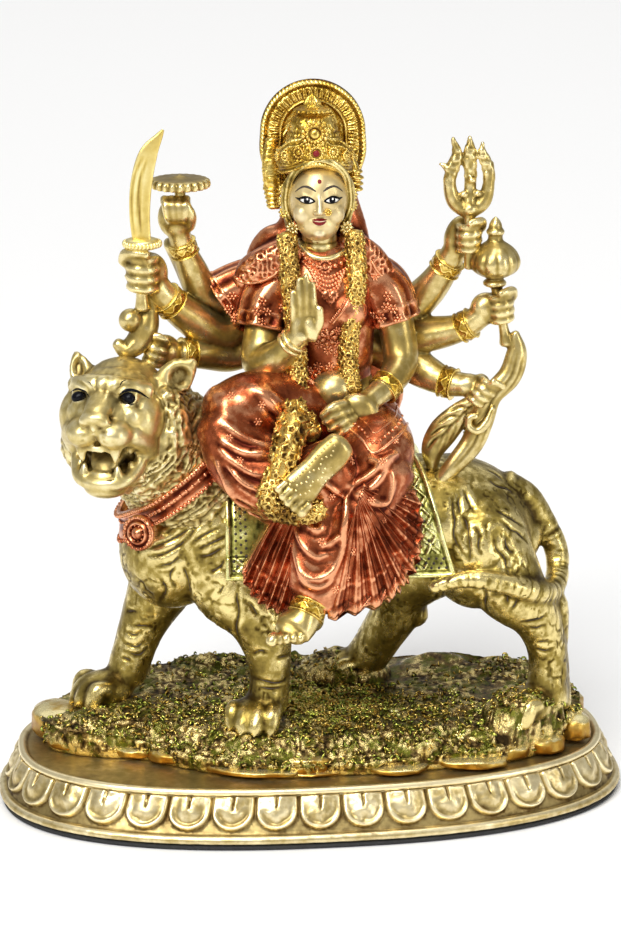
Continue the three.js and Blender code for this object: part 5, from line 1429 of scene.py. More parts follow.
def resting_hand():
    """The hand on the lap, seen from its back, with the four fingers reaching to the viewer's left."""
    forms = [blob((10.8, -24.2, 91.4), (4.9, 2.4, 3.7), (0, 30, 0), 24, 16)]
    for place in (-1.5, -0.5, 0.5, 1.5):
        start = np.array([8.4 + place * 1.25, -26, 90.6 - place * 1.75])
        forms.append(limb([[*start, 1.25], [*(start + [-3, -1.8, -0.5]), 1.18],
            [*(start + [-6 + abs(place) * 0.6, -1.5, -2.4]), 0.9]], 14, cap=1.0))
    forms.append(limb([[12.6, -25, 88.6, 1.5], [12.8, -27.4, 85.6, 1.25], [14.6, -28, 83.6, 0.9]], 14,
        cap=1.0))
    return forms


def bare_skin():
    """The arms, the hands and the body that show outside the cloth, as one skin."""
    forms = [limb(arm, 28, 8 * len(arm)) for arm in (FAR_LEFT_ARM, UPPER_LEFT_ARM, LOWER_LEFT_ARM,
        BLESSING_ARM, FAR_RIGHT_ARM, UPPER_RIGHT_ARM, LOWER_RIGHT_ARM, RESTING_ARM)]
    forms += [
        *disc_hand(),
        limb([[-30, 2, 115, 1.3, 2.6], [-32.5, 0, 122, 1.3, 2.6], [-35, -3, 128.4, 1.4, 2.4]], 12),
        blob((-39.4, -9.4, 122.4), (4.2, 3.6, 5.2)),
        *fist((-41.6, -11.6, 123.2), (0, 0, 1), (-0.1, -1, 0), 1.22),
        blob((-36.4, -7.6, 102.4), (4.2, 3.6, 4.2)),
        *fist((-38.6, -9.5, 103), (0.3, 0, 1), (0.2, -1, 0), 0.95), *open_hand(),
        blob((35.8, -3.8, 130), (3.0, 3.0, 5), (0, 20, 0)),
        *fist((38.6, -6.4, 130), (0, 0, 1), (0.3, -1, 0), 0.96, -1), blob((43, -6.4, 112), (4, 3.2, 4)),
        *fist((46.6, -7.2, 112.4), (-0.1, 0, 1), (0.3, -1, 0), 0.98, -1), blob((38.6, -7, 92.6), (4, 3, 3)),
        *fist((42.4, -8.4, 91.2), (0.6, 0, 0.8), (0.2, -1, -0.1), 0.95, -1), *resting_hand(),
        limb([[8, -2, 76, 12, 10], [6, -5, 88, 10.6, 8.4], [5, -6, 97, 9.4, 7.6], [3.6, -6, 107, 9, 7]], 36),
        blob((4.8, -16.0, 94), (5.7, 4.6, 5.0), sides=28, rows=18),
    ]
    return fused(forms, SKIN_CELL, 2)


def neck_form():
    """The neck and the bare top of the chest inside the neckline, with two soft folds round the throat."""
    points, faces = fused([
        limb([[2.4, -5.2, 121, 6.2], [2.2, -6, 126, 4.7], [1.8, -6.6, 131, 4.3], [1.6, -6.8, 135, 4.3]], 32),
        blob((3.2, -5.9, 122.2), (8.6, 5.8, 5.2), sides=32, rows=20)], 0.4, 3)
    folds = bump(points[:, 2] - 127.6, 0.35) + bump(points[:, 2] - 129.4, 0.3)
    return points - outlook(points, faces) * (0.2 * folds)[:, None], faces


def hanging_foot():
    """The bare foot below the anklet, with five toes at its tip."""
    forms = [limb([[-0.8, -36, 50, 4.1], [-2.4, -37.8, 45.4, 3.9], [-4.4, -40.0, 42.4, 4.4, 3.9],
        [-6.2, -41.2, 41.2, 4.8, 3.2], [-7.0, -42.0, 40.6, 4.3, 2.2]], 28, 40, across=(0, 0.75, -0.65)),
        blob((-1.8, -37.4, 42.0), (3.2, 3.2, 3.0))]
    for place, size in zip((-2, -1, 0, 1, 2), (1.6, 1.3, 1.25, 1.15, 1.0)):
        start = np.array([-7.5 + 1.75 * place, -43.2 + 0.25 * place, 40.2 + 0.12 * place])
        forms.append(limb([[*start, size], [*(start + [-0.6, -1.2, -0.4]), size],
            [*(start + [-0.9, -1.8, -1.0]), size * 0.8]], 12))
    return fused(forms, 0.34, 1)


def folded_foot():
    """The sole of the folded leg's foot, turned to the viewer, its toes like beads at the lower left."""
    up_sole = np.array([-0.72, -0.1, -0.69])
    aside = np.array([-0.69, -0.1, 0.72])
    heel = np.array([5.0, -38.6, 86.0])
    stations = [(0, 0, 3.9, 2.4), (3.6, 0, 4.3, 2.3), (8, 0.1, 4.0, 2.1), (12, 0, 4.5, 2.1),
        (14.6, 0, 4.6, 1.9)]
    path = [[*(heel + up_sole * a + aside * b + [0, -a * 0.16, 0]), wide, deep] for a, b, wide,
        deep in stations]
    forms = [limb(path, 32, 40)]
    for place, size in zip((-2, -1, 0, 1, 2), (1.5, 1.15, 1.1, 1.0, 0.95)):
        tip = heel + up_sole * (17.6 - 0.35 * place * place * 0.5) + aside * place * 2.05 + [0, -3.6, 0]
        forms.append(blob(tip, (size, size, size * 1.15), sides=14, rows=9))
        forms.append(limb([[*(tip - up_sole * 2.4), size * 0.8], [*tip, size * 0.8]], 10))
    along = np.tile(np.arange(0.5, 15, 1.05), 4)
    line = np.repeat((-3.1, -1.2, 1.0, 2.9), len(along) // 4)
    wave = line + 0.55 * np.sin(along * 1.5 + line) * (np.abs(line) < 2)
    ahead = 2.2 * np.sqrt(1 - (wave / 4.4) ** 2) + 0.16 * along - 0.02
    spots = heel + along[:, None] * up_sole + wave[:, None] * aside - ahead[:, None] * [0, 1, 0]
    beads = set_out(blob((0, 0, 0), (0.34, 0.34, 0.24), sides=8, rows=5), spots,
        np.tile([0, -1.0, 0], (len(spots), 1)))
    return joined([fused(forms, 0.36, 1), beads])


THIGH_FOLDS = [
    [(217.5, 446.7), (231.7, 460), (251.7, 473), (268, 476)],
    [(215, 460), (223, 475), (238, 495), (257, 508)], [(221.7, 458), (236.7, 475), (251.7, 487), (263, 493)],
    [(216.7, 462), (230, 490), (245, 508), (262, 517), (275, 519)],
    [(222, 422), (245, 438), (268, 446), (280, 447)], [(218, 438), (240, 451), (270, 457)],
    [(250, 451), (270, 455)], [(226, 480), (238, 500), (252, 512)], [(232, 470), (246, 483), (262, 488)],
    [(247, 385), (262, 397), (275, 410), (284, 420)], [(253, 383), (268, 397), (284, 413)],
    [(262, 385), (275, 397), (287, 409)],
]
SHIN_FOLDS = [
    [(293, 523), (303, 545), (317, 557), (329, 552)],
    [(290, 537), (298, 565), (308, 577), (319, 579), (333, 570),
        (342, 553), (345, 525), (346, 507)],
    [(297, 567), (303, 580), (315, 587), (328, 583), (338, 568)], [(307, 525), (317, 530), (324, 526)],
    [(320, 547), (333, 542), (341, 534)], [(346, 500), (347, 515), (343, 535)],
    [(322, 480), (334, 490), (346, 498)], [(360, 480), (350, 492), (346, 505)],
]
KNEE_FOLDS = [
    [(352, 492), (372, 502), (386, 503), (392, 488), (391, 470)],
    [(356, 492), (370, 488), (382, 476), (388, 462)], [(345, 487), (365, 478), (385, 462), (398, 452)],
    [(368, 458), (382, 462), (396, 452)],
]


def sari_legs():
    """The clothed legs as one skin, with every fold a ridge and a groove below it."""
    forms = [
        limb([[6, -6, 80, 12, 12], [-6, -15, 87, 11.5, 10], [-16, -21, 90.6, 9.8, 9],
            [-23.2, -24, 91, 6.8, 7]], 36, 50),
        limb([[-23, -25, 88.5, 6.8, 7], [-17, -28, 80, 9.4, 7.5], [-6, -31, 74, 9, 7], [5, -33, 79, 8, 6]],
            36, 50),
        limb([[-21, -23, 84, 5, 5], [-17.5, -24, 76, 6, 5], [-10, -26, 67.5, 5, 5], [-2, -29, 66, 4.5, 5]],
            28, 40),
        limb([[8.6, -4, 78, 12.2, 12], [12.4, -14, 80, 11.2, 11], [14.4, -25, 80.5, 9.8, 10],
            [14, -31, 76, 8.2, 8]], 36, 50),
        limb([[15.5, -30, 78, 8.8, 8.5], [10.4, -33, 68, 7.6, 7.4], [4.6, -34, 58, 7.4, 6.6],
            [-0.6, -35, 47.4, 6.6, 6]], 36, 50),
        limb([[8, -2, 70, 14, 12], [8, -3, 80, 15.5, 12], [6.6, -4.6, 87, 13, 9.6]], 36, 30),
        limb([[1.0, -32.6, 71, 5.6, 4.8], [-0.4, -35.2, 60, 6.2, 4.6], [-1.4, -36.8, 50.8, 6.0, 4.6]], 28,
            30),
    ]
    points, faces = fused(forms, CLOTH_CELL, 4)
    tree = tree_of((points, faces))
    facing = outlook(points, faces)
    for folds, width, height in ((THIGH_FOLDS, 1.0, 0.8), (SHIN_FOLDS, 0.95, 0.85), (KNEE_FOLDS, 1.0, 1.0)):
        lines = [drawn(tree, line)[0] for line in folds]
        points = carved(points, facing, lines, width, height)
        points = carved(points, facing, [line - [0, 0, 1.5] for line in lines if len(line)], 0.8 * width,
            -0.45)
    return points, faces


def pleat_fan(top, bottom, count, depth, thickness, lean=0.0, across=200, down=60):
    """A fan of pleats: the front runs from the top curve to the bottom one, raised by the pleats, each a
    slanted wave that grows from nothing at the top, and ends in a hem that dips between the pleats."""
    top, bottom = np.array(top, float), np.array(bottom, float)

    def shape(u, v):
        steps = np.clip((u[0] * (u.shape[1] - 1)).round().astype(int), 0, u.shape[1] - 1)
        upper = smooth_line(top, u.shape[1])[steps][None]
        lower = smooth_line(bottom, u.shape[1])[steps][None]
        phase = (u * count + 0.12 * np.sin(7 * u + 3 * v) + lean * v) % 1
        wave = np.where(phase < 0.68, ease(phase, 0, 0.68), ease(phase, 1, 0.68))
        fine = 0.07 * np.sin(2 * np.pi * (u * count * 3 + 0.3 * v))
        raised = depth * (wave + fine) * ease(v, -0.15, 0.5)
        hem = 1 - 0.018 * (1 - wave) * ease(v, 0.6, 1)
        place = upper + (lower - upper) * (v * hem)[..., None]
        side = np.gradient(place, axis=1)
        drop = np.gradient(place, axis=0)
        normal = unit(np.cross(drop, side))
        normal = normal * np.where(normal[..., 1:2] > 0, -1, 1)
        edge = 0.4 * bump((1 - v) * 24 - 0.9, 0.7) - 0.25 * bump((1 - v) * 24 - 2.4, 0.5)
        edge = edge + 0.3 * bump((1 - v) * 24 - 6.4, 0.5)
        place = place + normal * (raised + edge * 0.8)[..., None]
        return np.moveaxis(place, -1, 0)

    return sheet(shape, across, down, thickness, (0.1, 0.95, 0.2))


def sari_pleats():
    """The fans of pleats at the left, at the right, and over the front of the shin."""
    return [
        pleat_fan([[-9.5, -31, 68.4], [-6, -33, 67.6], [-2.4, -35, 67.6], [1, -36, 66]],
            [[-18.4, -29.4, 51.4], [-14.6, -31.9, 45.6], [-9, -34.9, 43], [-1, -37.9, 42.6]], 7, 1.7, 4.6),
        pleat_fan([[11.6, -33.4, 77], [10.6, -35.9, 74.6], [8.4, -37.9, 71], [6.6, -38.4, 66]],
            [[24.6, -24.9, 62], [24, -26.9, 52], [16.6, -30.4, 44.4], [2, -36.9, 42]], 10, 1.8, 4.6,
            across=260),
        pleat_fan([[10.6, -40.6, 76.8], [10.2, -41.2, 75.6], [9.4, -41.6, 74.0], [8.6, -41.8, 71.6]],
            [[24.2, -31, 72], [24.8, -32, 59], [17.4, -34.6, 46.4], [1.8, -38.8, 43]], 10, 1.3, 1.6,
            across=280, down=70),
    ]


def veil_cloth():
    """The veil from the halo down the back, hollow in front, with long soft folds behind."""
    forms = [
        limb([[1.2, 3, 150, 8.4, 2.6], [2.4, 3, 138, 9.4, 4], [2.8, 2.5, 131, 11.6, 4.6],
            [1.4, 2.5, 123, 17.4, 5.4], [2.6, 4, 112, 18.6, 5], [6, 5, 94, 17.6, 5], [7, 9.5, 76, 15, 6],
            [8, 10, 70, 14, 6]], 48, 70),
        limb([[-3, -2, 128, 3, 3], [-10, -3, 124, 4.2, 4], [-15, -3.5, 120.4, 4.4, 3.4],
            [-17.6, -4, 118.4, 2.4, 2]], 24),
        limb([[8, -3, 129, 3.4, 3], [14, -2, 124, 4.2, 4], [20, -1, 117.5, 3, 3]], 24),
    ]
    points, faces = fused(forms, 0.62, 3)
    facing = outlook(points, faces)
    x, y, z = points.T
    behind = ease(y, 4, 7)
    spread = (x - 3) / (1 + 0.012 * (140 - z))
    waves = np.sin(spread * 1.15 + 0.5 * np.sin(z / 9)) + 0.4 * np.sin(spread * 2.7 + z / 14)
    return points + facing * (0.55 * behind * waves)[:, None], faces


def blouse():
    """The trunk of the dress with its two round breasts."""
    forms = [
        limb([[5.4, -6, 95, 9.6, 7.6], [5, -6, 97, 10.2, 8.4], [3.6, -6, 107, 12, 9.2],
            [2.6, -6, 114, 13, 9.4], [2.4, -5.2, 120, 12.6, 8.4], [2.6, -4.8, 124.2, 9.6, 6.9]], 48, 50),
        *[blob((3.2 + side * 5.2, -12, 113), (5, 4.6, 5), sides=28, rows=18) for side in (-1, 1)],
    ]
    return fused(forms, 0.5, 3)


def sleeve(stations, hem, sides=72):
    """A bell of a sleeve: rings about a smooth line, whose radius carries soft folds and, near the open end,
    two raised bands with a row of knobs between them; its end is hollow."""
    line = smooth_line([list(s) for s in stations], 40)
    along = unit(np.gradient(line[:, :3], axis=0))
    deep, wide = square_to(along, (0, 1, 0.1))
    turn = angles(sides)
    share = np.linspace(0, 1, 40)[:, None]
    length = np.linalg.norm(np.diff(line[:, :3], axis=0), axis=1).sum()
    left = (1 - share) * length
    folds = 0.45 * share * np.sin(9 * turn + 1.5 * np.sin(2 * turn))[None]
    band = 0.3 * bump(left - 0.5, 0.45) + 0.3 * bump(left - hem, 0.4)
    knobs = 0.25 * np.cos(turn * 16)[None] * np.cos(np.pi * (left / hem - 0.5)) * (left < hem)
    out = folds + band + knobs * ease(left, 0.6, 1.2)
    aside = (wide[:, None] * np.cos(turn)[None, :, None]) * (line[:, 3:4] + out)[..., None]
    ahead = (deep[:, None] * np.sin(turn)[None, :, None]) * (line[:, 4:5] + out)[..., None]
    rings = line[:, None, :3] + aside + ahead
    ends = [-1, -4, -10]
    middle = line[ends, None, :3]
    inner = middle + (rings[ends] - middle) * np.array([0.9, 0.86, 0.4])[:, None, None]
    return closed(np.concatenate([rings, inner]))


def sleeves():
    """The three wide sleeves."""
    return joined([
        sleeve([[-5, -3.6, 121, 7, 7], [-10.2, -5.6, 115, 7.4, 7.4], [-12.4, -9, 107.2, 6.9, 7.2]], 3.4),
        sleeve([[-8, 0, 120, 6, 6], [-17, 1, 115.5, 7.4, 6.4], [-21.6, 1, 112.4, 8, 6.6]], 3.0),
        sleeve([[12, -3, 121, 6, 6.6], [17.4, -4, 117, 6.8, 7], [20.2, -5, 108.6, 6.6, 6.6]], 3.4),
    ])


CAPES = (
    ([[-4.6, -11.0, 128.0, 2.6, 1.2], [-9.0, -11.6, 126.0, 3.7, 1.5], [-13.6, -10.6, 123.6, 3.6, 1.5],
        [-17.4, -8.4, 121.4, 2.2, 1.1], [-18.6, -7.4, 120.6, 0.9, 0.8]],
        [(284, 264), (276, 273), (264, 280), (250, 283), (240, 281), (234, 276)]),
    ([[10.8, -9.0, 131.0, 1.6, 1.1], [13.4, -9.2, 127.2, 2.8, 1.4], [17.0, -8.2, 122.4, 3.2, 1.4],
        [20.4, -6.4, 118.6, 1.9, 1.1], [21.6, -5.6, 117.2, 0.8, 0.8]],
        [(372, 262), (378, 272), (388, 280), (398, 284), (404, 283)]),
)


def capes():
    """The two flaps of cloth over the shoulders, with curls in low relief and a rolled lower edge."""
    forms = []
    for stations, edge in CAPES:
        points, faces = limb(stations, 60, 110, (-0.1, 1, -0.3))
        facing = outlook(points, faces)
        curls = 1 - 2 * np.abs(grain(points, 1.1, 71))
        form = points + facing * (0.3 * curls * ease(-facing[:, 1], 0.3, 0.8))[:, None], faces
        forms += [form, cords_on(tree_of(form), [edge], 0.42)]
    return joined(forms)


def beads_on(tree, lines, radius, pitch):
    """Beads in rows along lines drawn on a form."""
    bead = blob((0, 0, 0.2 * radius), (radius, radius, radius), sides=8, rows=6)
    rows = [drawn(tree, line, pitch) for line in lines]
    return joined([set_out(bead, *row) for row in rows if len(row[0])])


def cords_on(tree, lines, half, past=0.0):
    """Rounded cords along lines drawn on a form."""
    forms = []
    for line in lines:
        spots, facing = drawn(tree, line, 2.0)
        if len(spots) > 3:
            forms.append(limb(np.column_stack([spots + facing * past, np.full(len(spots), half)]), 10,
                2 * len(spots)))
    return joined(forms)


def hearts():
    """A heart-shaped pendant: two round lobes and a point, with a rim of beads and a boss."""
    turn = angles(22)
    x = 0.125 * 16 * np.sin(turn)**3
    y = 0.125 * (13 * np.cos(turn) - 5 * np.cos(2 * turn) - 2 * np.cos(3 * turn) - np.cos(4 * turn))
    body = [blob((-0.9, 0.5, 0.1), (1.2, 1.2, 0.45), sides=16, rows=8),
        blob((0.9, 0.5, 0.1), (1.2, 1.2, 0.45), sides=16, rows=8),
        blob((0, -0.4, 0.1), (1.25, 1.4, 0.45), (0, 0, 45), 16, 8),
        blob((0, 0.1, 0.5), (0.6, 0.6, 0.4), sides=10, rows=6)]
    return joined(body + [blob((a, b, 0.2), (0.26, 0.26, 0.3), sides=6, rows=5) for a, b in zip(x, y)])


SMALL_FLOWERS = ((276, 277), (283, 308), (375, 277), (231, 395), (258, 422), (229, 438), (352, 461),
    (382, 462), (332, 497), (322, 542), (354, 552), (282, 568), (347, 578), (274, 592), (262, 405),
    (372, 500), (385, 520), (240, 460), (395, 440), (336, 590))
SLEEVE_FLOWERS = ((262, 301), (257, 311), (267, 312), (262, 322), (388, 296), (386, 307), (393, 309),
    (381, 318), (232, 296), (229, 309), (235, 318), (374, 315), (398, 318), (252, 262), (266, 268),
    (246, 274))
CHEST_FLOWERS = ((328, 337, 2.5), (320, 330, 1.3), (337, 331, 1.3), (319, 344, 1.3), (338, 344, 1.3),
    (328, 350, 1.5), (337, 354, 1.2), (309, 370, 1.5), (318, 366, 1.4), (330, 367, 1.5), (339, 373, 1.4),
    (310, 382, 1.4), (331, 384, 1.4), (321, 377, 2.2), (341, 384, 1.2), (303, 377, 1.2))


SASH_LINES = [
    [(408, 404), (407, 424), (393, 440), (373, 453), (362, 440), (348, 428), (336, 423)],
    [(397, 404), (395, 416), (384, 427), (374, 433), (367, 424), (356, 415)],
]


def ornaments(tree):
    """Everything sewn or hung on the dress: the neck band, rows of beads, the pendant, clusters of flowers,
    and small flowers all over the cloth."""
    net = [[(303 + 3 * k, 262 + 3 * k), (314 + k, 271 + 4.4 * k), (328, 277 + 4.6 * k),
        (342 - k, 271 + 4.4 * k), (353 - 3 * k, 262 + 3 * k)] for k in range(5)]
    forms = [beads_on(tree, net, 0.5, 3.0),
        beads_on(tree, [[(300, 250), (308, 261), (318, 267), (328, 268), (343, 262), (355, 250)]], 0.7, 4.6),
        beads_on(tree, [[(354, 268), (350, 290), (341, 308), (330, 322)]], 0.4, 2.4),
        cords_on(tree, [[(357, 268), (353, 290), (344, 309), (332, 324)]], 0.42)]
    flower = joined([blossom_form(7, 1.0), rosette(0.42, 7)])
    x, y, size = np.array(CHEST_FLOWERS).T
    for column, row, wide in zip(x, y, size):
        forms.append(set_out(flower, *met(tree, [(column, row)], 0.15), wide))
    forms.append(set_out(rosette(1.7, 12), *met(tree, [(325, 267)], 0.3)))
    forms.append(set_out(hearts(), *met(tree, [(330, 297)], 0.3)))
    forms.append(set_out(blossom_form(6, 1.5), *met(tree, SLEEVE_FLOWERS, 0.1)))
    forms.append(cords_on(tree, SASH_LINES[:1], 0.45))
    forms.append(cords_on(tree, SASH_LINES[1:], 0.26))
    forms.append(beads_on(tree, [[(402, 408), (400, 422), (388, 434), (373, 443), (364, 432), (352, 421)]],
        0.45, 4.0))
    small = joined([blossom_form(6, 1.25), rosette(0.45, 6)])
    forms.append(set_out(small, *met(tree, SMALL_FLOWERS, -0.05)))
    return joined(forms)


WRIST_WAY = (-0.62, -0.56, -0.55)
ANKLE = [[-0.8, -36, 50, 4.1], [-2.4, -37.8, 45.4, 3.9], [-4.4, -40, 42.4, 4.4]]
BANGLES = ((ANKLE, (-2.6, -38, 44.8)), (FAR_LEFT_ARM, (-31.2, -3.5, 127.7)),
    (UPPER_LEFT_ARM, (-35.7, -7, 114.9)), (LOWER_LEFT_ARM, (-31.0, -5, 101)),
    (FAR_RIGHT_ARM, (33, -2, 122.5)), (UPPER_RIGHT_ARM, (38, -5.5, 107.6)),
    (LOWER_RIGHT_ARM, (33.9, -5.5, 93.6)), (RESTING_ARM, (17.6, -16.4, 95.0), WRIST_WAY))


def wrist(arm, place, way=None):
    """The middle, the half width and the directions of an arm at the nearest place of its line: the way it
    runs, the way away from the viewer and the way aside."""
    line = smooth_line([list(s) + [s[3]] * (5 - len(s)) for s in arm], 200)
    middle = int(np.clip(np.argmin(np.linalg.norm(line[:, :3] - place, axis=1)), 4, 195))
    along = unit(line[middle + 4, :3] - line[middle - 4, :3] if way is None else np.array(way))
    deep = unit(np.array([0.0, 1.0, 0.0]) - along * along[1])
    return line[middle, :3], line[middle, 3], along, deep, np.cross(deep, along)


def bangle(arm, place, way=None, wide=1.75, sides=96):
    """A band round an arm at the nearest place of its line: raised rims, rows of dots inside them and
    a wavy stem between, all as relief of the band's radius."""
    centre, half, along, deep, aside = wrist(arm, place, way)
    turn = angles(sides)[:, None]
    across = np.linspace(-1, 1, 25)[None]
    dots = (0.5 + 0.5 * np.cos(turn * 24)) * bump(np.abs(across) - 0.68, 0.09)
    relief = 0.32 * bump(np.abs(across) - 0.92, 0.09) - 0.3 * dots
    relief = relief + 0.2 * bump(across - 0.3 * np.sin(turn * 8), 0.16)
    radius = np.concatenate([half + 0.45 + relief, np.full((sides, 2), half - 0.8)], 1)
    shares = np.append(across[0], [1.0, -1.0])
    rings = centre + along * (wide * shares)[None, :, None]
    rings = rings + radius[..., None] * (aside * np.cos(turn)[..., None] + deep * np.sin(turn)[..., None])
    return hooped(rings)


def double_ring(arm, place):
    """A plain bracelet of two rounded rings."""
    centre, half, along, deep, aside = wrist(arm, place)
    turn = angles(64)[:, None]
    forms = []
    for shift in (-0.75, 0.75):
        out = aside * np.cos(turn) + deep * np.sin(turn)
        around = centre + along * shift + (half + 0.15) * out
        small = angles(10)[None, :, None]
        forms.append(hooped(around[:, None] + 0.6 * (out[:, None] * np.cos(small) + along * np.sin(small))))
    return joined(forms)


def make_dress():
    """The goddess's skin, cloth and bangles."""
    figure_piece("bare_skin", bare_skin(), SKIN)
    figure_piece("hanging_foot", hanging_foot(), SKIN)
    figure_piece("folded_foot", folded_foot(), SKIN)
    sari = sari_legs()
    figure_piece("sari_legs", sari, COPPER)
    for name, form in zip(("left_pleats", "right_pleats", "front_pleats"), sari_pleats()):
        figure_piece(name, form, COPPER)
    veil, top, arms = veil_cloth(), blouse(), sleeves()
    figure_piece("veil", veil, COPPER)
    figure_piece("blouse", top, COPPER)
    figure_piece("sleeves", arms, COPPER)
    cloth = joined([veil, top, arms])
    figure_piece("capes", capes(), COPPER)
    dress = tree_of(joined([cloth, sari]))
    figure_piece("dress_ornaments", ornaments(dress), COPPER)
    throat = neck_form()
    figure_piece("neck", throat, SKIN)
    neck = tree_of(joined([cloth, throat]))
    neckline = [(299, 240), (304, 250), (314, 257), (328, 258.5), (344, 252), (354, 241)]
    figure_piece("neckline", cords_on(neck, [neckline], 0.75), SKIN)
    figure_piece("bangles", joined([bangle(*spot) for spot in BANGLES]), GOLD)
    figure_piece("blessing_bracelet", double_ring(BLESSING_ARM, (-5.2, -19.6, 106.8)), SKIN)


# Goddess: head, crown, halo and what the hands hold

HEAD_PLACE = np.array([1.4, -7.0, 139.5])
FACE_CENTRE = HEAD_PLACE[0]


def head_form():
    """An egg of a head with a small jaw, cheeks, a fine nose, closed lips and shallow sockets."""
    lump = lambda place, half, lean=(0, 0, 0), detail=(28, 18): blob(HEAD_PLACE + place, half, lean, *detail)
    both = lambda make: [make(-1), make(1)]
    forms = [
        lump((0, 0, 1.4), (7.6, 8.5, 9.6), detail=(44, 30)), lump((0, -3.9, -4.6), (5.2, 4.2, 4.6)),
        limb([[1.4, -14.9, 142.6, 0.55], [1.4, -15.8, 140.2, 0.62], [1.4, -16.7, 138.2, 0.85]], 14),
        *both(lambda s: lump((s * 0.95, -8.6, -1.5), (0.6, 0.75, 0.5), detail=(12, 8))),
        *both(lambda s: lump((s * 3.0, -6.9, 1.6), (1.8, 1.35, 0.95), detail=(20, 12))),
        *both(lambda s: lump((s * 3.6, -5.2, -2.2), (2.7, 2.4, 2.9))),
        lump((0, -7.9, -3.35), (1.5, 0.75, 0.42)), lump((0, -7.7, -4.25), (1.3, 0.85, 0.5)),
        lump((0, -7.0, -6.6), (1.7, 1.3, 1.3)),
    ]
    points, faces = fused(forms, 0.26, 7)
    for side in (-1, 1):
        gap = np.hypot(points[:, 0] - FACE_CENTRE - side * 3.0, points[:, 2] - 142.9)
        points[:, 1] += 0.35 * bump(gap, 1.3) * (points[:, 1] < -10)
    return points, faces


def hair_form():
    """Smooth hair parted in the middle that frames the face down to the ears, with strands along it."""
    forms = []
    for side in (-1, 1):
        path = [(0.1, -13.6, 151.0, 0.8), (3.0, -13.4, 150.0, 1.0), (5.8, -11.6, 147.4, 1.1),
            (7.4, -9.6, 144.0, 1.15), (7.8, -8.2, 140.0, 1.2), (7.5, -7.6, 136.6, 1.2),
            (6.9, -6.6, 133.6, 1.1), (6.4, -5.4, 131.4, 0.9)]
        forms.append(limb([[FACE_CENTRE + side * x, y, z, half, 1.3] for x, y, z, half in path], 20, 70))
    forms.append(blob(HEAD_PLACE + [0, 3.4, 1.2], (8.1, 6.6, 9.8), sides=40, rows=26))
    points, faces = fused(forms, 0.3, 2)
    facing = outlook(points, faces)
    across, up = points[:, 0] - FACE_CENTRE, points[:, 2] - 141
    ring = np.hypot(across, 0.72 * up)
    strands = np.sin(ring * 6.5 + 0.6 * np.sin(up * 0.8)) * ease(points[:, 1], -3, -8)
    return points + facing * (0.13 * strands)[:, None], faces


def round_patch(x, z, radius, ground, lift, tall=1.0):
    """A round patch of paint."""
    turn = angles(12)
    return patch(np.column_stack([x + radius * np.cos(turn), z + radius * tall * np.sin(turn)]), ground, lift,
        24)


def pressed(stations, ground, lift=0.02, sides=8, depth=0.12):
    """A painted stroke: a flat tube along places [x, z, half width] dropped on a form from the front."""
    line = smooth_line([[x, 0, z, half] for x, z, half in stations], 26)
    flat = np.column_stack([line[:, 0], np.full(len(line), IN_FRONT), line[:, 2]])
    strip = np.concatenate([flat, flat + [0, 0, 0.02]])
    laid, _ = laid_on((strip, grid_faces(2, len(line))), ground, lift)
    return limb(np.column_stack([laid[:len(line)], line[:, 3], np.full(len(line), depth)]), sides,
        2 * len(line))


EYE = ((-1.75, -0.1), (-1.2, 0.42), (-0.3, 0.78), (0.6, 0.72), (1.4, 0.36), (2.1, 0.28), (1.5, -0.12),
    (0.7, -0.52), (-0.4, -0.66), (-1.3, -0.42))


def face_paint(face):
    """Large almond eyes with dark lids, arched brows, red lips and a red dot on the brow."""
    eyes = lambda lift: joined([patch(
        [(FACE_CENTRE + side * (3.15 + 1.25 * x), 141.1 + 1.3 * z) for x, z in EYE], face, lift)
        for side in (-1, 1)])
    figure_piece("eye_lids", eyes(0.05), EYE_DARK)
    whites = joined([patch([(FACE_CENTRE + side * (3.05 + 1.1 * x), 141.1 + 1.15 * z) for x, z in (
        (-1.35, -0.08), (-0.7, 0.3), (0.1, 0.44), (0.8, 0.3), (1.35, 0.02), (0.7, -0.3), (-0.1, -0.44),
        (-0.8, -0.32))], face, 0.1) for side in (-1, 1)])
    figure_piece("eye_whites", whites, EYE_WHITE)
    irises = joined([round_patch(FACE_CENTRE + side * 3.05, 141.2, 0.74, face, 0.15) for side in (-1, 1)])
    figure_piece("irises", irises, EYE_DARK)
    # A small white disc on each iris: a painted highlight.
    glints = joined([round_patch(FACE_CENTRE + side * 3.05 + 0.12, 141.4, 0.2, face, 0.2) for side in (-1,
        1)])
    figure_piece("eye_glints", glints, EYE_WHITE)
    brows = joined([pressed([(FACE_CENTRE + side * x, z, half) for x, z, half in (
        (1.0, 143.4, 0.18), (2.2, 144.1, 0.3), (3.6, 144.3, 0.28), (4.9, 143.6, 0.18), (5.7, 142.8, 0.08))],
        face)
        for side in (-1, 1)])
    figure_piece("brows", brows, DARK)
    lips = joined([
        patch([(FACE_CENTRE + x, 136.2 + z) for x,
            z in ((-1.9, 0.02), (-1.0, 0.36), (-0.4, 0.5), (0, 0.4), (0.4, 0.5),
                (1.0, 0.36), (1.9, 0.02), (0.9, -0.06), (-0.9, -0.06))], face, 0.06),
        patch([(FACE_CENTRE + x, 135.2 + z) for x,
            z in ((-1.7, 0.72), (0, 0.66), (1.7, 0.72), (1.1, 0.1), (0, -0.2),
                (-1.1, 0.1))], face, 0.06)])
    figure_piece("lips", lips, RED)
    figure_piece("brow_dot", round_patch(FACE_CENTRE, 145.6, 0.5, face, 0.1), RED)


CROWN_CENTRE = np.array([0.8, -6.0, 0.0])


def crown_axis(height):
    """The crown leans a little towards the viewer's left as it rises."""
    return CROWN_CENTRE[0] - 0.045 * np.maximum(height - 148, 0)


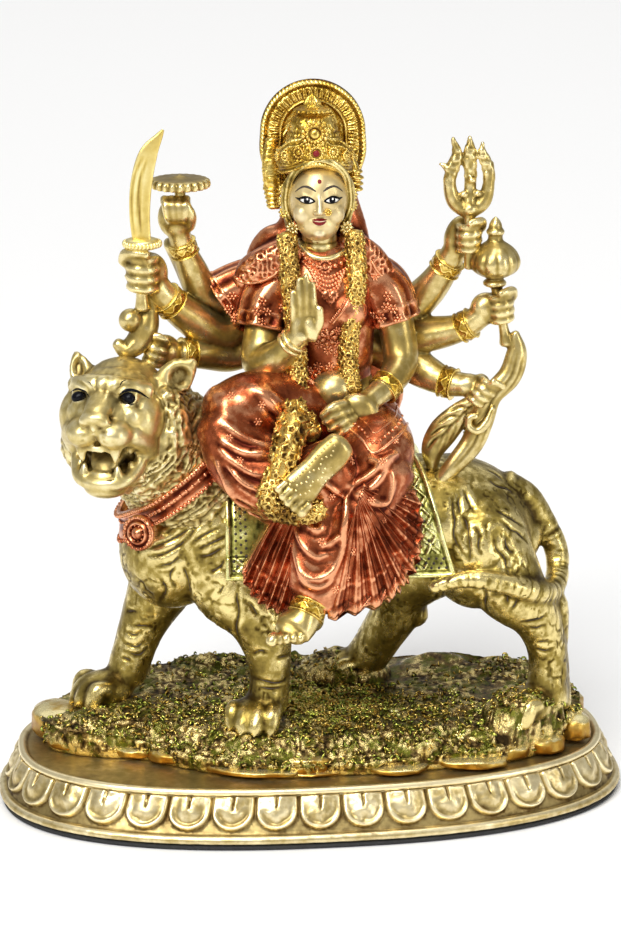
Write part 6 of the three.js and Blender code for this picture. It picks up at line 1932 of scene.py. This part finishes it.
def crown_form():
    """The cap inside the diadem: a full round with beaded rings, a disc of petals and a ribbed cone."""
    profile = [[0.5, 149.6], [5.2, 149.8], [7.0, 150.8], [7.3, 153], [6.2, 155.6], [5.7, 156.6], [5.5, 158.2],
        [4.9, 159.6], [3.9, 160.4], [3.3, 160.8], [3.4, 161.0], [4.1, 161.3], [4.2, 161.8], [3.6, 162.2],
        [2.5, 162.5], [2.1, 163.0], [1.9, 163.8], [1.1, 164.8], [0.5, 165.6], [0.1, 165.9]]
    line = smooth_line(np.column_stack([np.array(profile), np.zeros(len(profile))]), 150)
    turn = angles(180)
    height = line[:, 1:2]
    beads = lambda level, width, count, rise: (
        rise * bump(height - level, width) * (0.6 + 0.4 * np.cos(turn * count)))
    relief = beads(156.2, 0.35, 44, 0.35) + beads(157.4, 0.3, 52, 0.25) + beads(160.2, 0.3, 36, 0.25)
    relief = relief + beads(161.6, 0.5, 20, 0.35) + beads(162.6, 0.25, 26, 0.2)
    ribs = 0.16 * np.cos(turn * 14)[None] * ease(height, 162.8, 163.4) * ease(height, 165.6, 164.4)
    folds = 0.22 * np.sin(9 * turn + 1.2 * (height - 157)) * bump(height - 158.6, 0.9)
    places = np.stack([8 * np.cos(turn) + 0 * height, 8 * np.sin(turn) + 0 * height, height + 0 * turn], -1)
    pebbles = np.abs(grain(places.reshape(-1, 3), 0.9, 58)).reshape(places.shape[:2]) * ease(height, 163, 162)
    radius = np.maximum(line[:, :1] + relief + ribs + folds + 0.35 * pebbles, 0.05)
    x = crown_axis(height) + radius * np.cos(turn)
    rings = np.stack([x, CROWN_CENTRE[1] + radius * np.sin(turn) * 0.95,
        np.broadcast_to(height, radius.shape)], -1)
    return closed(rings)


def diadem_edges(angle):
    """The lower and upper edge of the diadem at angles from its middle: arches in front, low at the ears."""
    low = 146.4 + 3.0 * bump(angle, 0.75)
    arches = np.abs(np.sin((angle + np.pi / 7) * 3.5)) ** 0.7
    high = 150.8 + 6.2 * bump(angle, 1.05) + 1.6 * bump(angle, 0.3)
    return low, high + 1.2 * arches * ease(np.abs(angle), 0.3, 0.8)


def diadem_form():
    """A broad band that flares upwards from ear to ear, with beads along both edges and pebbled relief."""
    def shape(u, v):
        angle = (u - 0.5) * 4.0
        low, high = diadem_edges(angle)
        z = low + (high - low) * v
        above, below = (1 - v) * (high - low), v * (high - low)
        relief = 0.45 * bump(below - 0.5, 0.4) + 0.2 * bump(below - 1.35, 0.22)
        relief = relief + 0.4 * bump(above - 0.4, 0.35)
        relief = relief + 0.12 * np.cos(angle * 60) * (bump(below - 0.5, 0.4) + bump(above - 0.4, 0.35))
        spots = np.stack([angle * 8.5, z, 0 * z], -1)
        inside = ease(below, 1.5, 2) * ease(above, 0.7, 1.1)
        relief = relief + inside * (0.4 * np.abs(grain(spots, 0.8, 51)) + 0.3
            * np.abs(grain(spots, 0.45, 52)))
        relief = relief + 0.35 * bump(above - 1.7, 0.25) * inside
        radius = 8.7 + 1.0 * v * np.sqrt(np.clip(1 - v, 0.04, 1)) - 2.2 * v**2 * bump(angle, 0.8) + relief
        return crown_axis(z) + radius * np.sin(angle), CROWN_CENTRE[1] - radius * np.cos(angle) * 0.98, z

    def inward(u, v):
        angle = (u - 0.5) * 4.0
        return -np.sin(angle), np.cos(angle), 0 * u
    return sheet(shape, 400, 44, 1.2, inward, 60)


def on_diadem(angle, height, out=0.0):
    """A place on the diadem's face and the way that it faces."""
    low, high = diadem_edges(np.array(angle))
    share = np.clip((height - low) / (high - low), 0, 1.3)
    radius = 8.9 + 0.6 * share - 2.2 * share**2 * bump(np.array(angle), 0.8) + out
    way = np.array([np.sin(angle), -np.cos(angle), 0.0])
    return np.array([crown_axis(height), CROWN_CENTRE[1], height]) + way * radius, way


def crown_jewels():
    """Rosettes round the diadem, a large one over its middle, the knot at one side, and flowers below."""
    forms = []
    for angle, height, radius, beads in ((0, 152.6, 1.75, 14), (-0.5, 152.6, 1.35, 12),
            (0.5, 152.6, 1.35, 12), (-0.95, 151.4, 1.3, 12), (0.95, 151.4, 1.3, 12), (-1.4, 150.6, 1.1, 10),
            (1.4, 150.6, 1.1, 10)):
        spot, way = on_diadem(angle, height)
        forms.append(set_out(rosette(radius, beads), [spot], [way]))
    forms.append(set_out(rosette(2.3, 16), [(0.3, -14.2, 157.2)], [(0, -1, 0.2)]))
    forms += [blob((0.3 + 2.85 * np.cos(t), -14.1 - 0.2 * np.sin(t), 157.2 + 2.85 * np.sin(t)),
        (0.52, 0.5, 0.52),
        sides=10, rows=7) for t in angles(15)]
    for step, height in enumerate((146.4, 144.9, 143.4, 142.0)):
        forms.append(blob((10.6 + 0.1 * step, -4.4, height), (2.2 - 0.2 * abs(step - 1), 2.1, 0.72),
            (0, 10, 0), 24, 14))
    forms.append(limb([[9.4, -4.6, 150.0, 0.8], [10.2, -4.4, 147.6, 1.2], [10.8, -4.4, 144.6, 1.3],
        [10.9, -4.4, 141.6, 0.8]], 12))
    for x, z in ((-7.2, 142.4), (-7.3, 139.6), (-7.0, 136.8), (10.0, 141.0), (10.0, 138.4)):
        forms.append(set_out(joined([blossom_form(8, 1.6), rosette(0.6, 7)]), [(x, -8.0, z)],
            [(0.12 * (x - 1.4), -1, 0)]))
    return joined(forms)


def crown_ribbon():
    """The ribbon down the viewer's left of the halo, with a tassel of beads at its end."""
    forms = [limb([[-9.6, -1.0, 153.4, 1.3, 0.9], [-9.9, -1.8, 149.4, 2.0, 1.2], [-9.6, -2.4, 145, 2.2, 1.3],
        [-9.3, -2.6, 140.4, 1.9, 1.2]], 24, 60)]
    for step, height in enumerate((141.8, 140.6, 139.5, 138.4, 137.4)):
        forms.append(blob((-9.6 + 0.1 * step, -2.8, height), (2.15 - 0.12 * step, 1.6, 0.66), sides=20,
            rows=10))
    points, faces = joined(forms)
    return points + outlook(points, faces) * (0.3 * np.abs(grain(points, 0.7, 55)))[:, None], faces


HALO_CENTRE = np.array([0.7, 0.0, 154.8])
HALO_RADIUS = 12.9
HALO_BAND = 9.4


def halo_edge(share, radius, foot=-15.0):
    """The arch as a curve: up the left side, round the half circle and down the right side."""
    stations = [(-radius * 0.72, foot), (-radius, foot + 9)]
    stations += [(-radius * np.cos(t), radius * np.sin(t)) for t in np.linspace(0, np.pi, 17)]
    stations += [(radius, foot + 9), (radius * 0.72, foot)]
    line = smooth_line(np.column_stack([np.array(stations), np.zeros(len(stations))]), 721)[:, :2]
    length = travelled(line)
    place = share * length[-1]
    return np.interp(place, length, line[:, 0]), np.interp(place, length, line[:, 1]), length[-1]


def halo_form():
    """The halo: u runs along the arch and v from its rim inwards. A rounded rim, a groove, a band of radial
    leaves, a raised inner line and a sunk middle stand on the plate as sums of bells and waves."""
    def shape(u, v):
        x, z, length = halo_edge(u, HALO_RADIUS)
        inward = v * HALO_BAND
        shrink = 1 - inward / HALO_RADIUS
        leaf = np.abs((u * 40) % 1 - 0.5) * 2
        level = np.clip((inward - 1.7) / 2.7, 0, 1)
        petal = ease(np.sqrt(np.clip(1 - (1 - level)**2, 0, 1)) - leaf, 0, 0.3)
        petal = petal * (inward > 1.7) * (inward < 4.4)
        grid = np.stack([u * length * shrink, inward, 0 * u], -1)
        pebbles = np.abs(grain(grid, 0.8, 61)) + 0.6 * np.abs(grain(grid, 0.45, 62))
        y = 1.6 - 0.6 * bump(inward - 0.7, 0.65) + 0.4 * bump(inward - 1.5, 0.25) - 0.45 * petal
        y = y + 0.22 * bump(leaf * 2, 0.5) * petal - 0.7 * bump(inward - 4.9, 0.32)
        y = y - 0.3 * pebbles * (inward > 5.3) - 0.22 * pebbles * (inward > 1.6) * (inward < 4.5)
        y = y - 0.16 * np.cos(u * 440) * bump(inward - 0.7, 0.45)
        return HALO_CENTRE[0] + x * shrink, y, HALO_CENTRE[2] + np.where(z < 0, z, z * shrink)
    front = sheet(shape, 620, 40, 2.4, (0, 1, 0), 620)
    inner_plate = blob(HALO_CENTRE + [0, 2.6, -6], (8, 1.6, 12), sides=24, rows=16)
    return joined([front, inner_plate])


BLADE_LINES = (
    ((-41.6, -13.6, 133), (-42.2, -13.6, 140), (-41.6, -13.6, 147), (-40.2, -13.5, 151)),
    ((-43.4, -13.5, 133), (-44.0, -13.5, 140), (-43.2, -13.5, 147), (-41.0, -13.4, 152)),
)
HELD_LINES = (
    ((50.6, -10, 101), (49, -10.6, 95.6), (44.6, -11.2, 90), (42.2, -11.3, 84.4), (40, -11.2, 78.6),
        (35, -12, 72.6)),
    ((52.0, -9.6, 100), (50.8, -10.2, 95), (46.2, -10.8, 88.6), (43.8, -10.9, 83.4), (41.6, -10.8, 77.4)),
    ((40.6, -10, 89), (36.6, -9.6, 85), (32.8, -9, 80.6), (30.8, -8.6, 75.6)),
    ((39.0, -9.8, 87.4), (36.0, -9.2, 87.6), (34, -8.6, 86.4)),
    ((36.8, -9.6, 85.4), (33.6, -9, 85), (31.4, -8.4, 83.2)),
    ((34.8, -9.4, 83), (31.8, -8.8, 82), (29.4, -8, 80)),
    ((33.0, -9.2, 80.6), (30.4, -8.6, 79), (28.6, -7.8, 76.6)),
    ((38.4, -9.8, 86.6), (38.0, -9.2, 83.4), (37, -8.6, 81)),
    ((35.8, -9.6, 84), (35.4, -9, 80.6), (34.4, -8.4, 78.4)),
    ((33.6, -9.2, 81.4), (33.2, -8.8, 78), (32.4, -8, 75)),
)


def spun(line, relief, turn, centre):
    """A turned form whose radius carries a relief, over angles about an upright axis."""
    radius = np.maximum(line[:, :1] + relief, 0.05)
    height = np.broadcast_to(line[:, 1:2], radius.shape)
    return closed(np.stack([radius * np.cos(turn), radius * np.sin(turn), height], -1) + centre)


def sword_form():
    """The blade with its long grooves, and the round guard with pearls."""
    points, faces = limb([[-41.5, -13, 130, 2.2, 0.55], [-42.0, -13, 138, 2.5, 0.6],
        [-41.4, -13, 146, 2.6, 0.6], [-39.6, -13, 152.8, 2.2, 0.5], [-37.2, -13, 156.6, 1.0, 0.4],
        [-36.2, -13, 158.2, 0.4, 0.3]], 32, 90)
    guard = turned((-41.5, -13, 130.6), [[0.1, -1.2], [3.2, -1.2], [4.0, -0.9], [4.4, 0], [4.0, 0.9],
        [3.2, 1.2], [0.1, 1.2]], 48)
    pearls, pearl_faces = joined(beaded(4.4, 0, 30, (0.5, 0.5, 0.8), rows=6))
    grooves = [smooth_line(line, 40) for line in BLADE_LINES]
    blade = carved(points, outlook(points, faces), grooves, 0.35, -0.25), faces
    return joined([blade, guard, (pearls + [-41.5, -13, 130.6], pearl_faces)])


def grip_forms():
    """The sword's grip and its curled end."""
    return [
        limb([[-41.6, -12.4, 114.6, 1.9], [-41.7, -12.6, 117.2, 1.5], [-41.6, -13, 130.6, 1.5]], 16),
        limb([[-40.4, -10, 117, 0.9], [-40.2, -10, 114, 2.2], [-41, -10.6, 109.6, 3.4],
            [-43, -11.2, 105.6, 3], [-45.8, -11.8, 104, 2.4], [-48, -12, 105.6, 1.4]], 24, 60),
        blob((-44.6, -12.2, 111.4), (2.9, 2.7, 2.9), sides=32, rows=22),
    ]


def disc_form():
    """The disc with a wavy rim and rings of relief."""
    turn = angles(180)
    disc_line = smooth_line([[0.1, -6.4, 0], [1.5, -6, 0], [1.6, -1.6, 0], [6.2, -1.2, 0], [7.0, -0.9, 0],
        [7.1, 0.7, 0], [6.4, 1.1, 0], [3.0, 1.4, 0], [1.2, 1.8, 0], [0.1, 2.2, 0]], 70)
    wave = (np.abs(np.sin(turn * 11))[None] - 0.6) * bump(disc_line[:, :1] - 7.0, 0.9)
    wave = wave + 0.15 * np.cos(disc_line[:, :1] * 5) * (disc_line[:, 1:2] > 0)
    return spun(disc_line, wave, turn, (-32.1, -6, 144))


def trident_forms():
    """The trident's shaft and middle prong, its outer prongs, a barb, three knobs and a collar."""
    prong = lambda stations: limb(stations, 24, 50)
    return [
        limb([[38.6, -7, 122.6, 1.3], [38.6, -7, 134, 1.3], [38.5, -6.4, 138, 1.9], [38.7, -6, 141, 1.5],
            [38.8, -6, 144.4, 1.6, 1.2], [38.6, -6, 148, 1.7, 1.2], [38.6, -6, 151.6, 1.5, 1.1],
            [38.5, -6, 154.6, 0.5]], 24, 70),
        prong([[38.5, -6.2, 136.4, 2.2], [35, -6, 138.6, 1.9], [33.7, -6, 143.6, 1.6],
            [34.6, -6, 147.6, 1.7, 1.2], [35.4, -6, 150.2, 1.4, 1.1], [34.4, -6, 154.6, 0.5]]),
        prong([[38.5, -6.2, 136.4, 2.2], [42, -6, 138.6, 1.9], [43.3, -6, 143.6, 1.5],
            [42.9, -6, 147.6, 1.6, 1.2], [41.8, -6, 150.4, 1.2, 1], [41.5, -6, 153.2, 0.5]]),
        prong([[33.8, -6, 146, 1.4], [32.8, -6, 147.2, 0.9], [31.3, -6, 148, 0.4]]),
        *[blob(place, (1.1, 1.1, 0.9)) for place in ((37.1, -7, 140.7), (40.5, -7, 140.9),
            (39.1, -7, 144.2))],
        turned((38.6, -6.6, 137), [[0.1, -1.2], [2, -1], [2.4, 0], [2, 1], [0.1, 1.2]], 24),
    ]


def mace_forms():
    """The mace with its ribbed bulb, and the knob under the fist."""
    turn = angles(96)
    bulb_line = smooth_line([[0.1, 0, 0], [2.8, 0.8, 0], [2.9, 1.6, 0], [1.9, 2.4, 0], [3.6, 3.2, 0],
        [5.6, 4.6, 0], [6.35, 6.6, 0], [5.7, 8.8, 0], [4.2, 10.4, 0], [2.9, 11.3, 0], [2, 12, 0],
        [1.85, 13.4, 0], [2.25, 13.8, 0], [2.25, 14.4, 0], [1.75, 15, 0], [1.6, 15.9, 0],
        [1, 17.1, 0], [0.1, 18, 0]], 110)
    ribs = -0.5 * (1 - np.abs(np.sin(turn * 6))[None]) ** 2 * bump(bulb_line[:, 1:2] - 6.6, 3.2)
    return [spun(bulb_line, ribs, turn, (45, -7, 117.2)),
        limb([[48.2, -7, 103.4, 1.9], [47.6, -7, 106, 1.3], [45.3, -7, 118.4, 1.5]], 20)]


def bow_forms():
    """The bow, the broad leaf beside it and the curl at its grip."""
    return [
        limb([[50.2, -8, 106, 1], [50.6, -8, 101, 2.6, 1.8], [49, -8.4, 95.4, 3, 2], [44.2, -9, 90.2, 2.8, 2],
            [42, -9, 84.4, 3.2, 2.2], [39.8, -9, 78.4, 3, 2], [34.8, -9.8, 72.4, 2.4, 2],
            [31.8, -10, 69.2, 1.8]], 24, 90),
        limb([[40.8, -8.6, 89.6, 1.6], [36.6, -7.8, 85.4, 3.1, 1.7], [32.6, -7.0, 80.6, 3.8, 1.7],
            [30.2, -6.6, 76, 3.0, 1.6], [30.0, -6.4, 71.6, 1.5, 1.4]], 28, 70),
        limb([[44.4, -10.8, 87.6, 1.0], [42.8, -11.6, 84.0, 1.15], [40.6, -12.0, 82.2, 1.1],
            [38.6, -12.0, 83.4, 1.0], [38.8, -12.0, 85.6, 0.95], [40.4, -12.0, 86.0, 0.8]], 14, 50),
    ]


def held_things():
    """What the hands hold besides the blade, as one skin with grooves in the bow and worn tips."""
    forms = grip_forms() + trident_forms() + mace_forms() + bow_forms() + [disc_form()]
    points, faces = fused(forms, 0.32, 1)
    facing = outlook(points, faces)
    points = carved(points, facing, [smooth_line(line, 24) for line in HELD_LINES], 0.42, -0.42)
    worn = 0.2 * grain(points, 0.8, 41) * ease(points[:, 2], 141, 146) * (points[:, 0] > 30)
    return points + facing * worn[:, None], faces


def garland_lines():
    """The middle lines of the two garlands and of the third, which ends over the knee."""
    return [
        [[-6.4, -11, 131.6, 2.0], [-5.6, -13.8, 121, 2.2], [-4.6, -15.8, 110, 2.1], [-4.2, -17.8, 99, 2.3],
            [-3.2, -20.6, 90.4, 2.5], [-1, -26, 85.6, 2.3]],
        [[10.2, -9.4, 131.6, 2.0], [10.6, -12.6, 121, 2.2], [9, -14.2, 110, 2.1], [8.4, -16, 99, 2.1],
            [9.4, -18, 94, 1.9]],
        [[-4.9, -28, 92.8, 2.8], [-6.4, -34.5, 88.7, 3.4], [-8.4, -38, 83.3, 3.0], [-10.3, -39.5, 77.6, 2.7],
            [-11.6, -40, 73.3, 2.8], [-8.2, -40.5, 70.7, 2.5], [-3.4, -40.5, 70.1, 2.2],
            [0.6, -39.5, 70.9, 1.8]],
    ]


def flower(petals):
    """A little flower: rings of points round a middle, that rise and fall with the angle as curled petals."""
    sides = petals * 2
    turn = angles(sides)
    rings = []
    for radius, height, wave in ((0.75, -0.25, 0.0), (0.95, 0.1, 0.22), (0.62, 0.42, 0.16), (0.3, 0.2, 0.05)):
        beat = 1 + wave * np.cos(turn * petals)
        rings.append(np.stack([radius * beat * np.cos(turn), radius * beat * np.sin(turn),
            height + wave * 0.6 * np.cos(turn * petals)], -1))
    return closed(np.array(rings))


def garlands():
    """Flowers packed round each line at seeded angles, over a plain core."""
    draws = np.random.default_rng(11)
    forms = [limb(line, 16) for line in garland_lines()]
    for line, size in zip(garland_lines(), (1.0, 1.0, 1.45)):
        length = np.linalg.norm(np.diff(np.array(line)[:, :3], axis=0), axis=1).sum()
        row = smooth_line(line, 200)
        count = int(length * row[:, 3].mean() * 2 * np.pi / (1.35 * size) ** 2)
        place = np.sort(draws.random(count)) * 199
        angle = np.arange(count) * 2.4 + draws.uniform(-0.3, 0.3, count)
        along = unit(np.gradient(row[:, :3], axis=0))
        low = place.astype(int)
        deep, wide = square_to(along, (0, 1, 0))
        out = np.cos(angle)[:, None] * wide[low] + np.sin(angle)[:, None] * deep[low]
        spots = row[low, :3] + out * row[low, 3:4]
        tilt = unit(out + draws.uniform(-0.35, 0.35, (count, 3)))
        forms.append(set_out(flower(5), spots, tilt, size * draws.uniform(0.8, 1.15, count),
            draws.uniform(0, 6.28, count)))
    return joined(forms)


def make_finery():
    """The goddess's head, crown and halo, and what hangs on her and lies in her hands."""
    head = head_form()
    figure_piece("face", head, FACE_GOLD)
    face_paint(head)
    figure_piece("hair", hair_form(), BRONZE)
    figure_piece("crown", crown_form(), GOLD)
    figure_piece("diadem", diadem_form(), GOLD)
    figure_piece("crown_jewels", crown_jewels(), GOLD)
    figure_piece("crown_ribbon", crown_ribbon(), GOLD)
    spot, way = on_diadem(0, 152.6, 0.3)
    figure_piece("red_jewel", set_out(blob((0, 0, 0), (0.85, 0.85, 0.6), sides=16, rows=12), [spot], [way]),
        RED)
    figure_piece("halo", halo_form(), GOLD)
    figure_piece("sword", sword_form(), BLADE_GOLD)
    figure_piece("held_things", held_things(), SKIN)
    figure_piece("garlands", garlands(), GARLAND_GOLD, whole=True)
    earrings = set_out(joined([blossom_form(9, 1.9), rosette(0.9, 8)]),
        [(-4.9, -9.8, 133.2), (8.3, -9.4, 133.2)], [(-0.2, -1, 0), (0.2, -1, 0)])
    figure_piece("earrings", earrings, SKIN)
    figure_piece("nose_ring", set_out(rosette(0.85, 9), [(3.5, -15.3, 138.2)], [(0.3, -1, 0)]), GOLD)


set_up_camera()
light_the_scene()
lay_floor()
make_plinth()
make_ground()
make_lion()
make_dress()
make_finery()
